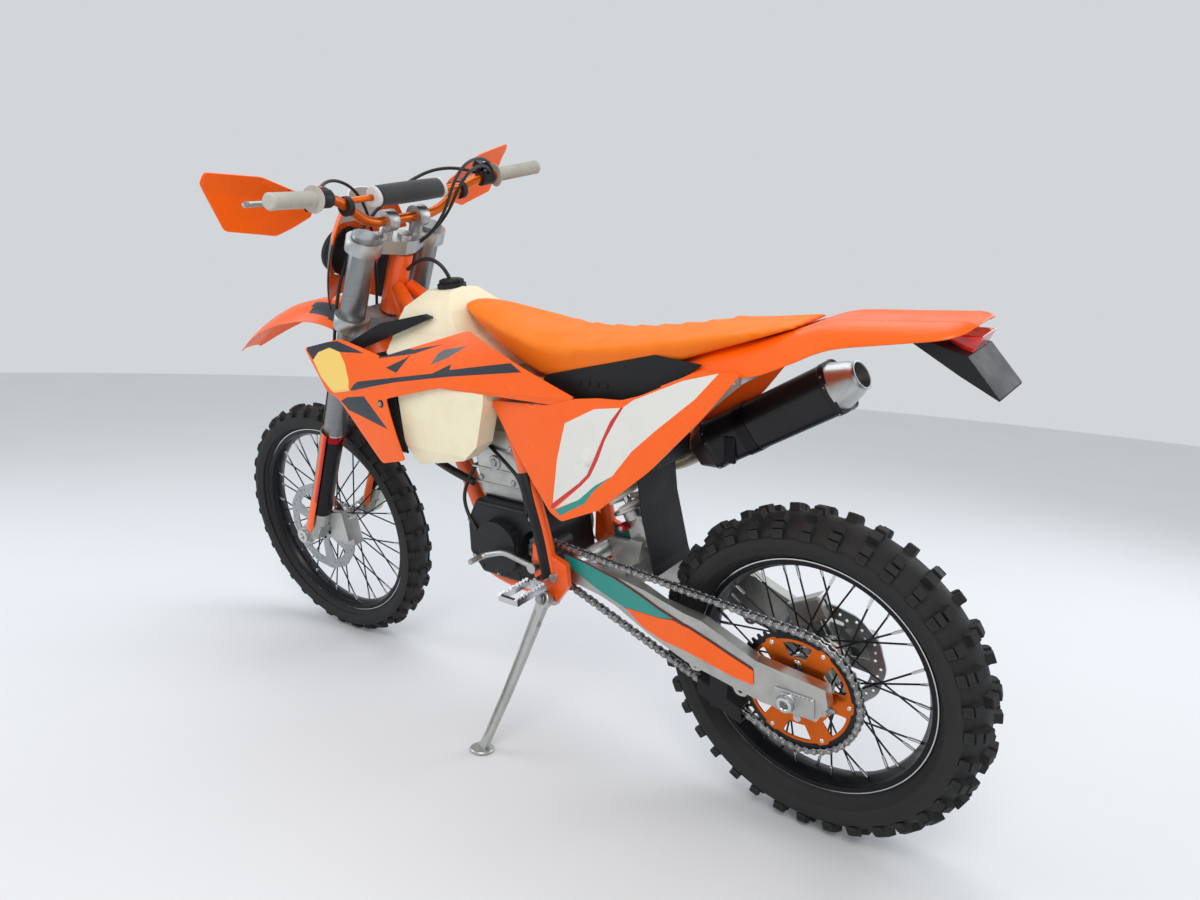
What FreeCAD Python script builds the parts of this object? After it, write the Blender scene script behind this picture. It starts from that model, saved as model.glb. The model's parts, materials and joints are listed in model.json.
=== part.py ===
"""Enduro dirt bike leaning on its side stand, as separate sub-parts in millimetres.

The bike's own frame has X forward, Y to its left and Z up, with the rear axle above its origin.
Steered pieces are drawn in the fork's frame: X ahead of the steering axis, Z up along it.
Each wheel's pieces are drawn about their own axle, which lies along Y.
"""
import FreeCAD, Part
import math
import os
import Sketcher

Vector = FreeCAD.Vector
Rotation = FreeCAD.Rotation
Place = FreeCAD.Placement
ALONG_X, ALONG_Y, ALONG_Z = Vector(1, 0, 0), Vector(0, 1, 0), Vector(0, 0, 1)
BOTH_SIDES = (1, -1)

SIZES = {
    # Stance on the floor
    "wheelbase": 1487, "trail": 115, "rake_angle": 26.1, "axle_datum": 343,
    "lean_angle": 11.41, "steer_angle": 4.26, "shift_ahead": 749, "shift_left": 201,
    "pin_play": 0.05, "seat_gap": 0.3, "moving_gap": 5, "overrun": 4,
    # Rear wheel
    "rear_tyre_radius": 334, "rear_tread_half": 60, "rear_tread_drop": 25, "rear_tyre_half": 62,
    "rear_bulge_radius": 275, "rear_bead_radius": 231, "rear_bead_half": 27,
    "rear_rim_radius": 241, "rear_rim_half": 30, "rear_well_depth": 13, "rear_well_half": 14,
    "rear_rim_wall": 5, "rear_lug_deep": 15, "rear_lug_wide": 21,
    "rear_axle_radius": 12.5, "rear_axle_bore": 8, "rear_axle_half": 128,
    "rear_barrel_radius": 28, "rear_flange_radius": 52, "rear_flange_place": 36,
    "rear_flange_wide": 6, "rear_disc_boss": 40, "carrier_radius": 64, "carrier_wide": 8,
    "rear_disc_radius": 110, "rear_disc_inner": 84, "rear_disc_wide": 4, "rear_disc_place": 66,
    "disc_arm_wide": 20, "spacer_radius": 19, "disc_hole_radius": 4, "lug_wide": 42,
    # Front wheel
    "front_tyre_radius": 348, "front_tread_half": 39, "front_tread_drop": 19, "front_tyre_half": 43,
    "front_bulge_radius": 305, "front_bead_radius": 269, "front_bead_half": 19,
    "front_rim_radius": 280, "front_rim_half": 22, "front_well_depth": 11, "front_well_half": 10,
    "front_rim_wall": 4.5, "front_lug_deep": 12, "front_lug_wide": 17,
    "front_axle_radius": 13, "front_axle_bore": 9, "front_axle_half": 131,
    "front_hub_half": 66, "front_barrel_radius": 22, "front_flange_radius": 40, "front_flange_place": 32,
    "front_flange_wide": 5, "front_disc_boss": 36,
    "front_disc_radius": 130, "front_disc_inner": 104, "front_disc_wide": 3.5, "front_disc_place": 58,
    "spoke_radius": 2, "spoke_pairs": 9, "spoke_sweep": 56, "flange_inset": 5,
    # Drive
    "chain_pitch": 15.875, "rear_teeth": 48, "drive_teeth": 13, "chain_plane": 80, "chain_wide": 15,
    "chain_high": 14.5, "chain_inner": 6.8, "roller_radius": 4.2, "tooth_deep": 3,
    "drive_ahead": 612, "drive_high": 482, "sprocket_wide": 6,
    "sprocket_inner": 50, "sprocket_ring": 17,
    # Swingarm
    "pivot_ahead": 548, "pivot_high": 452, "pivot_radius": 17, "arm_outer": 119, "arm_inner": 95,
    "arm_front_outer": 87, "arm_front_inner": 60, "arm_slot": 46,
    "cross_ahead": 392, "cross_long": 62, "cross_low": 432, "cross_high": 486, "arm_rise": 110,
    "shock_eye": 16, "shock_low_high": 520, "shock_top_ahead": 530, "shock_top_high": 812,
    "shock_rod": 62, "spring_radius": 40,
    # Frame
    "tube_radius": 16, "rail_radius": 13, "head_radius": 27, "head_low": 1092, "head_high": 1246,
    "down_tube_radius": 21, "plate_thick": 12, "plate_face": 104, "stem_radius": 17,
    "subframe_radius": 9, "frame_half": 108, "cradle_front": 866, "cradle_half": 78, "cradle_low": 378,
    "cradle_rise": 104, "plate_reach": 34, "pivot_pin_radius": 9, "pin_head": 10, "subframe_rear": 120,
    "subframe_long": 510, "subframe_half": 110, "subframe_low": 560, "subframe_high": 370,
    # Engine
    "case_half": 92, "cylinder_half": 62, "mount_ahead": 602, "mount_high": 408, "mount_radius": 10,
    "clutch_cover_radius": 84, "clutch_cover_wide": 34,
    "stator_cover_radius": 62, "stator_cover_wide": 24,
    "case_rear": 600, "case_low": 391.3, "case_long": 238, "case_high": 182.7, "case_round": 9,
    "stator_ahead": 722, "clutch_ahead": 716, "crank_high": 480, "barrel_rear": 658,
    "barrel_long": 176, "barrel_high": 214,
    "header_radius": 21, "header_wall": 2, "port_side": 18, "port_high": 738, "header_bow": 62,
    "header_side": 90, "header_low": 606, "frame_pass_ahead": 590, "frame_pass_side": 48,
    "frame_pass_high": 634, "header_lead": 62,
    # Silencer
    "silencer_side": 122, "silencer_wide": 96, "silencer_high": 104, "silencer_long": 352,
    "silencer_rear": 16, "silencer_rear_high": 873, "silencer_slope": 29.3,
    "hanger_long": 26, "hanger_side": 80,
    "outlet_radius": 27, "outlet_wall": 3, "outlet_long": 48,
    # Tank, seat and plastics
    "tank_rear": 672, "tank_long": 331, "tank_low": 652, "tank_high": 392, "lobe_outer": 148,
    "cap_ahead": 895, "cap_radius": 33, "cap_high": 17, "cap_sink": 9,
    "shell": 3.5, "seat_rear": 14, "seat_long": 812, "seat_half": 102, "seat_low": 878,
    "seat_high": 141, "tail_rear": -268, "tail_long": 530, "tail_low": 940, "tail_high": 90,
    "tail_half": 100, "tail_drop": 100, "beak_rear": -62, "beak_long": 555, "beak_low": 708,
    "beak_high": 322, "beak_half": 76, "beak_drop": 52, "fender_foot_back": 14, "fender_foot_front": 58,
    "fender_foot_half": 30,
    "shroud_rear": 446, "shroud_long": 807, "shroud_low": 652, "shroud_high": 321,
    "shroud_half": 172, "panel_rear": 90, "panel_long": 596, "panel_low": 607, "panel_high": 332,
    "panel_half": 128, "wing_rear": 873, "wing_long": 246, "wing_low": 920, "wing_high": 75,
    "wing_root": 80, "wing_back": 97, "wing_front": 158, "wing_thick": 6,
    "airbox_rear": 300, "airbox_long": 150, "airbox_low": 712, "airbox_high": 170,
    "airbox_half": 68, "flap_rear": 318, "flap_long": 36, "flap_low": 486, "flap_high": 230,
    "flap_half": 66, "plate_rear": -307, "plate_long": 160, "plate_low": 926, "plate_high": 96,
    "plate_half": 60, "lamp_top": 1012,
    "radiator_ahead": 1012, "radiator_thick": 36, "radiator_inner": 52, "radiator_outer": 152,
    "radiator_low": 668, "radiator_high": 900, "lug_low": 846,
    # Foot pieces, guards and calipers
    "peg_ahead": 575, "peg_wide": 54, "peg_inner": 146, "peg_outer": 236, "peg_high": 443,
    "peg_tall": 18, "peg_rail": 8, "peg_tooth": 5, "lever_high": 466, "lever_rise": 22, "shift_shaft": 601,
    "shift_long": 140, "toe_long": 42, "lever_radius": 6.5, "boss_half": 9,
    "boss_radius": 12, "brake_side": 152, "brake_pivot": 602, "brake_low": 416, "brake_long": 136,
    "guide_rear": 112, "guide_long": 96, "guide_wall": 5, "guide_top": 352,
    "guard_ahead": 4, "guard_out": 5, "guard_radius": 16,
    "pad_deep": 34, "caliper_half": 18, "caliper_long": 82, "caliper_rise": 14, "caliper_round": 5,
    "pad_gap": 1.5, "rear_caliper_turn": 62, "front_caliper_turn": 148, "front_bracket_long": 62,
    # Fork and steering
    "fork_ahead": 22, "fork_side": 102, "outer_tube_radius": 28, "upper_tube_radius": 30,
    "lug_radius": 24, "guard_shell_radius": 34, "clamp_back": 26, "clamp_front": 40,
    "clamp_waist": 40, "riser_radius": 16, "riser_side": 48, "riser_wide": 30, "bar_ahead": 14,
    "bar_sweep": 40, "bar_height": 106, "bar_bend_out": 212, "bar_bend_in": 104, "bar_taper": 3,
    "brace_rise": 1386, "brace_radius": 7, "pad_radius": 24, "pad_half": 108, "grip_long": 136,
    "grip_flange": 28, "perch_gap": 12, "perch_long": 34, "perch_radius": 19, "lever_ahead": 62,
    "lever_drop": 34, "lever_short": 4, "shield_inner": 204, "shield_long": 252,
    "shield_ahead": 78, "shield_bow": 34, "shield_low": 1282, "shield_high": 150,
    "stay_side": 178, "stay_up": 1374, "stay_radius": 6,
    "mask_ahead": 186, "lamp_proud": 4, "strap_inner": 106, "strap_outer": 116, "mask_bow": 82,
    "mask_low": 1046, "mask_high": 286, "mask_half": 122, "lamp_radius": 62, "lamp_deep": 50,
    "slider_radius": 24, "fork_top": 1293, "outer_tube_low": 745, "axle_ahead": 50.7,
    "lower_clamp_low": 1052, "lower_clamp_high": 1086, "upper_clamp_low": 1252, "upper_clamp_high": 1284,
    "clamp_wall": 11, "bar_radius": 14, "grip_radius": 17, "bar_rise": 1324,
    "bar_half": 412,
    # Side stand
    "stand_ahead": 566, "stand_side": 138, "stand_high": 404, "stand_foot_ahead": 669,
    "stand_foot_side": 213, "stand_radius": 12, "stand_pin_radius": 8, "stand_tuck_share": 0.1,
    "stand_eye": 20, "stand_eye_half": 9, "stand_foot_radius": 27, "stand_foot_thick": 9,
    "stand_pin_reach": 40,
    # Cords
    "cable_radius": 3.5, "hose_radius": 4, "vent_radius": 4.5,
}

document = FreeCAD.newDocument("EnduroBike")
sheet = document.addObject("Spreadsheet::Sheet", "Sizes")
for row_number, (alias, value) in enumerate(SIZES.items(), start=1):
    sheet.set(f"A{row_number}", alias)
    sheet.set(f"B{row_number}", str(value))
    sheet.setAlias(f"B{row_number}", alias)
document.recompute()


class Size:
    """A number together with the sheet formula that gives it."""

    def __init__(self, value, formula):
        self.value = float(value)
        self.formula = formula

    def __float__(self):
        return self.value

    def joined(self, other, sign, result):
        return Size(result, f"({self.formula} {sign} {formula_of(other)})")

    def __add__(self, other):
        return self.joined(other, "+", self.value + float(other))

    def __sub__(self, other):
        return self.joined(other, "-", self.value - float(other))

    def __mul__(self, other):
        return self.joined(other, "*", self.value * float(other))

    def __truediv__(self, other):
        return self.joined(other, "/", self.value / float(other))

    def __neg__(self):
        return Size(-self.value, f"(0 - {self.formula})")


class SheetSizes:
    """The sheet's values by name, as numbers that remember their formula."""

    def __getattr__(self, alias):
        return Size(sheet.get(alias), f"Sizes.{alias}")


class SheetNumbers:
    """The sheet's values by name, as plain numbers."""

    def __getattr__(self, alias):
        return float(sheet.get(alias))


def formula_of(value):
    return value.formula if isinstance(value, Size) else str(value)


size = SheetSizes()
mm = SheetNumbers()
sub_parts = {}


def bind(item, **settings):
    """Gives an object's properties their sizes from the sheet."""
    for name, value in settings.items():
        setattr(item, name, float(value))
        if isinstance(value, Size):
            item.setExpression(name, value.formula)


def point(x, y, z):
    return Vector(float(x), float(y), float(z))


def keep(name, item, place):
    """Names a finished sub-part and stands it in the row's frame."""
    item.Label = name
    item.Placement = place
    sub_parts[name] = item
    return item


def feature(name, shape, place):
    """A sub-part whose form is worked out from the sheet's sizes."""
    item = document.addObject("Part::Feature", name)
    item.Shape = shape
    return keep(name, item, place)


def cylinder(name, radius, height, base, way):
    """A round primitive whose radius and length follow the sheet."""
    item = document.addObject("Part::Cylinder", name)
    bind(item, Radius=radius, Height=height)
    item.Placement = Place(base, Rotation(ALONG_Z, way))
    return item


def united(name, items, place):
    """A sub-part fused from other document objects."""
    whole = document.addObject("Part::MultiFuse", name)
    whole.Shapes = items
    document.recompute()
    return keep(name, whole, place)


def hollowed(name, outside, inside, place):
    """A sub-part cut from one document object by another."""
    whole = document.addObject("Part::Cut", name)
    whole.Base, whole.Tool = outside, inside
    document.recompute()
    return keep(name, whole, place)


def sketch_on(body, name, role, outline):
    """A closed outline on a plane of the body: corners, and through points that make arcs."""
    sketch = body.newObject("Sketcher::SketchObject", name)
    plane = next(item for item in body.Origin.OriginFeatures if item.Role == role)
    sketch.AttachmentSupport = [(plane, "")]
    sketch.MapMode = "FlatFace"
    corners = [place for place in outline if place[0] != "through"]
    middles = {}
    for place in outline:
        if place[0] == "through":
            middles[len(middles_before(outline, place)) - 1] = place[1:]
    count = len(corners)
    for index, start in enumerate(corners):
        end = corners[(index + 1) % count]
        first, last = point(start[0], start[1], 0), point(end[0], end[1], 0)
        if index in middles:
            middle = middles[index]
            sketch.addGeometry(Part.Arc(first, point(middle[0], middle[1], 0), last))
        else:
            sketch.addGeometry(Part.LineSegment(first, last))
    ends = [arc_ends(sketch.Geometry[index], corners[index]) for index in range(count)]
    for index in range(count):
        following = (index + 1) % count
        sketch.addConstraint(Sketcher.Constraint(
            "Coincident", index, ends[index][1], following, ends[following][0]))
        hold_point(sketch, index, ends[index][0], corners[index])
    for index, middle in middles.items():
        through = sketch.addGeometry(Part.Point(point(middle[0], middle[1], 0)), True)
        sketch.addConstraint(Sketcher.Constraint("PointOnObject", through, 1, index))
        hold_point(sketch, through, 1, middle)
    return sketch


def middles_before(outline, place):
    """The corners that come before a through point."""
    return [other for other in outline[:outline.index(place)] if other[0] != "through"]


def arc_ends(curve, start):
    """Which end of a sketched curve is its start, since arcs are kept counter-clockwise."""
    begins = curve.StartPoint.distanceToPoint(point(start[0], start[1], 0))
    finishes = curve.EndPoint.distanceToPoint(point(start[0], start[1], 0))
    return (1, 2) if begins <= finishes else (2, 1)


def hold_point(sketch, geometry, end, place):
    """Holds a sketched point at its two distances from the origin."""
    for kind, distance in zip(("DistanceX", "DistanceY"), place):
        number = sketch.addConstraint(
            Sketcher.Constraint(kind, -1, 1, geometry, end, float(distance)))
        if isinstance(distance, Size):
            sketch.setExpression(f"Constraints[{number}]", distance.formula)


def turned_section(name, outline, angle=360):
    """A body turned about the Y axis, its outline given as radius and place along the axis."""
    body = document.addObject("PartDesign::Body", name)
    sketch = sketch_on(body, name + "_section", "XY_Plane", outline)
    turn = body.newObject("PartDesign::Revolution", name + "_turned")
    turn.Profile = sketch
    turn.ReferenceAxis = (sketch, ["V_Axis"])
    turn.Angle = angle
    turn.Midplane = angle < 360
    document.recompute()
    return body


def turned_body(name, outline, place):
    """A turned body that is a whole sub-part."""
    return keep(name, turned_section(name, outline), place)


def rod(start, end, radius):
    """A round bar between two places."""
    along = end - start
    return Part.makeCylinder(radius, along.Length, start, along)


def ring(outer, inner, low, high, centre=Vector()):
    """A plain ring about the Y axis, between two places along it."""
    start = centre + Vector(0, low, 0)
    whole = Part.makeCylinder(outer, high - low, start, ALONG_Y)
    return whole.cut(Part.makeCylinder(inner, high - low, start, ALONG_Y))


def block(low, high):
    """A box between two opposite corners."""
    span = high - low
    return Part.makeBox(span.x, span.y, span.z, low)


CORNER_SHARE, TIGHT_SHARE = 0.45, 0.3


def bent_path(points, tightness=CORNER_SHARE):
    """Straight runs joined by arcs that are as large as the shorter run allows."""
    edges = []
    start = points[0]
    for before, corner, after in zip(points, points[1:], points[2:]):
        back, on = before - corner, after - corner
        half_turn = (math.pi - back.getAngle(on)) / 2
        reach = tightness * min(back.Length, on.Length)
        radius = reach / math.tan(half_turn)
        back.normalize()
        on.normalize()
        middle_way = back + on
        middle_way.normalize()
        middle = corner + middle_way * (radius / math.cos(half_turn) - radius)
        first, last = corner + back * reach, corner + on * reach
        if start.distanceToPoint(first) > mm.pin_play:
            edges.append(Part.LineSegment(start, first).toShape())
        edges.append(Part.Arc(first, middle, last).toShape())
        start = last
    edges.append(Part.LineSegment(start, points[-1]).toShape())
    return Part.Wire(edges)


def tube(points, radius, wall=0, tightness=CORNER_SHARE):
    """A bent tube or bar along a list of places."""
    path = bent_path(points, tightness)
    ahead = points[1] - points[0]

    def swept(section_radius):
        section = Part.Wire(Part.makeCircle(section_radius, points[0], ahead))
        return path.makePipeShell([section], True, False)

    outside = swept(radius)
    return outside.cut(swept(radius - wall)) if wall else outside


def side_plate(corners, near, far):
    """A flat piece whose outline in X and Z runs from one Y to another."""
    flat = [Vector(x, near, z) for x, z in corners]
    face = Part.Face(Part.makePolygon(flat + flat[:1]))
    return face.extrude(Vector(0, far - near, 0))


def fused(shapes):
    """One solid from pieces that meet."""
    whole = shapes[0].fuse(shapes[1:]) if len(shapes) > 1 else shapes[0]
    return whole.removeSplitter()


def mirrored(shape):
    """The same piece on the bike's other side."""
    return shape.mirror(Vector(), ALONG_Y)


def lofted(sections):
    """A solid drawn smoothly through closed sections."""
    return Part.makeLoft(sections, True, False)


def softened(shape, radius, picked=None):
    """A solid with rounded edges, all of them or those that are picked."""
    edges = [edge for edge in shape.Edges if picked is None or picked(edge)]
    return shape.makeFillet(radius, edges)


def drawn(name):
    """A finished sub-part's shape in the frame in which it was drawn."""
    shape = sub_parts[name].Shape.copy()
    shape.Placement = Place()
    return shape


def largest(shape):
    """The one solid that matters after a cut has left crumbs."""
    return max(shape.Solids, key=lambda solid: solid.Volume)


def placed(shares, low, reach):
    """Places from shares of a length and a height, from a low corner."""
    return [(low[0] + reach[0] * along, low[1] + reach[1] * up) for along, up in shares]


def lowest_reach(axis_rise, radius, half, drop):
    """How far below its axle a leaning tyre with a round crown reaches."""
    crown = (half ** 2 + drop ** 2) / (2 * drop)
    upright = math.sqrt(1 - axis_rise ** 2)
    return (radius - crown) * upright + crown


def standing_places():
    """Placements of the leaning bike, its fork, its two wheels and its stand."""
    lean = Place(Vector(), Rotation(ALONG_X, -mm.lean_angle))
    rear_height = lowest_reach(lean.Rotation.multVec(ALONG_Y).z, mm.rear_tyre_radius,
                               mm.rear_tread_half, mm.rear_tread_drop)
    shift = Place(point(-mm.shift_ahead, -mm.shift_left, rear_height), Rotation())
    chassis = shift * lean * Place(point(0, 0, -mm.axle_datum), Rotation())
    axis_foot = Place(point(mm.wheelbase + mm.trail, 0, 0), Rotation(ALONG_Y, -mm.rake_angle))
    steered = chassis * axis_foot * Place(Vector(), Rotation(ALONG_Z, mm.steer_angle))
    low_axle = steered * Place(point(mm.axle_ahead, 0, 0), Rotation())
    front_height = lowest_reach(steered.Rotation.multVec(ALONG_Y).z, mm.front_tyre_radius,
                                mm.front_tread_half, mm.front_tread_drop)
    climb = steered.Rotation.multVec(ALONG_Z).z
    axle_up = (front_height - low_axle.Base.z) / climb
    front = steered * Place(point(mm.axle_ahead, 0, axle_up), Rotation())
    rear = chassis * Place(point(0, 0, mm.axle_datum), Rotation())
    return chassis, steered, front, rear, axle_up


CHASSIS, STEERED, FRONT_WHEEL, REAR_WHEEL, AXLE_UP = standing_places()


SHOULDER_SHARE = 0.7
BLOCK_FOOT_SHARE = 1.22
BLOCK_SECTORS = 18
ROW_PLACE_SHARE = 0.25
QUARTER_TURN = 90
BLOCK_ROW_SHARES = (
    ((-0.86, 0.62, 1.1), (-0.53, 1.05, 0.92), (0.53, 1.05, 0.92), (0.86, 0.62, 1.1)),
    ((-0.83, 0.8, 0.95), (-0.24, 1.02, 1.0), (0.24, 1.02, 1.0), (0.83, 0.8, 0.95)),
)


def tread_block(end, turn, across, wide, long):
    """One block of a tread: a blunt wedge on the crown whose top corners reach the tread."""
    radius, deep = getattr(mm, end + "_tyre_radius"), getattr(mm, end + "_lug_deep")
    crown = crown_radius(end)
    sag = (wide / 2) ** 2 / (2 * crown) + (long / 2) ** 2 / (2 * radius)
    low, high = crown - deep - mm.overrun, crown - sag
    levels = []
    for reach, grown in ((low, BLOCK_FOOT_SHARE), (high, 1)):
        half_long, half_wide = long * grown / 2, wide * grown / 2
        levels.append(Part.makePolygon([
            Vector(-half_long, -half_wide, reach), Vector(half_long, -half_wide, reach),
            Vector(half_long, half_wide, reach), Vector(-half_long, half_wide, reach),
            Vector(-half_long, -half_wide, reach)]))
    shape = Part.makeLoft(levels, True, True)
    tilt = Place(point(0, 0, radius - crown), Rotation(ALONG_X, -math.degrees(across)))
    shape.Placement = Place(Vector(), Rotation(ALONG_Y, turn + QUARTER_TURN)) * tilt
    return shape


def crown_radius(end):
    """The radius of a tread's round crown across the tyre."""
    half, drop = getattr(mm, end + "_tread_half"), getattr(mm, end + "_tread_drop")
    return (half ** 2 + drop ** 2) / (2 * drop)


def tread_blocks(end, step):
    """The two rows of blocks on one sector of a tyre."""
    limit = math.asin(getattr(mm, end + "_tread_half") / crown_radius(end))
    base = getattr(mm, end + "_lug_wide")
    blocks = []
    for turn, row in zip((-step / 4, step / 4), BLOCK_ROW_SHARES):
        for across, wide, long in row:
            blocks.append(tread_block(end, turn, across * limit, wide * base, long * base))
    return blocks


def in_end_plane(face, half_step):
    """Whether a face of a sector is one of the two cuts through the axle."""
    turns = [math.atan2(corner.Z, corner.X) for corner in face.Vertexes]
    reach = mm.pin_play / mm.rear_tyre_radius
    return any(all(abs(turn - way * half_step) < reach for turn in turns) for way in BOTH_SIDES)


def knobbed_tyre(end, place):
    """A tyre: one turned sector with its blocks, whose skin is repeated round the wheel."""
    name = end + "_tyre"
    step = 360 / BLOCK_SECTORS
    body = turned_section(name + "_sector", tyre_outline(end), step)
    sector = body.Shape.fuse(tread_blocks(end, step))
    skin = [face for face in sector.Faces if not in_end_plane(face, math.radians(step / 2))]
    faces = [face.rotated(Vector(), ALONG_Y, step * (number + ROW_PLACE_SHARE))
             for number in range(BLOCK_SECTORS) for face in skin]
    shell = Part.makeShell(faces)
    shell.sewShape()
    return feature(name, Part.makeSolid(shell), place)


def tyre_outline(end):
    """A tyre's section: beads, bulging side walls and a round crown below the blocks."""
    deep = getattr(size, end + "_lug_deep")
    radius = getattr(size, end + "_tyre_radius") - deep
    half = getattr(size, end + "_tread_half") - deep * SHOULDER_SHARE
    shoulder = (getattr(size, end + "_tyre_radius") - getattr(size, end + "_tread_drop")
                - deep * SHOULDER_SHARE)
    bulge, wide = getattr(size, end + "_bulge_radius"), getattr(size, end + "_tyre_half")
    bead, bead_half = getattr(size, end + "_bead_radius"), getattr(size, end + "_bead_half")
    lip = getattr(size, end + "_rim_radius") + size.seat_gap
    return [
        (bead + size.seat_gap, -bead_half), (lip, -bead_half), ("through", bulge, -wide),
        (shoulder, -half), ("through", radius, 0), (shoulder, half), ("through", bulge, wide),
        (lip, bead_half), (bead + size.seat_gap, bead_half),
    ]


def rim_outline(end):
    """A rim's section: two upright lips, two bead seats and a dropped centre."""
    lip, half = getattr(size, end + "_rim_radius"), getattr(size, end + "_rim_half")
    seat, inside = getattr(size, end + "_bead_radius"), getattr(size, end + "_bead_half")
    well, well_half = getattr(size, end + "_well_depth"), getattr(size, end + "_well_half")
    wall = getattr(size, end + "_rim_wall")
    edge = inside + size.seat_gap
    upper = [
        (lip, half), (lip, edge), (seat, edge), (seat, well_half + wall),
        (seat - well + wall, well_half - wall),
    ]
    lower = [
        (seat - well, -well_half + wall), (seat - wall, -well_half - wall), (seat, -half),
    ]
    return (upper + [(radius, -place) for radius, place in reversed(upper)]
            + [(radius, place) for radius, place in reversed(lower)]
            + [(radius, -place) for radius, place in lower])


def brake_disc(outer, inner, boss, bore, wide, place_across, arms):
    """A floating disc: a braking ring held by arms on a middle ring that bolts to the hub."""
    low, high = place_across - wide / 2, place_across + wide / 2
    pieces = [ring(outer, inner, low, high), ring(boss, bore, low, high)]
    reach = (outer + inner) / 2
    for number in range(arms):
        arm = block(point(bore + mm.shell, low, -mm.disc_arm_wide / 2),
                    point(inner + mm.shell, high, mm.disc_arm_wide / 2))
        turn = 360 * number / arms
        pieces.append(arm.rotated(Vector(), ALONG_Y, turn))
    holes = []
    for number in range(3 * arms):
        turn = math.radians(360 * number / (3 * arms))
        centre = point(reach * math.cos(turn), low - mm.overrun, reach * math.sin(turn))
        holes.append(Part.makeCylinder(mm.disc_hole_radius, wide + 2 * mm.overrun, centre, ALONG_Y))
    return fused(pieces).cut(Part.makeCompound(holes))


SPOKE_BOW_SHARE = 0.8


def laced_spokes(flange_radius, flange_place, rim_inside, hole_half):
    """Crossed spokes from both flanges of a hub to the rim."""
    spokes = []
    pairs = int(mm.spoke_pairs)
    step = 360 / (4 * pairs)
    circle = flange_radius - mm.flange_inset
    bow = mm.flange_inset * SPOKE_BOW_SHARE
    for side in BOTH_SIDES:
        for pair in range(pairs):
            for sense in BOTH_SIDES:
                first = 4 * step * pair + (0 if side > 0 else step)
                rim_turn = math.radians(first if sense > 0 else first + 2 * step)
                hub_turn = rim_turn + sense * math.radians(mm.spoke_sweep)
                inner = point(circle * math.cos(hub_turn), side * flange_place + sense * bow,
                              circle * math.sin(hub_turn))
                outer = point(rim_inside * math.cos(rim_turn), side * hole_half,
                              rim_inside * math.sin(rim_turn))
                spokes.append(rod(inner, outer, mm.spoke_radius))
    return spokes


def turned(outline):
    """A solid turned about the Y axis from radii and places along it."""
    corners = [point(radius, along, 0) for radius, along in outline]
    face = Part.Face(Part.makePolygon(corners + corners[:1]))
    return face.revolve(Vector(), ALONG_Y, 360)


def hub_outline(bore, barrel, flange, flange_place, wide, left, right, left_end, right_end):
    """A hub's section: a barrel with two spoke flanges and a boss at each end."""
    half = wide / 2
    right_radius, right_wide = right
    left_radius, left_wide = left
    return [
        (bore, -right_end), (right_radius, -right_end), (right_radius, -right_end + right_wide),
        (barrel, -right_end + 2 * right_wide), (barrel, -flange_place - wide),
        (flange, -flange_place - half), (flange, -flange_place + half),
        (barrel, -flange_place + 2 * wide), (barrel, flange_place - 2 * wide),
        (flange, flange_place - half), (flange, flange_place + half),
        (barrel, flange_place + wide), (barrel, left_end - 2 * left_wide),
        (left_radius, left_end - left_wide), (left_radius, left_end), (bore, left_end),
    ]


def make_rear_wheel():
    """The driven wheel: tyre, rim, laced hub, disc and sprocket."""
    knobbed_tyre("rear", REAR_WHEEL)
    turned_body("rear_rim", rim_outline("rear"), REAR_WHEEL)
    bore = mm.rear_axle_radius + mm.pin_play
    left_end = mm.chain_plane - mm.sprocket_wide / 2
    right_end = mm.rear_disc_place - mm.rear_disc_wide / 2
    hub = turned(hub_outline(
        bore, mm.rear_barrel_radius, mm.rear_flange_radius, mm.rear_flange_place,
        mm.rear_flange_wide, (mm.carrier_radius, mm.carrier_wide),
        (mm.rear_disc_boss, mm.carrier_wide / 2), left_end, right_end))
    spokes = laced_spokes(mm.rear_flange_radius, mm.rear_flange_place,
                          mm.rear_bead_radius - mm.rear_well_depth - mm.seat_gap,
                          mm.rear_well_half - mm.rear_rim_wall)
    feature("rear_hub", fused([hub] + spokes), REAR_WHEEL)
    feature("rear_disc", brake_disc(
        mm.rear_disc_radius, mm.rear_disc_inner, mm.rear_disc_boss, mm.spacer_radius + mm.moving_gap,
        mm.rear_disc_wide, -mm.rear_disc_place, 6), REAR_WHEEL)
    feature("rear_sprocket", rear_sprocket(), REAR_WHEEL)


def rear_sprocket():
    """The toothed ring on its spider, with a window between each pair of arms."""
    low = mm.chain_plane - mm.sprocket_wide / 2
    high = mm.chain_plane + mm.sprocket_wide / 2
    root = pitch_radius(mm.rear_teeth) - mm.chain_high / 2 - mm.seat_gap
    inside = Part.makeCylinder(root - mm.sprocket_ring, mm.sprocket_wide, Vector(0, low, 0), ALONG_Y)
    rim = toothed_plate(mm.rear_teeth, low, high).cut(inside)
    middle = ring(mm.carrier_radius + mm.shell, mm.sprocket_inner, low, high)
    arms = []
    for number in range(6):
        arm = block(point(mm.carrier_radius, low, -mm.disc_arm_wide / 2),
                    point(root - mm.shell, high, mm.disc_arm_wide / 2))
        arms.append(arm.rotated(Vector(), ALONG_Y, 60 * number))
    return fused([rim, middle] + arms)


TOOTH_SHARES = (-0.27, -0.1, 0.1, 0.27)


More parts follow.
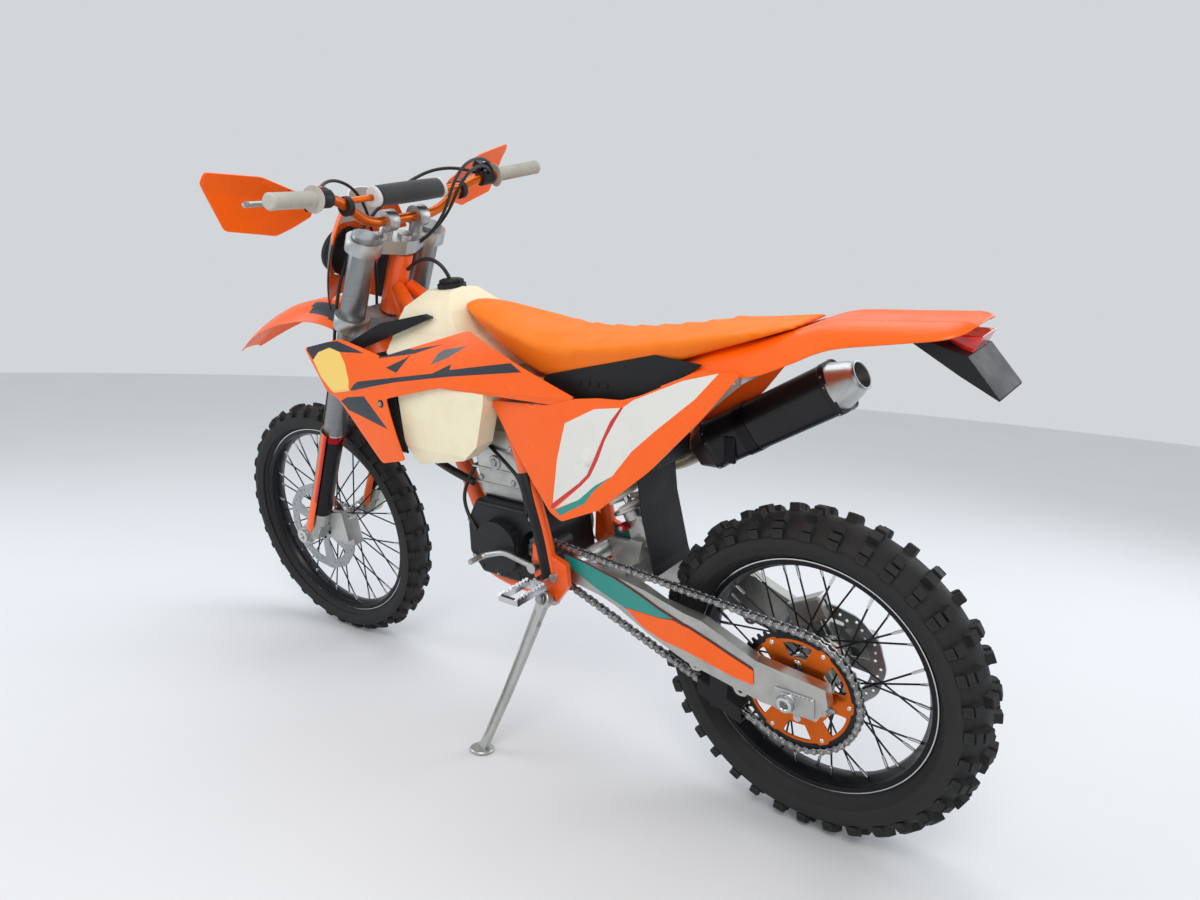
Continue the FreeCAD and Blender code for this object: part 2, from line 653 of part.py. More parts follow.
def toothed_plate(teeth, low, high):
    """A plate round the Y axis with teeth that stand between the chain's rollers."""
    tip = pitch_radius(teeth) - mm.roller_radius - mm.seat_gap
    valley = pitch_radius(teeth) - mm.chain_high / 2 - mm.tooth_deep
    corners = []
    for tooth in range(int(teeth)):
        for number, share in enumerate(TOOTH_SHARES):
            turn = 2 * math.pi * (tooth + share) / teeth
            reach = valley if number in (0, 3) else tip
            corners.append(point(reach * math.cos(turn), low, reach * math.sin(turn)))
    face = Part.Face(Part.makePolygon(corners + corners[:1]))
    return face.extrude(Vector(0, high - low, 0))


def pitch_radius(teeth):
    """The circle on which a chain's pins lie round a sprocket."""
    return mm.chain_pitch / (2 * math.sin(math.pi / teeth))


def make_front_wheel():
    """The steered wheel: tyre, rim, laced hub and disc."""
    knobbed_tyre("front", FRONT_WHEEL)
    turned_body("front_rim", rim_outline("front"), FRONT_WHEEL)
    bore = mm.front_axle_radius + mm.pin_play
    disc_face = mm.front_disc_place - mm.front_disc_wide / 2
    hub = turned(hub_outline(
        bore, mm.front_barrel_radius, mm.front_flange_radius, mm.front_flange_place,
        mm.front_flange_wide, (mm.front_disc_boss, mm.carrier_wide / 2),
        (mm.spacer_radius, mm.carrier_wide / 2), disc_face, mm.front_hub_half))
    spokes = laced_spokes(mm.front_flange_radius, mm.front_flange_place,
                          mm.front_bead_radius - mm.front_well_depth - mm.seat_gap,
                          mm.front_well_half - mm.front_rim_wall)
    feature("front_hub", fused([hub] + spokes), FRONT_WHEEL)
    feature("front_disc", brake_disc(
        mm.front_disc_radius, mm.front_disc_inner, mm.front_disc_boss,
        mm.spacer_radius + mm.moving_gap, mm.front_disc_wide, mm.front_disc_place, 6), FRONT_WHEEL)


def axle_shape(radius, bore, half, spacer_places):
    """A hollow axle with its spacers and a collar at each end."""
    shaft = Part.makeCylinder(radius, 2 * half, Vector(0, -half, 0), ALONG_Y)
    collars = [ring(mm.spacer_radius, radius - mm.shell, low, high) for low, high in spacer_places]
    hollow = Part.makeCylinder(bore, 2 * half, Vector(0, -half, 0), ALONG_Y)
    return fused([shaft] + collars).cut(hollow)


def make_axles():
    """The two hollow axles, each carried in its fork or arm."""
    gap = mm.seat_gap
    arm_face, outside = mm.arm_inner, mm.arm_outer
    hub_left = mm.chain_plane - mm.sprocket_wide / 2
    hub_right = mm.rear_disc_place - mm.rear_disc_wide / 2
    spacers = [(hub_left + gap, arm_face - gap), (-arm_face + gap, -hub_right - gap),
               (outside + gap, mm.rear_axle_half - gap), (-mm.rear_axle_half + gap, -outside - gap)]
    feature("rear_axle", axle_shape(
        mm.rear_axle_radius, mm.rear_axle_bore, mm.rear_axle_half, spacers), REAR_WHEEL)
    lug_face = mm.fork_side - mm.lug_wide / 2
    lug_outside = mm.fork_side + mm.lug_wide / 2
    disc_face = mm.front_disc_place - mm.front_disc_wide / 2
    spacers = [(disc_face + gap, lug_face - gap), (-lug_face + gap, -mm.front_hub_half - gap),
               (lug_outside + gap, mm.front_axle_half - gap)]
    feature("front_axle", axle_shape(
        mm.front_axle_radius, mm.front_axle_bore, mm.front_axle_half, spacers),
        FRONT_WHEEL)


def on_fork(ahead, across, up):
    """A place of the unturned fork's frame, given in the bike's own frame."""
    rake = math.radians(mm.rake_angle)
    return point(mm.wheelbase + mm.trail + ahead * math.cos(rake) - up * math.sin(rake), across,
                 ahead * math.sin(rake) + up * math.cos(rake))


def on_circle(centre, radius, angle):
    """A place on a circle that stands across the bike."""
    return centre + Vector(radius * math.cos(angle), 0, radius * math.sin(angle))


def loop_angles(rear_radius, front_radius, across):
    """The two sprockets' centres and the angles at which a belt leaves them."""
    rear = point(0, across, mm.axle_datum)
    front = point(mm.drive_ahead, across, mm.drive_high)
    span = front - rear
    turn = math.atan2(span.z, span.x)
    open_turn = math.acos((rear_radius - front_radius) / span.Length)
    return rear, front, turn, turn + open_turn, turn - open_turn


def loop_face(rear_radius, front_radius, across):
    """The flat shape of a belt round the two sprockets."""
    rear, front, turn, high, low = loop_angles(rear_radius, front_radius, across)
    at = on_circle
    edges = [
        Part.LineSegment(at(rear, rear_radius, high), at(front, front_radius, high)).toShape(),
        Part.Arc(at(front, front_radius, high), at(front, front_radius, turn),
                 at(front, front_radius, low)).toShape(),
        Part.LineSegment(at(front, front_radius, low), at(rear, rear_radius, low)).toShape(),
        Part.Arc(at(rear, rear_radius, low), at(rear, rear_radius, turn + math.pi),
                 at(rear, rear_radius, high)).toShape(),
    ]
    return Part.Face(Part.Wire(edges))


def make_chain():
    """The chain, one fixed loop of links over both sprockets, its plates beside a roller band."""
    rear, front = pitch_radius(mm.rear_teeth), pitch_radius(mm.drive_teeth)
    half, inner = mm.roller_radius, mm.chain_inner / 2
    low = mm.chain_plane - inner
    across = Vector(0, mm.chain_inner, 0)
    outside = loop_face(rear + half, front + half, low).extrude(across)
    inside = loop_face(rear - half, front - half, low).extrude(across)
    pieces = [outside.cut(inside)]
    wide = (mm.chain_wide - mm.chain_inner) / 2
    for start in (mm.chain_plane - mm.chain_wide / 2, mm.chain_plane + inner):
        faces = []
        for way in BOTH_SIDES:
            corners = link_edge(rear, front, way, start)
            faces.append(Part.Face(Part.makePolygon(corners + corners[:1])))
        pieces.append(faces[0].cut(faces[1]).extrude(Vector(0, wide, 0)))
    feature("chain", pieces[0].fuse(pieces[1:]), CHASSIS)


LINK_SHARES = ((-0.22, 1.0), (0.22, 1.0), (0.5, 0.7))


def link_edge(rear_radius, front_radius, way, across):
    """One edge of the link plates round the loop: full at each pin and waisted between them."""
    rear, front, turn, high, low = loop_angles(rear_radius, front_radius, across)
    run = math.sqrt((front - rear).Length ** 2 - (rear_radius - front_radius) ** 2)
    front_arc = front_radius * (high - low)
    total = 2 * run + front_arc + rear_radius * (2 * math.pi - high + low)
    count = 2 * round(total / mm.chain_pitch / 2)
    corners = []
    for number in range(count):
        for share, full in LINK_SHARES:
            along = total * (number + share) / count % total
            offset = way * full * mm.chain_high / 2
            if along < run:
                start, end = (on_circle(centre, radius + offset, high)
                              for centre, radius in ((rear, rear_radius), (front, front_radius)))
                corners.append(start + (end - start) * (along / run))
            elif along < run + front_arc:
                corners.append(on_circle(front, front_radius + offset,
                                         high - (along - run) / front_radius))
            elif along < 2 * run + front_arc:
                start, end = (on_circle(centre, radius + offset, low)
                              for centre, radius in ((front, front_radius), (rear, rear_radius)))
                corners.append(start + (end - start) * ((along - run - front_arc) / run))
            else:
                corners.append(on_circle(rear, rear_radius + offset,
                                         low - (along - 2 * run - front_arc) / rear_radius))
    return corners


FRAME_TUBE_SHARES = [
    (1.0, 0.16, 1.0), (0.775, 0.48, 0.855), (0.44, 0.74, 0.755), (0.23, 0.82, 0.625),
    (0.1, 0.95, 0.38), (0.02, 1.0, 0.14), (0.0, 1.0, 0.0),
]
CRADLE_SHARES = [
    (1.0, 0.0, 1.0), (0.93, 0.6, 0.1), (0.6, 0.82, -0.03), (0.22, 0.95, 0.0), (0.0, 1.36, 0.1),
]


PIVOT_PLATE_SHARES = [
    (-1.0, 1.0), (1.7, 1.9), (1.9, 0.0), (1.4, -1.8), (0.0, -1.8), (-1.0, -0.5),
]


def frame_tube_points(side):
    """The upper frame tube's route from the steering head down to the pivot plate."""
    top = on_fork(-mm.head_radius, 0, (mm.head_low + mm.head_high) / 2)
    low = point(mm.pivot_ahead + mm.pivot_radius, mm.frame_half, mm.pivot_high)
    return [point(low.x + (top.x - low.x) * along, side * mm.frame_half * out,
                  low.z + (top.z - low.z) * up) for along, out, up in FRAME_TUBE_SHARES]


def cradle_points(side):
    """A cradle rail's route from the down tube, under the engine, to the pivot plate."""
    front_x, rear_x = mm.cradle_front, mm.pivot_ahead + mm.pivot_radius
    return [point(rear_x + (front_x - rear_x) * along, side * mm.cradle_half * out,
                  mm.cradle_low + mm.cradle_rise * up) for along, out, up in CRADLE_SHARES]


DOWN_BACK_SHARE, DOWN_TOP_SHARE, LOW_CROSS_SHARE = 0.45, 2.3, 1.1


def make_frame():
    """The steel frame: head, down tube, split cradle, upper tubes and pivot plates."""
    head = rod(on_fork(0, 0, mm.head_low), on_fork(0, 0, mm.head_high), mm.head_radius)
    down = rod(on_fork(-mm.head_radius * DOWN_BACK_SHARE, 0,
                       mm.head_low + DOWN_TOP_SHARE * mm.down_tube_radius),
               point(mm.cradle_front, 0, mm.cradle_low + mm.cradle_rise), mm.down_tube_radius)
    foot = Part.makeSphere(mm.down_tube_radius,
                           point(mm.cradle_front, 0, mm.cradle_low + mm.cradle_rise))
    pieces = [head, down, foot]
    plate = placed(PIVOT_PLATE_SHARES, (mm.pivot_ahead, mm.pivot_high),
                   (mm.plate_reach, mm.plate_reach))
    for side in BOTH_SIDES:
        pieces.append(tube(frame_tube_points(side), mm.tube_radius))
        pieces.append(tube(cradle_points(side), mm.rail_radius))
        near = side * mm.plate_face
        pieces.append(side_plate(plate, near, near + side * mm.plate_thick))
    low_cross = point(mm.pivot_ahead + LOW_CROSS_SHARE * mm.plate_reach, 0, mm.cradle_low + mm.plate_thick)
    high_cross = frame_tube_points(1)[4]
    for centre in (low_cross, point(high_cross.x, 0, high_cross.z)):
        reach = Vector(0, mm.plate_face, 0)
        pieces.append(rod(centre - reach, centre + reach, mm.rail_radius))
    stem = rod(on_fork(0, 0, mm.head_low - mm.overrun), on_fork(0, 0, mm.head_high + mm.overrun),
               mm.stem_radius + mm.pin_play)
    pivot = rod(point(mm.pivot_ahead, -mm.arm_outer, mm.pivot_high),
                point(mm.pivot_ahead, mm.arm_outer, mm.pivot_high), mm.pivot_pin_radius)
    feature("main_frame", fused(pieces).cut(Part.makeCompound([stem, pivot])), CHASSIS)


RAIL_SHARES = ((0.96, 0.74, 0.84), (0.55, 0.76, 0.86), (0.22, 0.72, 0.95), (0.0, 0.66, 0.96))
STAY_SHARES = ((0.92, 1.0, 0.0), (0.6, 1.0, 0.5), (0.42, 0.84, 0.83))


def subframe_points(side):
    """The seat rail's route and the stay's route, as two lists of places."""
    reach, high = mm.subframe_long, mm.subframe_high
    return [[point(mm.subframe_rear + reach * along, side * mm.subframe_half * out,
                   mm.subframe_low + high * up) for along, out, up in route]
            for route in (RAIL_SHARES, STAY_SHARES)]


def make_subframe():
    """The light rear frame: a seat rail and a stay on each side with cross bars."""
    pieces = []
    for side in BOTH_SIDES:
        rail, stay = subframe_points(side)
        pieces += [tube(rail, mm.subframe_radius), tube(stay, mm.subframe_radius)]
    rail, _ = subframe_points(1)
    for place in (rail[1], rail[3]):
        pieces.append(rod(point(place.x, -place.y, place.z), place, mm.subframe_radius))
    feature("subframe", largest(fused(pieces).cut(drawn("main_frame"))), CHASSIS)


CASE_SHARES = [
    (0.0, 0.22), (0.03, 0.68), (0.2, 1.0), (0.84, 1.0), (0.98, 0.7), (1.0, 0.25), (0.84, 0.0),
    (0.17, 0.0),
]
BARREL_SHARES = [(0.0, 0.0), (0.84, 0.0), (0.9, 0.5), (0.92, 1.0), (0.16, 1.0), (0.08, 0.5)]


def make_engine():
    """The engine: cases with round covers, the output sprocket and the cylinder with its head."""
    outline = placed(CASE_SHARES, (mm.case_rear, mm.case_low), (mm.case_long, mm.case_high))
    cases = softened(side_plate(outline, -mm.case_half, mm.case_half), mm.case_round)
    stator = rod(point(mm.stator_ahead, mm.case_half - mm.overrun, mm.crank_high),
                 point(mm.stator_ahead, mm.case_half + mm.stator_cover_wide, mm.crank_high),
                 mm.stator_cover_radius)
    clutch = rod(point(mm.clutch_ahead, -mm.case_half + mm.overrun, mm.crank_high),
                 point(mm.clutch_ahead, -mm.case_half - mm.clutch_cover_wide, mm.crank_high),
                 mm.clutch_cover_radius)
    root = pitch_radius(mm.drive_teeth) - mm.chain_high / 2 - mm.seat_gap
    reach = mm.chain_plane + mm.chain_wide / 2
    half_wide = mm.sprocket_wide / 2
    teeth = toothed_plate(mm.drive_teeth, mm.chain_plane - half_wide, mm.chain_plane + half_wide)
    teeth.translate(point(mm.drive_ahead, 0, mm.drive_high))
    shaft = rod(point(mm.drive_ahead, 0, mm.drive_high),
                point(mm.drive_ahead, reach, mm.drive_high), root - mm.tooth_deep)
    output = fused([shaft, teeth])
    room = rod(point(mm.drive_ahead, mm.chain_plane - mm.chain_wide, mm.drive_high),
               point(mm.drive_ahead, 2 * mm.case_half, mm.drive_high),
               pitch_radius(mm.drive_teeth) + mm.chain_high + mm.moving_gap)
    reach = Vector(0, mm.plate_face - mm.seat_gap, 0)
    centre = point(mm.mount_ahead, 0, mm.mount_high)
    mount = rod(centre - reach, centre + reach, mm.mount_radius)
    whole = fused([fused([cases, stator, clutch]).cut(room), output, mount])
    feature("crankcase", largest(whole.cut(drawn("main_frame"))), CHASSIS)
    barrel = placed(BARREL_SHARES, (mm.barrel_rear, mm.case_low + mm.case_high + mm.seat_gap),
                    (mm.barrel_long, mm.barrel_high))
    cylinder = side_plate(barrel, -mm.cylinder_half, mm.cylinder_half)
    feature("cylinder", softened(cylinder, mm.case_round), CHASSIS)


def silencer_line():
    """The silencer's rear centre and its direction forward and down."""
    slope = math.radians(mm.silencer_slope)
    rear = point(mm.silencer_rear, -mm.silencer_side, mm.silencer_rear_high)
    return rear, Vector(math.cos(slope), 0, -math.sin(slope))


PORT_SHARE, HEADER_FRONT_SHARE, HEADER_BOW_SHARE = 0.86, 0.6, 1.2
SILENCER_SIDE_SHARES = ((-0.55, 1), (0.55, 1), (1, 0.35), (0.8, -1), (-0.8, -1), (-1, 0.35))
TAPER_START_SHARE, TAPER_END_SHARE, CONE_SHARE, HANGER_SHARE = 0.85, 0.6, 0.8, 0.6


def make_exhaust():
    """The header pipe round the engine's right side and the silencer behind it."""
    rear, ahead = silencer_line()
    front = rear + ahead * (mm.silencer_long + mm.seat_gap)
    port = point(mm.barrel_rear + mm.barrel_long * PORT_SHARE, -mm.port_side, mm.port_high)
    route = [
        front, front + ahead * mm.header_lead,
        point(mm.frame_pass_ahead, -mm.frame_pass_side, mm.frame_pass_high),
        point(mm.barrel_rear, -mm.header_side, mm.header_low),
        point(mm.barrel_rear + mm.barrel_long, -mm.header_side, mm.header_low),
        point(mm.barrel_rear + mm.barrel_long + mm.header_bow, -mm.header_side * HEADER_FRONT_SHARE,
              mm.header_low + mm.header_radius),
        port + Vector(mm.header_bow * HEADER_BOW_SHARE, 0, 0), port,
    ]
    pipe = tube(route, mm.header_radius, mm.header_wall).cut(drawn("cylinder"))
    feature("exhaust_header", largest(pipe), CHASSIS)
    up = Vector(0, 1, 0).cross(ahead)
    half, tall = mm.silencer_wide / 2, mm.silencer_high / 2

    def ring_at(along, share):
        centre = rear + ahead * along
        corners = [centre + Vector(0, -across * half * share, 0) - up * (rise * tall * share)
                   for across, rise in SILENCER_SIDE_SHARES]
        return Part.makePolygon(corners + corners[:1])

    body = Part.makeLoft([ring_at(0, 1), ring_at(mm.silencer_long * TAPER_START_SHARE, 1),
                          ring_at(mm.silencer_long, TAPER_END_SHARE)], True, True)
    cone = Part.makeCone(mm.outlet_radius, tall * CONE_SHARE, mm.outlet_long,
                         rear - ahead * mm.outlet_long, ahead)
    hollow = Part.makeCylinder(mm.outlet_radius - mm.outlet_wall, mm.silencer_long,
                               rear - ahead * (mm.outlet_long + mm.overrun), ahead)
    centre = rear + ahead * (mm.silencer_long * HANGER_SHARE)
    hanger = block(point(centre.x - mm.hanger_long / 2, -mm.hanger_side - mm.plate_thick / 2, centre.z),
                   point(centre.x + mm.hanger_long / 2, -mm.hanger_side + mm.plate_thick / 2,
                         mm.subframe_low + mm.subframe_high))
    shape = fused([body, cone, hanger]).cut([hollow, drawn("subframe")])
    feature("silencer", largest(shape), CHASSIS)


TANK_SIDE_SHARES = [
    (1.0, 0.65), (0.985, 0.8), (0.915, 0.9), (0.78, 0.99), (0.57, 1.0), (0.46, 0.89), (0.355, 0.75),
    (0.08, 0.64), (0.0, 0.575), (0.025, 0.44), (0.125, 0.195), (0.265, 0.095), (0.76, 0.0),
    (0.84, 0.15), (0.855, 0.6),
]
TANK_ACROSS_SHARES = [
    (0.0, 1.0), (0.28, 0.985), (0.52, 0.9), (0.64, 0.76), (0.86, 0.64), (1.0, 0.5), (1.0, 0.12),
    (0.9, -0.02), (0.72, -0.02), (0.67, 0.12), (0.65, 0.6), (0.0, 0.6),
]


CAP_STEP_SHARE, CAP_CROWN_SHARE = 0.6, 0.8


def make_tank():
    """The saddle tank: a raised middle over the frame and a lobe hanging on each side."""
    side = placed(TANK_SIDE_SHARES, (mm.tank_rear, mm.tank_low), (mm.tank_long, mm.tank_high))
    outline = side_plate(side, -mm.lobe_outer, mm.lobe_outer)
    half = [point(mm.tank_rear, mm.lobe_outer * out, mm.tank_low + mm.tank_high * up)
            for out, up in TANK_ACROSS_SHARES]
    other = [Vector(corner.x, -corner.y, corner.z) for corner in reversed(half[1:-1])]
    across = Part.Face(Part.makePolygon(half + other + half[:1]))
    shape = outline.common(across.extrude(Vector(mm.tank_long, 0, 0)))
    room = [tube(frame_tube_points(way), mm.tube_radius + mm.seat_gap) for way in BOTH_SIDES]
    over = shroud_panel(mm.lobe_outer, mm.lobe_outer + mm.shell + mm.seat_gap)
    base = point(mm.cap_ahead, 0, mm.tank_low + mm.tank_high - mm.cap_sink)
    socket = Part.makeCylinder(mm.cap_radius + mm.seat_gap, mm.cap_high, base - Vector(0, 0, mm.seat_gap))
    cutters = room + [over, mirrored(over), socket, drawn("cylinder")]
    feature("fuel_tank", largest(shape.cut(cutters)), CHASSIS)
    neck = cylinder("cap_neck", size.cap_radius, size.cap_sink + size.cap_high * CAP_STEP_SHARE,
                    base, ALONG_Z)
    crown = cylinder("cap_crown", size.cap_radius * CAP_CROWN_SHARE, size.cap_sink + size.cap_high,
                     base, ALONG_Z)
    united("tank_cap", [neck, crown], CHASSIS)


SEAT_SHARES = [
    (1.0, 0.52, 0.88, 0.93, 1.0), (0.9, 0.66, 0.63, 0.8, 0.96), (0.78, 0.88, 0.32, 0.66, 0.82),
    (0.64, 0.98, 0.06, 0.5, 0.7), (0.48, 1.0, 0.2, 0.56, 0.69), (0.3, 0.98, 0.42, 0.7, 0.81),
    (0.1, 0.88, 0.78, 0.88, 0.93), (0.0, 0.6, 0.95, 0.97, 0.995),
]


SEAT_BASE_SHARE = 0.92


def make_seat():
    """The long flat seat, drawn through sections from its nose to its tail."""
    sections = []
    for along, out, low, edge, high in SEAT_SHARES:
        x, half = mm.seat_rear + mm.seat_long * along, mm.seat_half * out
        base, brim, crest = (mm.seat_low + mm.seat_high * up for up in (low, edge, high))
        left, right = point(x, half, brim), point(x, -half, brim)
        sections.append(Part.Wire([
            Part.LineSegment(point(x, -half * SEAT_BASE_SHARE, base),
                             point(x, half * SEAT_BASE_SHARE, base)).toShape(),
            Part.LineSegment(point(x, half * SEAT_BASE_SHARE, base), left).toShape(),
            Part.Arc(left, point(x, 0, crest), right).toShape(),
            Part.LineSegment(right, point(x, -half * SEAT_BASE_SHARE, base)).toShape(),
        ]))
    arch = [filled_arch(centre + Vector(0, 0, mm.seat_gap), ALONG_Z, half, drop)
            for centre, half, drop in rear_fender_places()]
    shape = lofted(sections).cut([lofted(arch), drawn("fuel_tank")])
    feature("seat", largest(shape), CHASSIS)


def shell_section(centre, up, half, drop, bow=1.0):
    """A thin arched section: an outer arc over its centre and an inner one a shell below."""
    wall = up * mm.shell
    out, down = Vector(0, half, 0), up * drop
    thin = Vector(0, mm.shell, 0)
    crest = centre - down * (1 - bow)
    left, right = centre + out - down, centre - out - down
    outer = Part.Arc(left, crest, right)
    inner = Part.Arc(right + thin, crest - wall, left - thin)
    return Part.Wire([
        outer.toShape(), Part.LineSegment(right, right + thin).toShape(),
        inner.toShape(), Part.LineSegment(left - thin, left).toShape(),
    ])


def filled_arch(centre, up, half, drop):
    """The closed area below an arched section's outer arc."""
    out, down = Vector(0, half, 0), up * drop
    left, right = centre + out - down, centre - out - down
    return Part.Wire([Part.Arc(left, centre, right).toShape(),
                      Part.LineSegment(right, left).toShape()])


REAR_FENDER_SHARES = [
    (1.0, 1.0, -0.04, 0.42), (0.85, 1.0, 0.28, 0.42), (0.66, 1.0, 0.52, 0.58),
    (0.53, 0.95, 0.74, 0.5), (0.44, 0.94, 0.9, 0.42), (0.36, 0.93, 0.945, 0.34),
    (0.2, 0.88, 0.97, 0.24), (0.06, 0.8, 1.0, 0.16), (0.0, 0.4, 1.0, 0.04),
]
FRONT_FENDER_SHARES = [
    (0.0, 0.62, 0.86, 0.5), (0.22, 0.86, 1.0, 0.8), (0.42, 1.0, 0.99, 1.0), (0.64, 1.0, 0.75, 0.9),
    (0.84, 0.8, 0.38, 0.6), (1.0, 0.36, 0.0, 0.2),
]


def rear_fender_places():
    """Each section of the rear fender: the top of its arch, its half width and its depth."""
    return [(point(mm.tail_rear + mm.tail_long * along, 0, mm.tail_low + mm.tail_high * up),
             mm.tail_half * out, mm.tail_drop * drop)
            for along, out, up, drop in REAR_FENDER_SHARES]


FENDER_LEAN_SHARE, FOOT_SHARE = 0.9, 0.985


def make_fenders():
    """The long rear fender beneath and behind the seat, and the high front fender."""
    sections = [shell_section(centre, ALONG_Z, half, drop)
                for centre, half, drop in rear_fender_places()]
    shape = lofted(sections).cut([drawn("subframe"), drawn("silencer")])
    feature("rear_fender", largest(shape), CHASSIS)
    sections, places = [], []
    for along, out, up, drop in FRONT_FENDER_SHARES:
        centre = point(mm.beak_rear + mm.beak_long * along, 0, mm.beak_low + mm.beak_high * up)
        lean = point(along * FENDER_LEAN_SHARE, 0, 1)
        lean.normalize()
        places.append((centre, lean, mm.beak_half * out, mm.beak_drop * drop))
        sections.append(shell_section(*places[-1]))
    foot = block(point(-mm.fender_foot_back, -mm.fender_foot_half, mm.beak_low + mm.beak_high * FOOT_SHARE),
                 point(mm.fender_foot_front, mm.fender_foot_half, mm.lower_clamp_low - mm.seat_gap))
    under = [filled_arch(centre - lean * (mm.shell / 2), lean, half, drop)
             for centre, lean, half, drop in places]
    feature("front_fender", fused([lofted(sections), foot.cut(lofted(under))]), STEERED)


def curved_panel(outline, levels, thick):
    """A thin curved panel: its outline in X and Z, cut from a shell drawn through levels."""
    sections = []
    for height, places in levels:
        outer = [point(x, y, height) for x, y in places]
        inner = [point(x, y - thick, height) for x, y in reversed(places)]
        out_curve, in_curve = Part.BSplineCurve(), Part.BSplineCurve()
        out_curve.interpolate(outer)
        in_curve.interpolate(inner)
        sections.append(Part.Wire([
            out_curve.toShape(), Part.LineSegment(outer[-1], inner[0]).toShape(),
            in_curve.toShape(), Part.LineSegment(inner[-1], outer[0]).toShape(),
        ]))
    reach = 2 * max(y for _, places in levels for _, y in places)
    return lofted(sections).common(side_plate(outline, 0, reach))


SHROUD_OUTLINE_SHARES = [
    (0.949, 0.825), (0.885, 0.495), (0.85, 0.45), (0.703, 0.0), (0.596, 0.065), (0.647, 0.5),
    (0.442, 0.623), (0.077, 0.59), (0.0, 0.65), (0.351, 1.0), (0.657, 0.79), (0.812, 0.9),
]
SHROUD_LEVEL_SHARES = [
    (0.0, (0.84, 0.9, 1.0, 1.0, 0.96)), (0.5, (0.74, 0.86, 0.97, 1.04, 1.16)),
    (1.0, (0.7, 0.7, 0.7, 0.9, 1.16)),
]
PANEL_OUTLINE_SHARES = [
    (1.0, 0.665), (0.718, 0.7), (0.597, 0.762), (0.5, 0.785), (0.41, 0.79), (0.337, 0.83),
    (0.13, 0.995), (0.0, 1.0), (0.13, 0.73), (0.314, 0.4), (0.52, 0.1), (0.701, -0.045),
    (0.753, 0.0),
]
PANEL_LEVEL_SHARES = [
    (-0.1, (0.9, 0.96, 1.0, 0.98, 0.96)), (0.5, (0.88, 0.96, 1.0, 0.98, 0.92)),
    (1.1, (0.82, 0.9, 0.94, 0.94, 0.88)),
]


WING_SHARES = ((1.0, 0.0), (0.82, -0.12), (0.0, 0.9), (0.08, 1.0), (0.55, 0.72))


def panel_levels(shares, rear, reach, low, high, half):
    """The places through which a curved panel's shell is drawn, from shares of its sizes."""
    return [(low + high * up,
             [(rear + reach * number / (len(outs) - 1), half * out)
              for number, out in enumerate(outs)]) for up, outs in shares]


def shroud_panel(out, thick):
    """The left shroud's panel, moved out and thickened inwards."""
    outline = placed(SHROUD_OUTLINE_SHARES, (mm.shroud_rear, mm.shroud_low),
                     (mm.shroud_long, mm.shroud_high))
    levels = panel_levels(SHROUD_LEVEL_SHARES, mm.shroud_rear - mm.overrun,
                          mm.shroud_long + 2 * mm.overrun, mm.shroud_low - mm.overrun,
                          mm.shroud_high + 2 * mm.overrun, mm.shroud_half)
    moved = [(height, [(x, y + out) for x, y in places]) for height, places in levels]
    return curved_panel(outline, moved, thick)


SILENCER_ROOM_SHARE = 0.72


def make_side_plastics():
    """Tank shrouds, their wings and the side panels, a left and a right of each."""
    left = shroud_panel(0, mm.shell)
    feature("tank_shrouds", Part.makeCompound([left, mirrored(left)]), CHASSIS)
    outline = placed(PANEL_OUTLINE_SHARES, (mm.panel_rear, mm.panel_low),
                     (mm.panel_long, mm.panel_high))
    levels = panel_levels(PANEL_LEVEL_SHARES, mm.panel_rear - mm.overrun,
                          mm.panel_long + 2 * mm.overrun, mm.panel_low, mm.panel_high,
                          mm.panel_half)
    left = curved_panel(outline, levels, mm.shell)
    rear, ahead = silencer_line()
    room = Part.makeCylinder(mm.silencer_wide * SILENCER_ROOM_SHARE, 3 * mm.silencer_long,
                             rear - ahead * mm.silencer_long, ahead)
    others = [drawn("fuel_tank"), drawn("tank_shrouds")]
    right = largest(mirrored(left).cut([room, drawn("exhaust_header")] + others))
    feature("side_panels", Part.makeCompound([largest(left.cut(others)), right]), CHASSIS)
    wing = placed(WING_SHARES, (mm.wing_rear, mm.wing_low), (mm.wing_long, mm.wing_high))
    front = mm.wing_rear + mm.wing_long
    plan = [point(mm.wing_rear, mm.wing_root, 0), point(mm.wing_rear, mm.wing_back, 0),
            point(front, mm.wing_front, 0), point(front, mm.wing_front - mm.wing_thick, 0)]
    slab = Part.Face(Part.makePolygon(plan + plan[:1])).extrude(point(0, 0, mm.head_low))
    blade = side_plate(wing, 0, mm.lobe_outer + mm.wing_front).common(slab)
    blade = largest(blade.cut([drawn("fuel_tank"), drawn("tank_shrouds")]))
    feature("shroud_wings", Part.makeCompound([blade, mirrored(blade)]), CHASSIS)
    low = point(mm.radiator_ahead, mm.radiator_inner, mm.radiator_low)
    high = point(mm.radiator_ahead + mm.radiator_thick, mm.radiator_outer, mm.radiator_high)
    lug = block(point(low.x, mm.down_tube_radius / 2, mm.lug_low),
                point(high.x, mm.radiator_inner, mm.lug_low + mm.plate_thick))
    core = largest(fused([block(low, high), lug]).cut(drawn("main_frame")))
    feature("radiators", Part.makeCompound([core, mirrored(core)]), CHASSIS)


AIRBOX_SHARES = [(0.0, 1.0), (0.1, 0.0), (0.5, 0.0), (1.0, 0.95)]
FLAP_SHARES = [(1.0, 1.0), (0.9, 0.62), (0.28, 0.08), (0.1, 0.0)]


HOLDER_SHARES, LAMP_SHARES, LAMP_HALF_SHARE = (0.3, 0.62, 0.36), (0.22, 0.32, 0.62), 0.6


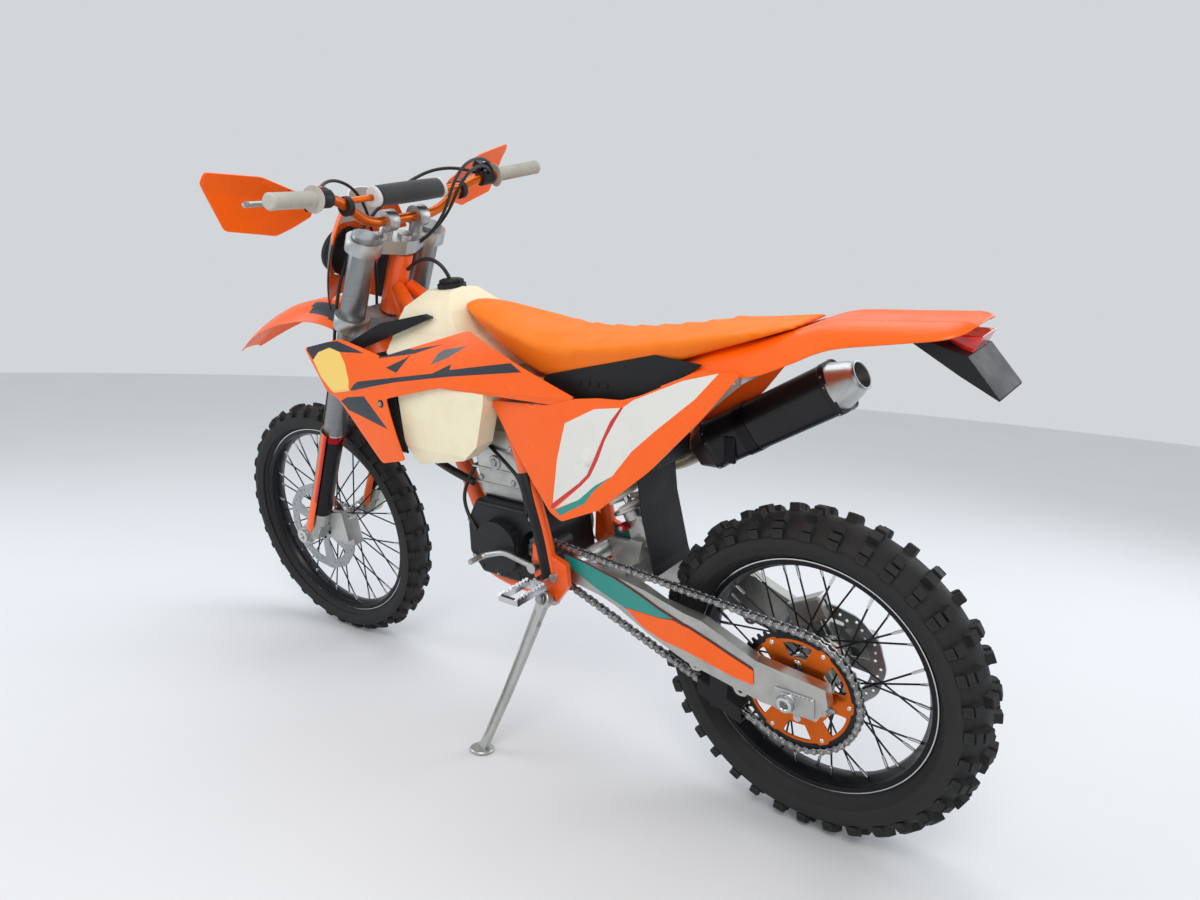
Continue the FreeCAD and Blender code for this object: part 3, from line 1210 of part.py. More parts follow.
def make_black_plastics():
    """The airbox with the inner fender below it, and the plate holder with its lamp."""
    outline = placed(AIRBOX_SHARES, (mm.airbox_rear, mm.airbox_low), (mm.airbox_long, mm.airbox_high))
    airbox = side_plate(outline, -mm.airbox_half, mm.airbox_half)
    flap = placed(FLAP_SHARES, (mm.flap_rear, mm.flap_low), (mm.flap_long, mm.flap_high))
    back = [(x - mm.shell, z) for x, z in reversed(flap)]
    inner = side_plate(flap + back, -mm.flap_half, mm.flap_half)
    feature("airbox", largest(fused([airbox, inner]).cut(drawn("subframe"))), CHASSIS)
    low, long, high = mm.plate_rear, mm.plate_long, mm.plate_high
    bend, rise, under = HOLDER_SHARES
    holder = [(low, mm.plate_low), (low + long * bend, mm.plate_low + high * rise),
              (low + long, mm.plate_low + high), (low + long, mm.plate_low + high - mm.shell),
              (low + long * under, mm.plate_low + high * bend), (low, mm.plate_low - mm.shell)]
    tongue = largest(side_plate(holder, -mm.plate_half, mm.plate_half).cut(drawn("rear_fender")))
    feature("plate_holder", tongue, CHASSIS)
    back, foot, front = LAMP_SHARES
    lamp = [(low + long * foot, mm.plate_low + high * rise - mm.shell),
            (low + long * back, mm.lamp_top), (low + long * front, mm.lamp_top)]
    glow = side_plate(lamp, -mm.plate_half * LAMP_HALF_SHARE, mm.plate_half * LAMP_HALF_SHARE)
    feature("tail_lamp", largest(glow.cut([tongue, drawn("rear_fender")])), CHASSIS)


ARM_SHARES = [
    (-0.13, 0.42), (0.02, 0.5), (0.12, 0.56), (0.33, 1.0), (0.6, 1.18), (0.82, 1.22), (0.98, 1.2),
    (1.03, 1.05), (0.98, 0.84), (0.82, 0.7), (0.58, 0.3), (0.36, 0.05), (0.1, -0.2), (-0.1, -0.22),
    (-0.14, 0.1),
]


ARM_PLAN_SHARES = (-0.15, 0.5, 0.72, 1.05, 1.05, 0.75, 0.4, -0.15)
CROSS_SHARE = 0.8


def make_swingarm():
    """The formed swingarm: two arms, a cross member, a pivot tube and open axle ends."""
    outline = [(mm.pivot_ahead * along, mm.axle_datum + mm.arm_rise * up)
               for along, up in ARM_SHARES]
    sides = (mm.arm_inner, mm.arm_inner, mm.arm_front_inner, mm.arm_front_inner,
             mm.arm_front_outer, mm.arm_front_outer, mm.arm_outer, mm.arm_outer)
    flat = [point(mm.pivot_ahead * along, side, 0) for along, side in zip(ARM_PLAN_SHARES, sides)]
    slab = Part.Face(Part.makePolygon(flat + flat[:1])).extrude(point(0, 0, mm.head_low))
    left = side_plate(outline, 0, mm.arm_outer).common(slab)
    slot_low = point(-mm.arm_slot, 0, mm.axle_datum - mm.rear_axle_radius - mm.pin_play)
    slot_high = point(mm.rear_axle_radius + mm.pin_play, 2 * mm.arm_outer,
                      mm.axle_datum + mm.rear_axle_radius + mm.pin_play)
    left = left.cut(block(slot_low, slot_high))
    cross = block(point(mm.cross_ahead, -mm.arm_front_outer * CROSS_SHARE, mm.cross_low),
                  point(mm.cross_ahead + mm.cross_long, mm.arm_front_outer * CROSS_SHARE, mm.cross_high))
    lug = [(mm.cross_ahead - mm.shock_eye, mm.shock_low_high + mm.shock_eye),
           (mm.cross_ahead + mm.shock_eye, mm.shock_low_high + mm.shock_eye),
           (mm.cross_ahead + mm.cross_long, mm.cross_high - mm.overrun),
           (mm.cross_ahead, mm.cross_high - mm.overrun)]
    ears = [side_plate(lug, side * mm.shock_eye, side * (mm.shock_eye + mm.plate_thick))
            for side in BOTH_SIDES]
    pivot = rod(point(mm.pivot_ahead, -mm.arm_front_outer, mm.pivot_high),
                point(mm.pivot_ahead, mm.arm_front_outer, mm.pivot_high), mm.pivot_radius + mm.shell)
    reach = mm.plate_face + mm.plate_thick + mm.pin_head
    pin = rod(point(mm.pivot_ahead, -reach, mm.pivot_high),
              point(mm.pivot_ahead, reach, mm.pivot_high), mm.pivot_pin_radius - mm.pin_play)
    pieces = [left, mirrored(left), cross, pivot, pin] + ears
    feature("swingarm", fused(pieces).cut(drawn("main_frame")), CHASSIS)


SHOCK_ROD_SHARE = 0.8


def make_shock():
    """The shock absorber from the frame down to the swingarm's ears."""
    low = point(mm.cross_ahead, 0, mm.shock_low_high + mm.shock_eye)
    high = point(mm.shock_top_ahead, 0, mm.shock_top_high)
    along = high - low
    along.normalize()
    spring = rod(low + along * mm.shock_rod, high - along * mm.shock_rod, mm.spring_radius)
    eye = rod(low - Vector(0, mm.shock_eye - mm.seat_gap, 0),
              low + Vector(0, mm.shock_eye - mm.seat_gap, 0), mm.shock_eye)
    shape = fused([rod(low, high, mm.shock_eye * SHOCK_ROD_SHARE), spring, eye])
    feature("shock", largest(shape.cut(drawn("main_frame"))), CHASSIS)


PEG_TEETH = 9


def make_footpegs():
    """The wide footpegs, each a toothed rail round an open middle on its hinge bracket."""
    outer = block(point(mm.peg_ahead - mm.peg_wide / 2, mm.peg_inner, mm.peg_high - mm.peg_tall / 2),
                  point(mm.peg_ahead + mm.peg_wide / 2, mm.peg_outer,
                        mm.peg_high + mm.peg_tall / 2 - mm.peg_tooth))
    opening = block(
        point(mm.peg_ahead - mm.peg_wide / 2 + mm.peg_rail, mm.peg_inner + mm.peg_rail * 2,
              mm.peg_high - mm.peg_tall),
        point(mm.peg_ahead + mm.peg_wide / 2 - mm.peg_rail, mm.peg_outer - mm.peg_rail,
              mm.peg_high + mm.peg_tall))
    face = mm.plate_face + mm.plate_thick
    arm = block(point(mm.peg_ahead - 2 * mm.peg_rail, face + mm.seat_gap,
                      mm.peg_high - mm.peg_tall / 2),
                point(mm.peg_ahead + mm.peg_rail, mm.peg_inner + mm.overrun,
                      mm.peg_high + mm.peg_tall / 2))
    top = mm.peg_high + mm.peg_tall / 2
    step = (mm.peg_outer - mm.peg_inner) / PEG_TEETH
    teeth = []
    for start in (mm.peg_ahead - mm.peg_wide / 2, mm.peg_ahead + mm.peg_wide / 2 - mm.peg_rail):
        for tooth in range(PEG_TEETH):
            near = mm.peg_inner + step * tooth
            corners = [point(start, near, top - mm.peg_tooth), point(start, near + step / 2, top),
                       point(start, near + step, top - mm.peg_tooth),
                       point(start, near + step, top - 2 * mm.peg_tooth),
                       point(start, near, top - 2 * mm.peg_tooth)]
            face = Part.Face(Part.makePolygon(corners + corners[:1]))
            teeth.append(face.extrude(point(mm.peg_rail, 0, 0)))
    peg = largest(fused([outer.cut(opening), arm] + teeth).cut(drawn("main_frame")))
    feature("footpegs", Part.makeCompound([peg, mirrored(peg)]), CHASSIS)


KNEE_SHARE, KNEE_RISE_SHARE, BRAKE_BEND_SHARE, TOE_DROP_SHARE = 0.6, 0.8, 0.55, 0.6


def make_foot_controls():
    """The shift lever on the left and the brake pedal on the right."""
    high = mm.lever_high
    tall = Vector(0, 0, mm.lever_rise)
    face = mm.plate_face + mm.plate_thick + mm.seat_gap
    shaft = point(mm.shift_shaft, face + mm.boss_half, high)
    knee = shaft + point(mm.shift_long * KNEE_SHARE, mm.overrun, 0) + tall * KNEE_RISE_SHARE
    toe = shaft + point(mm.shift_long, mm.lever_radius * 2, 0)
    end = toe + Vector(0, mm.toe_long, 0)
    boss = rod(shaft - Vector(0, mm.boss_half, 0), shaft + Vector(0, mm.boss_half, 0), mm.boss_radius)
    shift = fused([boss, tube([shaft, knee, toe, end], mm.lever_radius, 0, TIGHT_SHARE)])
    side = -mm.brake_side
    hinge = point(mm.brake_pivot, side, mm.brake_low)
    bend = point(mm.brake_pivot + mm.brake_long * BRAKE_BEND_SHARE, side - mm.overrun, mm.brake_low)
    tip = point(mm.brake_pivot + mm.brake_long, side - mm.overrun, mm.brake_low) + tall
    last = tip - Vector(0, mm.toe_long * TOE_DROP_SHARE, 0)
    boss = rod(point(hinge.x, -face, hinge.z),
               hinge - Vector(0, mm.boss_half / 2, 0), mm.boss_radius)
    brake = fused([boss, tube([hinge, bend, tip, last], mm.lever_radius, 0, TIGHT_SHARE)])
    feature("foot_controls", Part.makeCompound([shift, brake]), CHASSIS)


GUIDE_START_SHARE, GUIDE_END_SHARE = 0.3, 0.7


def make_chain_guide():
    """The guide round the lower chain run, hung from the left arm."""
    start, end = mm.guide_rear, mm.guide_rear + mm.guide_long
    rear, front = pitch_radius(mm.rear_teeth), pitch_radius(mm.drive_teeth)
    back, ahead, _, _, low = loop_angles(rear, front, mm.chain_plane)
    first, last = on_circle(back, rear, low), on_circle(ahead, front, low)
    slope = (last.z - first.z) / (last.x - first.x)
    tall = mm.chain_high / 2 + mm.moving_gap

    def band(begin, finish, reach):
        rises = [first.z + slope * (x - first.x) for x in (begin, finish)]
        return [(begin, rises[0] - reach), (finish, rises[1] - reach),
                (finish, rises[1] + reach), (begin, rises[0] + reach)]

    wide = mm.chain_wide / 2 + mm.moving_gap
    shell = side_plate(band(start, end, tall + mm.guide_wall), mm.chain_plane - wide - mm.guide_wall,
                       mm.chain_plane + wide + mm.guide_wall)
    way = side_plate(band(start - mm.guide_long, end + mm.guide_long, tall),
                     mm.chain_plane - wide, mm.chain_plane + wide)
    base = first.z + slope * (start - first.x)
    hanger = block(point(start + mm.guide_long * GUIDE_START_SHARE, mm.chain_plane + wide, base),
                   point(start + mm.guide_long * GUIDE_END_SHARE, mm.chain_plane + wide + mm.guide_wall,
                         mm.guide_top))
    feature("chain_guide", fused([shell, hanger]).cut([way, drawn("swingarm")]), CHASSIS)


def make_frame_guards():
    """The black guards over the lower outside of the upper frame tubes."""
    guards = []
    for side in BOTH_SIDES:
        route = frame_tube_points(side)[4:]
        ahead = Vector(mm.guard_ahead, side * mm.guard_out, 0)
        moved = [place + ahead for place in route]
        guards.append(tube(moved, mm.guard_radius))
        room = [drawn("main_frame"), drawn("foot_controls"), drawn("footpegs"), drawn("swingarm")]
        guards[-1] = largest(guards[-1].cut(room))
    feature("frame_guards", Part.makeCompound(guards), CHASSIS)


def caliper(disc_radius, wide, bracket):
    """A brake caliper that straddles a disc's edge ahead of the axle, with its bracket plate."""
    body = block(point(disc_radius - mm.pad_deep, -mm.caliper_half, -mm.caliper_long / 2),
                 point(disc_radius + mm.caliper_rise, mm.caliper_half, mm.caliper_long / 2))
    slot = block(point(0, -wide / 2 - mm.pad_gap, -mm.caliper_long),
                 point(disc_radius + mm.pad_gap, wide / 2 + mm.pad_gap, mm.caliper_long))
    return fused([softened(body, mm.caliper_round).cut(slot), bracket])


CALIPER_PLATE_SHARE = 1.4


def make_calipers():
    """The two calipers, each over the edge of its disc."""
    deep = mm.rear_disc_radius - mm.pad_deep
    inner, outer = -mm.caliper_half, -mm.arm_inner + mm.rear_disc_place + mm.seat_gap
    eye_radius = mm.spacer_radius + mm.plate_thick
    eye = ring(eye_radius, mm.spacer_radius + mm.pin_play, outer, inner)
    arm = block(point(mm.spacer_radius + mm.plate_thick / 2, outer, -mm.plate_thick),
                point(deep + mm.pad_deep / 2, inner + mm.caliper_round, mm.plate_thick))
    about = Place(point(0, -mm.rear_disc_place, 0), Rotation(ALONG_Y, -mm.rear_caliper_turn))
    feature("rear_caliper", caliper(mm.rear_disc_radius, mm.rear_disc_wide, fused([eye, arm])),
            REAR_WHEEL * about)
    reach = mm.fork_side - mm.slider_radius - mm.front_disc_place + mm.plate_thick
    plate = block(point(mm.front_disc_radius - CALIPER_PLATE_SHARE * mm.pad_deep,
                        mm.caliper_half - mm.caliper_round,
                        -mm.front_bracket_long),
                  point(mm.front_disc_radius + mm.caliper_rise, reach, mm.caliper_long / 4))
    about = Place(point(mm.axle_ahead, mm.front_disc_place, AXLE_UP),
                  Rotation(ALONG_Y, -mm.front_caliper_turn))
    slider = drawn("fork_sliders")
    slider.Placement = about.inverse()
    guards = drawn("fork_guards")
    guards.Placement = about.inverse()
    shape = caliper(mm.front_disc_radius, mm.front_disc_wide, plate).cut([slider, guards])
    feature("front_caliper", largest(shape), STEERED * about)


FORK_NECK_SHARE, NECK_BACK_SHARE, GUARD_FOOT_SHARE, CLAMP_BACK_SHARE = 2.6, 0.8, 1.7, 0.4


def make_fork():
    """The upside-down fork: clamps, outer tubes, sliders with axle lugs, and guards."""
    gap = mm.seat_gap
    axis = {}
    for side in BOTH_SIDES:
        axis[side] = (point(mm.fork_ahead, side * mm.fork_side, 0))
    outers, sliders, guards = [], [], []
    for side in BOTH_SIDES:
        base = axis[side]
        upper = Part.makeCylinder(mm.upper_tube_radius, mm.fork_top - mm.lower_clamp_low,
                                  base + Vector(0, 0, mm.lower_clamp_low))
        lower = Part.makeCylinder(mm.outer_tube_radius, mm.fork_top - mm.outer_tube_low,
                                  base + Vector(0, 0, mm.outer_tube_low))
        outers.append(fused([upper, lower]))
        slider = Part.makeCylinder(mm.slider_radius, mm.outer_tube_low - gap - AXLE_UP - mm.lug_radius,
                                   base + Vector(0, 0, AXLE_UP + mm.lug_radius))
        near, far = mm.fork_side - mm.lug_wide / 2, mm.fork_side + mm.lug_wide / 2
        low_y, high_y = sorted((side * near, side * far))
        eye = Part.makeCylinder(mm.lug_radius, high_y - low_y, point(mm.axle_ahead, low_y, AXLE_UP),
                                ALONG_Y)
        neck = side_plate(
            [(mm.fork_ahead - mm.slider_radius, AXLE_UP + FORK_NECK_SHARE * mm.lug_radius),
             (mm.fork_ahead + mm.slider_radius, AXLE_UP + FORK_NECK_SHARE * mm.lug_radius),
             (mm.axle_ahead + mm.lug_radius, AXLE_UP), (mm.axle_ahead, AXLE_UP - mm.lug_radius),
             (mm.fork_ahead - mm.slider_radius * NECK_BACK_SHARE, AXLE_UP + mm.lug_radius * NECK_BACK_SHARE)],
            low_y + mm.overrun, high_y - mm.overrun)
        hole = Part.makeCylinder(mm.front_axle_radius + mm.pin_play, 2 * mm.lug_wide,
                                 point(mm.axle_ahead, low_y - mm.lug_wide / 2, AXLE_UP), ALONG_Y)
        sliders.append(fused([slider, eye, neck]).cut(hole))
        shell_low = AXLE_UP + GUARD_FOOT_SHARE * mm.lug_radius
        tall = mm.outer_tube_low - shell_low - mm.overrun
        outside = Part.makeCylinder(mm.guard_shell_radius, tall, base + Vector(0, 0, shell_low))
        inside = Part.makeCylinder(mm.slider_radius + mm.overrun, tall,
                                   base + Vector(0, 0, shell_low))
        back = block(point(mm.fork_ahead - 2 * mm.guard_shell_radius,
                           -mm.head_low, shell_low - mm.overrun),
                     point(mm.fork_ahead - mm.slider_radius / 2, mm.head_low, shell_low + 2 * tall))
        guards.append(largest(outside.cut([inside, back, sliders[-1]])))
    feature("fork_outer_tubes", Part.makeCompound(outers), STEERED)
    feature("fork_sliders", Part.makeCompound(sliders), STEERED)
    feature("fork_guards", Part.makeCompound(guards), STEERED)
    stem = Part.makeCylinder(mm.stem_radius, mm.fork_top - mm.lower_clamp_low,
                             point(0, 0, mm.lower_clamp_low))
    pieces = [stem]
    for low, high in ((mm.lower_clamp_low, mm.lower_clamp_high), (mm.upper_clamp_low, mm.upper_clamp_high)):
        tall = high - low
        for side in BOTH_SIDES:
            pieces.append(Part.makeCylinder(mm.upper_tube_radius + mm.clamp_wall, tall,
                                            axis[side] + Vector(0, 0, low)))
        plate = [(-mm.clamp_back, mm.clamp_waist * CLAMP_BACK_SHARE),
                 (mm.fork_ahead - mm.clamp_wall, mm.fork_side),
                 (mm.fork_ahead + mm.upper_tube_radius, mm.fork_side),
                 (mm.clamp_front, mm.clamp_waist)]
        outline = [point(x, y, low) for x, y in plate + [(x, -y) for x, y in reversed(plate)]]
        pieces.append(Part.Face(Part.makePolygon(outline + outline[:1])).extrude(Vector(0, 0, tall)))
    for side in BOTH_SIDES:
        riser = Part.makeCylinder(mm.riser_radius, mm.bar_rise - mm.upper_clamp_high,
                                  point(mm.bar_ahead, side * mm.riser_side, mm.upper_clamp_high))
        cap = Part.makeCylinder(mm.bar_radius + mm.clamp_wall, mm.riser_wide,
                                point(mm.bar_ahead, side * mm.riser_side - mm.riser_wide / 2,
                                      mm.bar_rise), ALONG_Y)
        pieces += [riser, cap]
    bores = [Part.makeCylinder(mm.upper_tube_radius + mm.pin_play, mm.fork_top,
                               axis[side] + Vector(0, 0, mm.outer_tube_low)) for side in BOTH_SIDES]
    bores.append(Part.makeCylinder(mm.bar_radius - mm.bar_taper + mm.pin_play, 4 * mm.riser_side,
                                   point(mm.bar_ahead, -2 * mm.riser_side, mm.bar_rise), ALONG_Y))
    feature("triple_clamps", fused(pieces).cut(Part.makeCompound(bores)), STEERED)


BAR_RISE_SHARE = 0.68


def bar_points():
    """The handlebar's route from its left end to its right end."""
    left = [point(mm.bar_ahead - mm.bar_sweep, mm.bar_half, mm.bar_rise + mm.bar_height),
            point(mm.bar_ahead, mm.bar_bend_out, mm.bar_rise + mm.bar_height * BAR_RISE_SHARE),
            point(mm.bar_ahead, mm.bar_bend_in, mm.bar_rise)]
    return left + [Vector(place.x, -place.y, place.z) for place in reversed(left)]


def bar_frame(side):
    """A grip's end, and the direction from it towards the bar's bend."""
    end, bend = bar_points()[:2]
    end, bend = Vector(end.x, side * end.y, end.z), Vector(bend.x, side * bend.y, bend.z)
    inward = bend - end
    inward.normalize()
    return end, inward


def bar_room():
    """The bar's own bent form with the play of a clamp round it."""
    return tube(bar_points(), mm.bar_radius - mm.bar_taper + mm.pin_play, 0, TIGHT_SHARE)


BRACE_SHARE, LEVER_ARM_SHARE, LEVER_TIP_SHARE = 0.88, 0.2, 0.1


def make_handlebar():
    """The bar with its crossbar and pad, grips, levers, controls and hand guards."""
    bar = tube(bar_points(), mm.bar_radius - mm.bar_taper, 0, TIGHT_SHARE)
    brace = rod(point(mm.bar_ahead, -mm.bar_bend_out * BRACE_SHARE, mm.brace_rise),
                point(mm.bar_ahead, mm.bar_bend_out * BRACE_SHARE, mm.brace_rise), mm.brace_radius)
    feature("handlebar", fused([bar, brace]), STEERED)
    start = point(mm.bar_ahead, -mm.pad_half, mm.brace_rise)
    pad = cylinder("pad_roll", size.pad_radius, size.pad_half * 2, start, ALONG_Y)
    hole = cylinder("pad_hole", size.brace_radius + size.seat_gap, size.pad_half * 2, start, ALONG_Y)
    hollowed("bar_pad", pad, hole, STEERED)
    grips, levers, controls, guards = [], [], [], []
    radius = mm.bar_radius - mm.bar_taper
    for side in BOTH_SIDES:
        end, inward = bar_frame(side)
        long = mm.grip_long
        grip = rod(end - inward * mm.overrun, end + inward * long, mm.grip_radius)
        flange = rod(end + inward * (long - mm.shell), end + inward * long, mm.grip_flange)
        core = rod(end, end + inward * long * 2, radius + mm.pin_play)
        grips.append(fused([grip, flange]).cut(core))
        perch = end + inward * (long + mm.perch_gap)
        clamp = rod(perch, perch + inward * mm.perch_long, mm.perch_radius)
        core = bar_room()
        controls.append(clamp.cut(core))
        ahead = Vector(mm.lever_ahead, 0, -mm.lever_drop)
        pivot = perch + inward * mm.perch_long / 2 + ahead
        tip = end + ahead + inward * mm.lever_short
        arm = rod(perch + inward * mm.perch_long / 2 + ahead * LEVER_ARM_SHARE, pivot, mm.lever_radius)
        route = [pivot + inward * mm.lever_radius,
                 pivot - inward * mm.lever_radius * 3 + ahead * LEVER_ARM_SHARE,
                 tip + ahead * LEVER_TIP_SHARE, tip]
        levers.append(fused([tube(route, mm.lever_radius, 0, TIGHT_SHARE), arm]).cut([clamp, core]))
        guards.append(hand_guard(side))
    feature("grips", Part.makeCompound(grips), STEERED)
    feature("bar_controls", Part.makeCompound(controls), STEERED)
    feature("levers", Part.makeCompound(levers), STEERED)
    feature("hand_guards", Part.makeCompound(guards), STEERED)


HAND_GUARD_SHARES = [
    (0.0, 0.25, 0.5, 0.0), (0.4, 0.05, 0.93, 0.55), (0.72, 0.12, 1.0, 0.8), (1.0, 0.76, 1.0, 1.0),
]


GUARD_BOW_SHARE, STAY_AHEAD_SHARE, STAY_UP_SHARE = 0.25, 0.1, 0.4


def hand_guard(side):
    """An open hand guard, drawn through upright sections from inside to outside."""
    sections = []
    for out, low, high, ahead in HAND_GUARD_SHARES:
        y = side * (mm.shield_inner + mm.shield_long * out)
        x = mm.shield_ahead + mm.shield_bow * ahead
        base, top = (mm.shield_low + mm.shield_high * up for up in (low, high))
        middle = (base + top) / 2
        bow = mm.shield_bow * GUARD_BOW_SHARE
        front = Part.Arc(point(x, y, base), point(x + bow, y, middle), point(x, y, top))
        back = Part.Arc(point(x - mm.shell, y, top), point(x + bow - mm.shell, y, middle),
                        point(x - mm.shell, y, base))
        sections.append(Part.Wire([
            front.toShape(), Part.LineSegment(point(x, y, top), point(x - mm.shell, y, top)).toShape(),
            back.toShape(),
            Part.LineSegment(point(x - mm.shell, y, base), point(x, y, base)).toShape()]))
    shield = lofted(sections)
    stay = rod(point(mm.bar_ahead, side * mm.stay_side, mm.stay_up),
               point(mm.shield_ahead + mm.shield_bow * STAY_AHEAD_SHARE,
                     side * (mm.shield_inner + mm.stay_radius),
                     mm.shield_low + mm.shield_high * STAY_UP_SHARE), mm.stay_radius)
    clamp = Part.makeCylinder(mm.bar_radius + mm.clamp_wall, mm.stay_radius * 2,
                              point(mm.bar_ahead, side * mm.stay_side - mm.stay_radius, mm.stay_up),
                              ALONG_Y)
    return largest(fused([shield, stay, clamp]).cut([bar_room(), drawn("handlebar")]))


MASK_SHARES = [(0.0, 0.68, 0.7), (0.35, 0.95, 0.9), (0.6, 1.0, 1.0), (1.0, 0.55, 0.6)]


MASK_BULGE_SHARE, MASK_MIDDLE_SHARE, LAMP_UP_SHARE, STRAP_SHARE = 0.3, 0.5, 0.4, 0.8


def make_headlight_mask():
    """The number mask wrapped round the fork's front, with its lamp."""
    sections = []
    for up, out, deep in MASK_SHARES:
        centre = point(mm.mask_ahead - mm.mask_bow * MASK_BULGE_SHARE * abs(up - MASK_MIDDLE_SHARE), 0,
                       mm.mask_low + mm.mask_high * up)
        sections.append(shell_section(centre, ALONG_X, mm.mask_half * out, mm.mask_bow * deep))
    lamp_up = mm.mask_low + mm.mask_high * LAMP_UP_SHARE
    back = point(mm.mask_ahead + mm.lamp_proud - mm.lamp_deep, 0, lamp_up)
    lamp = cylinder("lamp_body", size.lamp_radius, size.lamp_deep, back, ALONG_X)
    keep("headlamp", lamp, STEERED * lamp.Placement)
    opening = Part.makeCylinder(mm.lamp_radius + mm.seat_gap, 2 * mm.lamp_deep,
                                back - Vector(mm.lamp_deep / 2, 0, 0), ALONG_X)
    straps = []
    for side in BOTH_SIDES:
        near, far = sorted((side * mm.strap_inner, side * mm.strap_outer))
        straps.append(block(point(mm.fork_ahead, near, lamp_up),
                            point(mm.mask_ahead - mm.mask_bow * STRAP_SHARE, far, lamp_up + mm.plate_thick)))
    shell = lofted(sections)
    shape = fused([shell] + straps).cut([opening, drawn("fork_outer_tubes")])
    feature("headlight_mask", largest(shape), STEERED)


HOSE_ROUTE = [
    (25, -252, 1403), (78, -188, 1416), (94, -40, 1356), (84, 86, 1236), (84, 100, 1080),
    (61, 103, 960), (61, 102, 756),
]
CLUTCH_ROUTE = [(25, 252, 1403), (78, 190, 1416), (92, 70, 1366), (76, 10, 1240), (48, 0, 1078)]
THROTTLE_ROUTES = [
    [(-10, -246, 1424), (-40, -182, 1466), (-64, -84, 1458), (-60, -56, 1336), (-8, -54, 1270)],
    [(-2, -262, 1424), (-30, -192, 1480), (-56, -66, 1474), (-66, -40, 1332), (-14, -38, 1270)],
]
VENT_ROUTE = [(895, 0, 1050), (900, 12, 1094), (966, 20, 1112), (1040, 0, 1078)]


def cord(route, radius, ends):
    """A cable or hose along its route, cut off where the pieces that hold it begin."""
    points = [point(x, y, z) for x, y, z in route]
    return largest(tube(points, radius).cut(ends))


def make_cords():
    """The brake and clutch hoses, the throttle cables and the tank's vent hose."""
    held = [drawn(name) for name in ("bar_controls", "triple_clamps", "fork_guards",
                                     "fork_outer_tubes", "handlebar", "hand_guards", "levers")]
    shapes = [cord(HOSE_ROUTE, mm.hose_radius, held), cord(CLUTCH_ROUTE, mm.hose_radius, held)]
    shapes += [cord(route, mm.cable_radius, held) for route in THROTTLE_ROUTES]
    feature("control_cables", Part.makeCompound(shapes), STEERED)
    feature("vent_hose", cord(VENT_ROUTE, mm.vent_radius, [drawn("main_frame"), drawn("tank_cap")]),
            CHASSIS)


def stand_places():
    """The stand's pivot and foot in the bike's frame, and its hinge's direction."""
    pivot = point(mm.stand_ahead, mm.stand_side, mm.stand_high)
    world_foot = point(mm.stand_foot_ahead - mm.shift_ahead, mm.stand_foot_side - mm.shift_left, 0)
    foot = CHASSIS.inverse().multVec(world_foot)
    down = foot - pivot
    up_way = point(-1, mm.stand_tuck_share, 0)
    hinge = down.cross(up_way)
    hinge.normalize()
    return pivot, foot, hinge


STAND_LEG_SHARE, STAND_SOLE_SHARE = 0.6, 0.2


def make_side_stand():
    """The forged side stand: pivot ears, a ribbed leg and a foot that lies flat on the floor."""
    pivot, foot, hinge = stand_places()
    along = foot - pivot
    along.normalize()
    floor_up = CHASSIS.inverse().Rotation.multVec(ALONG_Z)
    eye = rod(pivot - hinge * mm.stand_eye_half, pivot + hinge * mm.stand_eye_half, mm.stand_eye)
    leg = rod(pivot + along * mm.stand_eye * STAND_LEG_SHARE,
              foot - along * mm.stand_foot_thick * STAND_SOLE_SHARE,
              mm.stand_radius)
    sole = Part.makeCylinder(mm.stand_foot_radius, mm.stand_foot_thick, foot, floor_up)
    below = Part.makeCylinder(4 * mm.stand_foot_radius, mm.stand_foot_radius,
                              foot - floor_up * mm.stand_foot_radius, floor_up)
    pin = rod(pivot - hinge * mm.stand_eye, pivot + hinge * mm.stand_eye,
              mm.stand_pin_radius + mm.pin_play)
    feature("side_stand", fused([eye, leg, sole]).cut(Part.makeCompound([below, pin])), CHASSIS)
    bolt = rod(pivot - hinge * mm.stand_pin_reach, pivot + hinge * (mm.stand_eye_half + mm.shell),
               mm.stand_pin_radius)
    boss = rod(pivot - hinge * mm.stand_pin_reach, pivot - hinge * (mm.stand_eye_half + mm.shell / 2),
               mm.stand_pin_radius + mm.shell)
    feature("stand_bracket", largest(fused([bolt, boss]).cut(drawn("main_frame"))), CHASSIS)


def write_parts():
    """Checks every object and writes each sub-part to its own file."""
    document.recompute()
    for item in document.Objects:
        if {"Invalid", "Error"} & set(item.State):
            raise RuntimeError(f"{item.Label} failed: {item.State}")
    os.makedirs("parts", exist_ok=True)
    for name, item in sub_parts.items():
        if item.Shape.isNull() or not item.Shape.isValid():
            raise RuntimeError(f"{name} has no valid shape")
    for name, item in sub_parts.items():
        item.Shape.exportStep(f"parts/{name}.step")
        print(name, len(item.Shape.Solids), round(item.Shape.Volume))


make_rear_wheel()
make_front_wheel()
make_axles()
make_frame()
make_chain()
make_subframe()
make_engine()
make_exhaust()
make_tank()
make_fenders()
make_seat()
make_side_plastics()
make_black_plastics()
make_swingarm()
make_shock()
make_footpegs()
make_foot_controls()
make_chain_guide()
make_frame_guards()
make_fork()
make_calipers()
make_handlebar()
make_headlight_mask()
make_cords()
make_side_stand()
write_parts()
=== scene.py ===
"""Enduro dirt bike leaning on its side stand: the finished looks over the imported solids.

Every piece is drawn in millimetres in one of five frames (the bike, its fork, its two wheels, and
the floor for its stand) and is carried into the row's frame, in metres, by that frame's matrix.
"""
import json
import logging
import math
from dataclasses import dataclass, field
from enum import Enum
from typing import Callable, Iterable, Optional, Sequence

import bmesh
import bpy
import numpy as np
from mathutils import Matrix, Vector


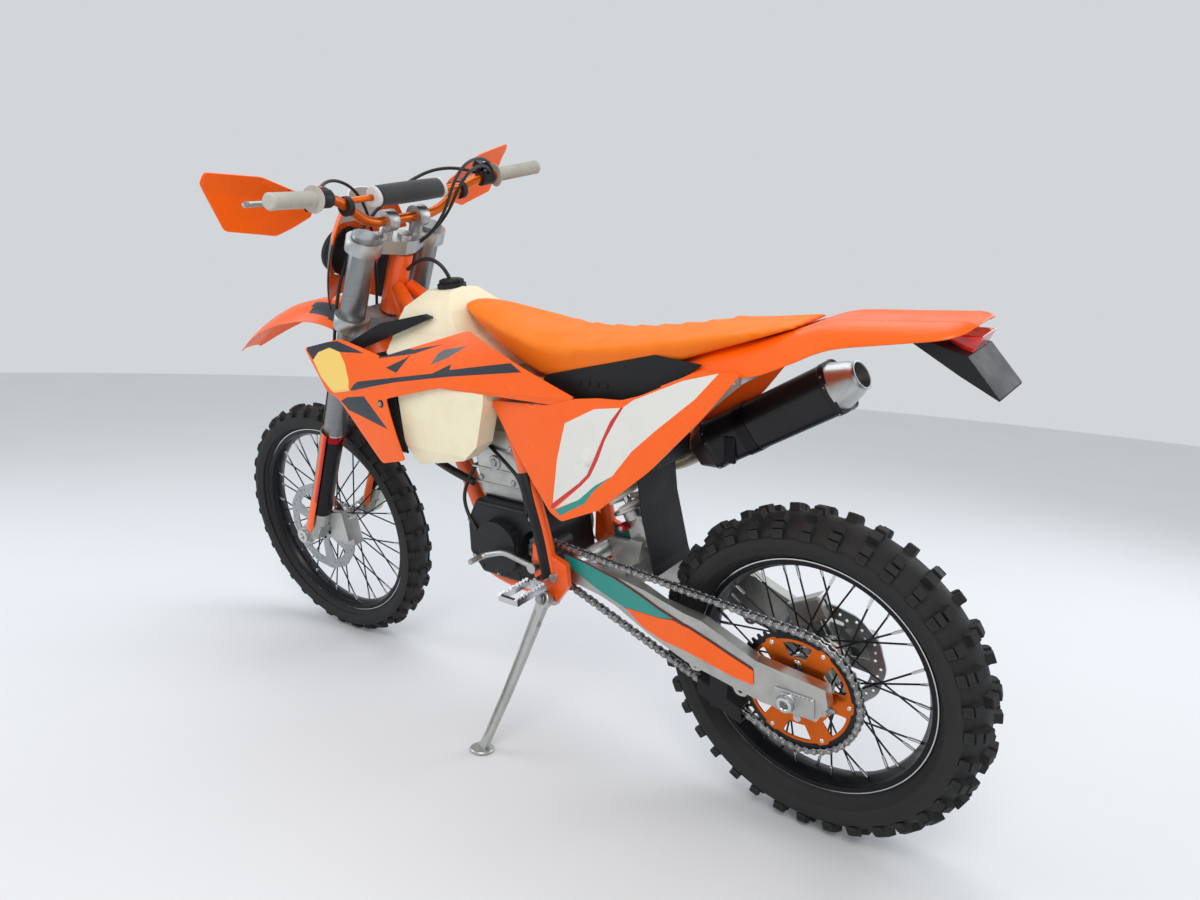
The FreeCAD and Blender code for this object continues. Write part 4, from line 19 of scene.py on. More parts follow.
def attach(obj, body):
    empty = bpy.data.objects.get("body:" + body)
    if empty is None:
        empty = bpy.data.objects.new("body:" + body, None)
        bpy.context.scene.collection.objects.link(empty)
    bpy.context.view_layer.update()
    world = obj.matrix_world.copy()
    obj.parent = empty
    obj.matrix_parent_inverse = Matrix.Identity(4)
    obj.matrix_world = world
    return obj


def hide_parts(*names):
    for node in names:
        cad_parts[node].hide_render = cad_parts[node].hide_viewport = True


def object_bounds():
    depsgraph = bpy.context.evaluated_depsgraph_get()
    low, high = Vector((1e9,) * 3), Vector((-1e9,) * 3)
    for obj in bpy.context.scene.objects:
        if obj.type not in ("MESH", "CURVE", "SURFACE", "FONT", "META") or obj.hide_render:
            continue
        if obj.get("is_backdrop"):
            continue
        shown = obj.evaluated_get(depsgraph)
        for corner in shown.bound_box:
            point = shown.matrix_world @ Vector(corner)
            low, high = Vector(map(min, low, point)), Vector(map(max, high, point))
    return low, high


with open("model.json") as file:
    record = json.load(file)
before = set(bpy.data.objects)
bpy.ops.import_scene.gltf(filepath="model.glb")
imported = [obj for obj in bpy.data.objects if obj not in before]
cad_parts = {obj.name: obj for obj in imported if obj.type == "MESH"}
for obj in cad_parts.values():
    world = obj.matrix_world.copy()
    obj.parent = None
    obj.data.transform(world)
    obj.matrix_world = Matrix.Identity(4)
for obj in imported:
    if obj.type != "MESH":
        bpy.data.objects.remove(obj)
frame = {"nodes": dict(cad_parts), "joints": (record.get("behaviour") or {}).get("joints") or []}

log = logging.getLogger("bike")
CAD_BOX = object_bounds()
MM = 0.001
# The wave texture's scale counts radians, so one rib is this long at scale 1
WAVE_RIB = 6.28
Point = Sequence[float]
Outline = Sequence[tuple[float, float]]
Path = list[Vector]
Point3 = tuple[float, float, float]
Path3 = tuple[Point3, ...]


class Body(Enum):
    """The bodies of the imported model."""

    CHASSIS = "chassis"
    STEERING = "steering"
    FRONT = "front_wheel"
    REAR = "rear_wheel"
    STAND = "side_stand"


@dataclass(frozen=True)
class Stance:
    """How the bike stands on the floor, in millimetres and degrees."""

    wheelbase: float = 1487
    trail: float = 115
    rake: float = 26.1
    axle_datum: float = 343
    lean: float = 11.41
    steer: float = 4.26
    ahead: float = 749
    left: float = 201
    rear_height: float = 329.069
    fork_offset: float = 50.7

    def bike(self) -> Matrix:
        """The bike's own frame, with its rear axle above the origin."""
        return (Matrix.Translation((-self.ahead, -self.left, self.rear_height))
                @ Matrix.Rotation(math.radians(-self.lean), 4, "X")
                @ Matrix.Translation((0, 0, -self.axle_datum)))

    def fork(self) -> Matrix:
        """The steered frame: X ahead of the steering axis and Z up along it."""
        return (self.bike() @ Matrix.Translation((self.wheelbase + self.trail, 0, 0))
                @ Matrix.Rotation(math.radians(-self.rake), 4, "Y")
                @ Matrix.Rotation(math.radians(self.steer), 4, "Z"))

    def rear(self) -> Matrix:
        """The rear wheel's frame about its axle."""
        return self.bike() @ Matrix.Translation((0, 0, self.axle_datum))

    def front(self) -> Matrix:
        """The front wheel's frame about its axle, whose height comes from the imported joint."""
        fork = self.fork()
        spin = next(joint for joint in frame["joints"] if joint["name"] == "front_wheel_spin")
        axle = fork.inverted() @ (Vector(spin["pos_m"]) / MM)
        return fork @ Matrix.Translation((self.fork_offset, 0, axle.z))


STANCE = Stance()
BIKE, FORK, REAR, FRONT = STANCE.bike(), STANCE.fork(), STANCE.rear(), STANCE.front()
AXLE_UP = (FORK.inverted() @ FRONT.translation).z


def linear(code: str) -> tuple[float, float, float, float]:
    """Turns an sRGB hex colour into linear values.

    Args:
        code: Six hex digits, such as "ff6a10".

    Returns:
        Red, green, blue and a full alpha.
    """
    values = [int(code[start:start + 2], 16) / 255 for start in (0, 2, 4)]
    return (*[v / 12.92 if v <= 0.04045 else ((v + 0.055) / 1.055) ** 2.4 for v in values], 1.0)


def add_node(tree: bpy.types.NodeTree, kind: str, settings: Optional[dict] = None,
             links: Optional[dict] = None) -> bpy.types.Node:
    """Adds a node, sets its properties or its sockets' values, and links its inputs.

    Args:
        tree: The tree that gets the node.
        kind: The node's type name.
        settings: Values by property name, or by input name or number.
        links: Output sockets by input name or number.

    Returns:
        The new node.
    """
    node = tree.nodes.new(kind)
    for name, value in (settings or {}).items():
        if isinstance(name, str) and hasattr(node, name):
            setattr(node, name, value)
        else:
            node.inputs[name].default_value = value
    for name, source in (links or {}).items():
        tree.links.new(source, node.inputs[name])
    return node


@dataclass(frozen=True)
class Finish:
    """A real material with the way in which its surface was made.

    A noise of grain_mm moves the height, and a coarser noise of patch_mm moves the colour and the
    roughness, in the pattern in which dust gathers.
    """

    name: str
    colour: str
    roughness: float = 0.5
    metallic: float = 0.0
    grain_mm: float = 1.2
    grain_depth: float = 0.1
    second: str = ""
    second_share: float = 0.0
    patch_mm: float = 60.0
    rough_spread: float = 0.08
    stretch: tuple[float, float, float] = (1.0, 1.0, 1.0)
    coat: float = 0.0
    sheen: float = 0.0
    anisotropic: float = 0.0
    subsurface: float = 0.0
    ior: float = 1.5
    glow: float = 0.0
    weave: bool = False

    def material(self) -> bpy.types.Material:
        """Builds the node material, or returns it where it has been built.

        Returns:
            The material, named for this finish.
        """
        known = bpy.data.materials.get(self.name)
        if known:
            return known
        made = bpy.data.materials.new(self.name)
        made.use_nodes = True
        tree = made.node_tree
        shader = next(node for node in tree.nodes if node.type == "BSDF_PRINCIPLED")
        base = linear(self.colour)
        for socket, value in (("Metallic", self.metallic), ("IOR", self.ior), ("Coat Weight", self.coat),
                              ("Coat Roughness", 0.12), ("Sheen Weight", self.sheen),
                              ("Anisotropic", self.anisotropic),
                              ("Subsurface Weight", self.subsurface), ("Subsurface Scale", 0.01)):
            shader.inputs[socket].default_value = value
        # The glow is emission: a painted glow, with no lit lamp behind the surface
        if self.glow:
            shader.inputs["Emission Color"].default_value = base
            shader.inputs["Emission Strength"].default_value = self.glow
        place = add_node(tree, "ShaderNodeTexCoord")
        spread = add_node(tree, "ShaderNodeMapping", {"Scale": self.stretch},
                          {"Vector": place.outputs["Object"]})
        grain, patch = (add_node(tree, "ShaderNodeTexNoise",
                                 {"Scale": 1000 / size_mm, "Detail": detail, "Roughness": rough},
                                 {"Vector": spread.outputs["Vector"]}).outputs["Fac"]
                        for size_mm, detail, rough in ((self.grain_mm, 3.0, 0.55), (self.patch_mm, 4.0, 0.6)))
        other = linear(self.second) if self.second else tuple(c * 0.8 for c in base[:3]) + (1.0,)
        share = self.second_share or 0.12
        ramp = add_node(tree, "ShaderNodeMapRange",
                        {"From Min": 0.42, "From Max": 0.72, "To Min": 0.0, "To Max": share},
                        {"Value": patch})
        tint = add_node(tree, "ShaderNodeMix", {"data_type": "RGBA", 6: base, 7: other},
                        {0: ramp.outputs["Result"]})
        tree.links.new(tint.outputs[2], shader.inputs["Base Color"])
        rough = add_node(tree, "ShaderNodeMapRange",
                         {"From Min": 0.3, "From Max": 0.7,
                          "To Min": max(self.roughness - self.rough_spread, 0.02),
                          "To Max": min(self.roughness + self.rough_spread, 1.0)},
                         {"Value": patch})
        tree.links.new(rough.outputs["Result"], shader.inputs["Roughness"])
        height = grain
        if self.weave:
            across, along = (add_node(tree, "ShaderNodeTexWave",
                                      {"Scale": 1000 / (self.grain_mm * WAVE_RIB), "bands_direction": way},
                                      {"Vector": spread.outputs["Vector"]}).outputs["Fac"]
                             for way in "XY")
            height = add_node(tree, "ShaderNodeMath", {"operation": "MULTIPLY"},
                              {0: across, 1: along}).outputs[0]
        bump = add_node(tree, "ShaderNodeBump",
                        {"Strength": 0.6, "Distance": self.grain_depth * MM}, {"Height": height})
        tree.links.new(bump.outputs["Normal"], shader.inputs["Normal"])
        return made


def vinyl(shade: str, code: str, **changes: float | str) -> Finish:
    """A printed vinyl film over the moulding: the same peel with a slightly smoother face."""
    settings = {"roughness": 0.36, "grain_mm": 3.0, "grain_depth": 0.01, "coat": 0.2, **changes}
    return Finish(f"printed_{shade}_vinyl", code, **settings)


class Look(Enum):
    """The finishes of this bike, named for what they are made of."""

    # Moulded gloss polypropylene: a faint orange peel breaks the reflections up
    ORANGE_PLASTIC = Finish("moulded_orange_polypropylene", "f96202", 0.34, grain_mm=3.0,
                            grain_depth=0.012, second="ec5600", second_share=0.3, coat=0.08, ior=1.42)
    # Vinyl printed with solvent ink, then pressed on the warm moulding
    NAVY_VINYL = vinyl("navy", "1c2430")
    GREY_VINYL = vinyl("grey", "5d6064", roughness=0.38)
    WHITE_VINYL = vinyl("white", "dcdcd6", second="cfd0cb", second_share=0.3)
    RED_VINYL = vinyl("red", "c8201a")
    TEAL_VINYL = vinyl("teal", "128a80")
    CREAM_VINYL = vinyl("cream", "f4cf6a")
    # Textured black polypropylene: a fine moulded grain scatters the light
    BLACK_PLASTIC = Finish("textured_black_polypropylene", "101113", 0.52, grain_mm=0.9,
                           grain_depth=0.12, second="1c1d20", second_share=0.4, ior=1.38)
    # Powder coat on steel tube: soft peel and a full gloss
    FRAME_PAINT = Finish("powder_coated_orange_steel", "f45a04", 0.32, grain_mm=2.6,
                         grain_depth=0.02, second="d84c08", second_share=0.25, coat=0.3)
    # Blow-moulded natural polyethylene: light sinks in a little, so edges look warm
    TANK = Finish("natural_polyethylene", "efe6c8", 0.42, grain_mm=1.4, grain_depth=0.08,
                  second="e2d6b0", second_share=0.5, subsurface=0.25)
    # Ribbed vinyl seat cover with a leather grain
    SEAT = Finish("grained_seat_vinyl", "f27a06", 0.6, grain_mm=1.3, grain_depth=0.3,
                  second="e66c04", second_share=0.35, ior=1.4)
    SEAT_SIDE = Finish("smooth_seat_vinyl", "f07204", 0.5, grain_mm=1.3, grain_depth=0.15,
                       second="e06604", second_share=0.3, ior=1.4)
    # Moulded tyre rubber with dust in its grain
    TYRE = Finish("moulded_tyre_rubber", "141415", 0.72, grain_mm=1.1, grain_depth=0.25,
                  second="282827", second_share=0.5, patch_mm=45, rough_spread=0.1)
    SOFT_RUBBER = Finish("moulded_black_rubber", "151515", 0.66, grain_mm=0.8, grain_depth=0.12)
    GRIP = Finish("grey_grip_rubber", "b9b8ae", 0.62, grain_mm=0.9, grain_depth=0.2,
                  second="8f8e86", second_share=0.4)
    # Sand-cast then bead-blasted aluminium: a fine sparkle of grain
    CAST_ALLOY = Finish("blasted_cast_aluminium", "c2c3be", 0.4, 1.0, grain_mm=0.8,
                        grain_depth=0.16, second="8e9192", second_share=0.5)
    # Machined and brushed aluminium: fine lines that follow the tool
    BRUSHED_ALLOY = Finish("brushed_aluminium", "bcbdbb", 0.4, 1.0, grain_mm=0.5, grain_depth=0.05,
                           second="a4a7aa", second_share=0.4, stretch=(1, 14, 1), anisotropic=0.5)
    DARK_ALLOY = Finish("black_anodised_aluminium", "17181b", 0.36, 0.6, grain_mm=0.6,
                        grain_depth=0.04, second="26282c", second_share=0.3)
    FORK_GREY = Finish("hard_anodised_grey_aluminium", "8d8f90", 0.34, 0.9, grain_mm=0.5,
                       grain_depth=0.03, second="7b7d7e", second_share=0.3, stretch=(1, 1, 8))
    ORANGE_ALLOY = Finish("orange_anodised_aluminium", "d9661c", 0.3, 0.85, grain_mm=0.6,
                          grain_depth=0.04, second="b9520f", second_share=0.35)
    # Rolled and ground steel
    STEEL = Finish("ground_steel", "a9abad", 0.3, 1.0, grain_mm=0.5, grain_depth=0.05,
                   second="7f8183", second_share=0.5)
    BRIGHT_STEEL = Finish("polished_steel", "d2d3d4", 0.18, 1.0, grain_mm=0.6, grain_depth=0.02,
                          second="b4b5b6", second_share=0.3)
    DARK_STEEL = Finish("black_oxide_steel", "2b2c2e", 0.4, 0.9, grain_mm=0.6, grain_depth=0.05,
                        second="454648", second_share=0.4)
    CHAIN_STEEL = Finish("oiled_chain_steel", "939496", 0.3, 1.0, grain_mm=0.7, grain_depth=0.06,
                         second="3b3a38", second_share=0.6, patch_mm=14)
    GOLD_STEEL = Finish("plated_pin_steel", "c9c2ae", 0.25, 1.0, grain_mm=0.6, grain_depth=0.03)
    HEADER_STEEL = Finish("heat_tinted_steel", "a69a88", 0.28, 1.0, grain_mm=0.8, grain_depth=0.04,
                          second="6f6a73", second_share=0.6, patch_mm=90)
    # White powder coat on the coil spring
    SPRING = Finish("powder_coated_white_spring", "e4e1d4", 0.35, grain_mm=1.5, grain_depth=0.05,
                    second="c9c6b8", second_share=0.4, coat=0.2)
    # Black ceramic paint on the silencer and black coat on the cases
    SILENCER = Finish("black_ceramic_coat", "121316", 0.4, 0.3, grain_mm=0.8, grain_depth=0.08,
                      second="202226", second_share=0.4, coat=0.1)
    CASE = Finish("black_coated_casting", "1b1c1f", 0.45, 0.4, grain_mm=0.9, grain_depth=0.2,
                  second="2e3035", second_share=0.4)
    # Red acrylic of the tail lamp and the switch's red button; its glow is a painted glow, as if lit from
    # inside
    RED_LENS = Finish("moulded_red_acrylic", "c4120c", 0.16, grain_mm=4, grain_depth=0.02,
                      second="8a0806", second_share=0.4, coat=0.8, glow=0.15)
    CLEAR_LENS = Finish("moulded_clear_polycarbonate", "dfe6ea", 0.1, grain_mm=4, grain_depth=0.02,
                        second="b8c2c8", second_share=0.4, coat=0.9)
    RED_ANODISED = Finish("red_anodised_aluminium", "a3121a", 0.3, 0.85, grain_mm=0.6, grain_depth=0.03)
    DARK_RED = Finish("printed_dark_red_vinyl", "5b1d1c", 0.4, grain_mm=1.5, grain_depth=0.06)
    PAD = Finish("black_pad_cover", "131416", 0.7, grain_mm=0.9, grain_depth=0.2, sheen=0.2, weave=True)
    PAD_END = Finish("pale_pad_end", "c9cac7", 0.6, grain_mm=0.9, grain_depth=0.1, weave=True)
    CABLE = Finish("black_cable_cover", "141414", 0.45, grain_mm=0.7, grain_depth=0.05)
    # Matt painted board, the studio's floor
    FLOOR = Finish("pale_studio_board", "e4e6e8", 0.85, grain_mm=3.0, grain_depth=0.05,
                   second="e0e2e4", second_share=0.5, patch_mm=700)
    CORE = Finish("finned_radiator_core", "2a2c2f", 0.5, 0.8, grain_mm=1.0, grain_depth=0.5,
                  stretch=(1, 1, 9))

    def material(self) -> bpy.types.Material:
        """The finish's Blender material."""
        return self.value.material()


def rounded(points: Sequence[Point], share: float = 0.45, steps: int = 8) -> Path:
    """Turns straight runs into a path with an arc at each corner.

    Args:
        points: The corners of the runs.
        share: How much of the shorter run each arc takes.
        steps: Pieces of each arc.

    Returns:
        The path's places, close together on the arcs.
    """
    corners = [Vector(place) for place in points]
    path = [corners[0]]
    for before, corner, after in zip(corners, corners[1:], corners[2:]):
        back, onward = before - corner, after - corner
        reach = share * min(back.length, onward.length)
        first, last = corner + back.normalized() * reach, corner + onward.normalized() * reach
        for step in range(steps + 1):
            t = step / steps
            path.append((1 - t) ** 2 * first + 2 * t * (1 - t) * corner + t * t * last)
    path.append(corners[-1])
    return path


def rounded_outline(corners: Outline, radius: float, steps: int = 4) -> list[tuple[float, float]]:
    """Rounds the corners of a flat outline.

    Args:
        corners: The outline's corners in order.
        radius: How far from each corner its curve starts.
        steps: Pieces of each curve.

    Returns:
        The rounded outline.
    """
    count, made = len(corners), []
    for index, corner in enumerate(corners):
        here = Vector(corner)
        back = Vector(corners[index - 1]) - here
        onward = Vector(corners[(index + 1) % count]) - here
        reach = min(radius, 0.45 * back.length, 0.45 * onward.length)
        first, last = here + back.normalized() * reach, here + onward.normalized() * reach
        for step in range(steps + 1):
            t = step / steps
            place = (1 - t) ** 2 * first + 2 * t * (1 - t) * here + t * t * last
            made.append((place.x, place.y))
    return made


def at_angle(radius: float, degrees: float) -> tuple[float, float]:
    """A flat place from its radius and its angle."""
    turn = math.radians(degrees)
    return radius * math.cos(turn), radius * math.sin(turn)


def upright(u: float, v: float, high: float) -> Point3:
    """Stands a sheet's plane up along the bike, with its height out to the left."""
    return u, high, v


def circle(radius: float, steps: int, centre: Point = (0, 0), turn: float = 0) -> Outline:
    """A round outline.

    Args:
        radius: Its radius.
        steps: Its corners.
        centre: Its middle.
        turn: The first corner's angle in degrees.

    Returns:
        The outline's corners.
    """
    places = (at_angle(radius, turn + 360 * i / steps) for i in range(steps))
    return [(centre[0] + x, centre[1] + z) for x, z in places]


def polar(radius: float, degrees: float, along: float = 0.0) -> Vector:
    """A place round the Y axis from its radius, its angle and how far along the axis it is."""
    x, z = at_angle(radius, degrees)
    return Vector((x, along, z))


def arc_window(outer: float, inner: float, start: float, end: float, inset: float,
               pieces: int) -> Outline:
    """A window with rounded corners between two arcs of a plate.

    Args:
        outer: The outer arc's radius.
        inner: The inner arc's radius.
        start: The angle at which the outer arc starts, in degrees.
        end: The angle at which it ends.
        inset: How many degrees the inner arc stays inside those angles.
        pieces: Pieces of the inner arc.

    Returns:
        The window's outline.
    """
    span = end - start
    corners = [at_angle(outer, start + span * t / 6) for t in range(7)]
    corners += [at_angle(inner, end - inset - (span - 2 * inset) * t / pieces)
                for t in range(pieces + 1)]
    return rounded_outline(corners, 5, 3)


def filled(name: str, lines: Iterable[Outline], thick: float = 0.0, chamfer: float = 0.0) -> bpy.types.Mesh:
    """Fills a flat outline and leaves its holes open.

    Args:
        name: The mesh's name.
        lines: The outer outline, then the holes' outlines.
        thick: The plate's thickness, or 0 for one flat face.
        chamfer: How wide its cut edges are.

    Returns:
        A loose mesh in X and Y, for the caller to remove.
    """
    curve = bpy.data.curves.new(name, "CURVE")
    curve.dimensions, curve.fill_mode = "2D", "BOTH"
    if thick:
        curve.extrude, curve.offset = thick / 2 - chamfer, -chamfer
        curve.bevel_depth, curve.bevel_resolution = chamfer, 1
    for line in lines:
        spline = curve.splines.new("POLY")
        spline.points.add(len(line) - 1)
        for point, (u, v) in zip(spline.points, line):
            point.co = (u, v, 0, 1)
        spline.use_cyclic_u = True
    helper = bpy.data.objects.new(name + "_flat", curve)
    bpy.context.scene.collection.objects.link(helper)
    mesh = bpy.data.meshes.new_from_object(helper)
    bpy.data.objects.remove(helper)
    bpy.data.curves.remove(curve)
    return mesh


class Form:
    """Vertices and faces gathered, with finishes, before they become one mesh."""

    def __init__(self, name: str) -> None:
        """Starts an empty form with the name of the piece to be."""
        self.name = name
        self.points: list[Vector] = []
        self.faces: list[tuple[list[int], Look]] = []

    def add(self, points: Iterable[Point], faces: Iterable[Sequence[int]], look: Look,
            place: Optional[Matrix] = None) -> None:
        """Adds loose geometry.

        Args:
            points: New vertices.
            faces: Vertex numbers of each face, counted from the first new vertex.
            look: The faces' finish.
            place: A matrix that moves the vertices first.
        """
        start = len(self.points)
        self.points += [place @ Vector(p) if place else Vector(p) for p in points]
        self.faces += [([start + number for number in face], look) for face in faces]

    def take(self, other: "Form") -> None:
        """Adds everything of another form, with its finishes."""
        start = len(self.points)
        self.points += other.points
        self.faces += [([start + number for number in face], look) for face, look in other.faces]

    def skin(self, rings: Sequence[Sequence[Point]], look: Look, caps: bool = True,
             joined: bool = False, place: Optional[Matrix] = None) -> None:
        """Draws a skin through closed rings of equal counts.

        Args:
            rings: Rings of places, each with the same number.
            look: The finish.
            caps: Whether the first and last rings are filled.
            joined: Whether the last ring joins the first.
            place: A matrix that moves the places first.
        """
        count = len(rings[0])
        points = [place_in for ring in rings for place_in in ring]
        faces = []
        spans = len(rings) if joined else len(rings) - 1
        for row in range(spans):
            nxt = (row + 1) % len(rings)
            for column in range(count):
                other = (column + 1) % count
                faces.append((row * count + column, row * count + other,
                              nxt * count + other, nxt * count + column))
        if caps and not joined:
            faces.append(tuple(reversed(range(count))))
            faces.append(tuple((len(rings) - 1) * count + i for i in range(count)))
        self.add(points, faces, look, place)

    def lathe(self, profile: Outline, look: Look, steps: int, place: Optional[Matrix] = None) -> None:
        """Turns a closed section of radii and places along Y about the Y axis.

        Args:
            profile: Radius and place along the axis of each corner.
            look: The finish.
            steps: Corners round the axis.
            place: A matrix that moves the result.
        """
        rings = []
        for step in range(steps):
            turn = 2 * math.pi * step / steps
            rings.append([(r * math.cos(turn), y, r * math.sin(turn)) for r, y in profile])
        self.skin(rings, look, joined=True, place=place)

    def tube(self, path: Sequence[Point], radius: float | Sequence[float], look: Look,
             steps: int, place: Optional[Matrix] = None) -> None:
        """Draws a tube with closed ends along a path.

        Args:
            path: Places along its middle.
            radius: Its radius, or one for each place.
            look: The finish.
            steps: Corners round it.
            place: A matrix that moves the result.
        """
        held = [Vector(p) for p in path]
        held = [p for i, p in enumerate(held) if i == 0 or (p - held[i - 1]).length > 1e-4]
        radii = list(radius) if isinstance(radius, (list, tuple)) else [radius] * len(held)
        ahead = (held[1] - held[0]).normalized()
        side = ahead.orthogonal().normalized()
        if abs(ahead.y) < 0.9:
            side = Vector((0, 1, 0)) - ahead * ahead.y
            side.normalize()
        rings = []
        for index, here in enumerate(held):
            before = held[max(index - 1, 0)]
            after = held[min(index + 1, len(held) - 1)]
            ahead = (after - before).normalized()
            side = (side - ahead * side.dot(ahead)).normalized()
            up = ahead.cross(side)
            size = radii[index]
            rings.append([here + side * size * math.cos(2 * math.pi * s / steps)
                          + up * size * math.sin(2 * math.pi * s / steps)
                          for s in range(steps)])
        self.skin(rings, look, place=place)

    def rod(self, start: Point, end: Point, radius: float, look: Look, steps: int = 24,
            chamfer: float = 0.8, place: Optional[Matrix] = None) -> None:
        """Draws a round bar with chamfered ends between two places."""
        first, last = Vector(start), Vector(end)
        along = (last - first).normalized()
        cut = min(chamfer, (last - first).length * 0.3, radius * 0.4)
        path = [first, first + along * cut, last - along * cut, last]
        self.tube(path, [radius - cut, radius, radius, radius - cut], look, steps, place)

    def prism(self, outline: Outline, low: float, high: float, look: Look,
              chamfer: float = 1.0, place: Optional[Matrix] = None) -> None:
        """Draws a plate whose outline in X and Z runs from one Y to another.

        Args:
            outline: Its corners.
            low: The lower Y.
            high: The higher Y.
            look: The finish.
            chamfer: How wide its cut edges are.
            place: A matrix that moves the result.
        """
        count = len(outline)
        middle = Vector((sum(x for x, _ in outline) / count, sum(z for _, z in outline) / count))
        cut = min(chamfer, (high - low) * 0.3)
        inner = []
        for index, corner in enumerate(outline):
            here = Vector(corner)
            back = (here - Vector(outline[index - 1])).normalized()
            onward = (Vector(outline[(index + 1) % count]) - here).normalized()
            inward = Vector((-(back + onward).y, (back + onward).x))
            if inward.length < 1e-6:
                inward = middle - here
            inward.normalize()
            inner.append((here, inward))
        area = sum(outline[i - 1][0] * outline[i][1] - outline[i][0] * outline[i - 1][1]
                   for i in range(count))
        sign = 1 if area > 0 else -1
        rings = []
        for y, step in ((low, cut), (low + cut, 0), (high - cut, 0), (high, cut)):
            rings.append([(h.x + n.x * step * sign, y, h.y + n.y * step * sign) for h, n in inner])
        self.skin(rings, look, place=place)

    def block(self, low: Point, high: Point, look: Look, chamfer: float = 1.0,
              place: Optional[Matrix] = None) -> None:
        """Draws a chamfered block between two opposite corners."""
        outline = [(low[0], low[2]), (high[0], low[2]), (high[0], high[2]), (low[0], high[2])]
        cut = min(chamfer, 0.3 * (high[0] - low[0]), 0.3 * (high[2] - low[2]))
        self.prism(rounded_outline(outline, cut * 1.5, 1), low[1], high[1], look, cut, place)

    def bolt(self, centre: Point, way: Point, radius: float, look: Look, tall: float = 3.5) -> None:
        """Draws a six-sided bolt head on a washer that stands on a face.

        Args:
            centre: Where it stands on the face.
            way: The direction in which it points.
            radius: Its radius across corners.
            look: The finish.
            tall: Its height.
        """
        base, along = Vector(centre), Vector(way).normalized()
        self.rod(base - along * 0.5, base + along * tall * 0.3, radius * 1.25, look, 14, 0.3)
        self.rod(base + along * tall * 0.2, base + along * tall, radius, look, 6, 0.5)

    def mirror(self) -> "Form":
        """Adds the same geometry on the bike's other side.

        Returns:
            The form itself.
        """
        start = len(self.points)
        self.points += [Vector((p.x, -p.y, p.z)) for p in self.points[:start]]
        self.faces += [([start + number for number in reversed(face)], look)
                       for face, look in self.faces[:]]
        return self

    def finished(self, place: Matrix, body: Body, stands_for: Sequence[str] = (),
                 slot: str = "", crease: float = 35.0) -> bpy.types.Object:
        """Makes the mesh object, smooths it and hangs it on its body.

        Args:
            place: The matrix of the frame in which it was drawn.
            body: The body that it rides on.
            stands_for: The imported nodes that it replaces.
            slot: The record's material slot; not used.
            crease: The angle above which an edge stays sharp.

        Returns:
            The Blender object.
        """
        mesh = bpy.data.meshes.new(self.name)
        mesh.from_pydata([place @ p * MM for p in self.points], [],
                         [face for face, _ in self.faces])
        looks = list(dict.fromkeys(look for _, look in self.faces))
        for look in looks:
            mesh.materials.append(look.material())
        mesh.polygons.foreach_set("material_index", [looks.index(look) for _, look in self.faces])
        mesh.validate()
        smooth(mesh, crease)
        return settle(bpy.data.objects.new(self.name, mesh), body, stands_for)


def smooth(mesh: bpy.types.Mesh, crease: float = 35.0) -> None:
    """Shades a mesh smooth between edges that are sharper than an angle, facing outwards."""
    work = bmesh.new()
    work.from_mesh(mesh)
    bmesh.ops.recalc_face_normals(work, faces=work.faces)
    limit = math.radians(crease)
    for face in work.faces:
        face.smooth = True
    for edge in work.edges:
        edge.smooth = not (len(edge.link_faces) == 2 and edge.calc_face_angle(0) > limit)
    work.to_mesh(mesh)
    work.free()


def settle(piece: bpy.types.Object, body: Body, stands_for: Sequence[str] = ()) -> bpy.types.Object:
    """Puts a piece in the scene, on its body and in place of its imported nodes.

    Args:
        piece: The object, already in the row's frame.
        body: The body that it rides on.
        stands_for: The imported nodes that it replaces.

    Returns:
        The piece.
    """
    bpy.context.scene.collection.objects.link(piece)
    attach(piece, body.value)
    nodes = [name for name in stands_for if name in frame["nodes"]]
    if nodes:
        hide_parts(*nodes)
    log.info("%s: %d faces", piece.name, len(piece.data.polygons))
    return piece


def soften(piece: bpy.types.Object, width: float, degrees: float,
           segments: int = 2) -> bpy.types.Modifier:
    """Rounds the edges that are sharper than an angle.

    Args:
        piece: The piece that gets the modifier.
        width: The rounding's width in millimetres.
        degrees: The angle.
        segments: The steps round each edge.

    Returns:
        The modifier.
    """
    soft = piece.modifiers.new("soft", "BEVEL")
    soft.width, soft.segments = width * MM, segments
    soft.limit_method, soft.angle_limit = "ANGLE", math.radians(degrees)
    return soft


@dataclass
class Decal:
    """A flat-sided field of vinyl on a moulded sheet, given in the sheet's own plane."""

    outline: Outline
    look: Look


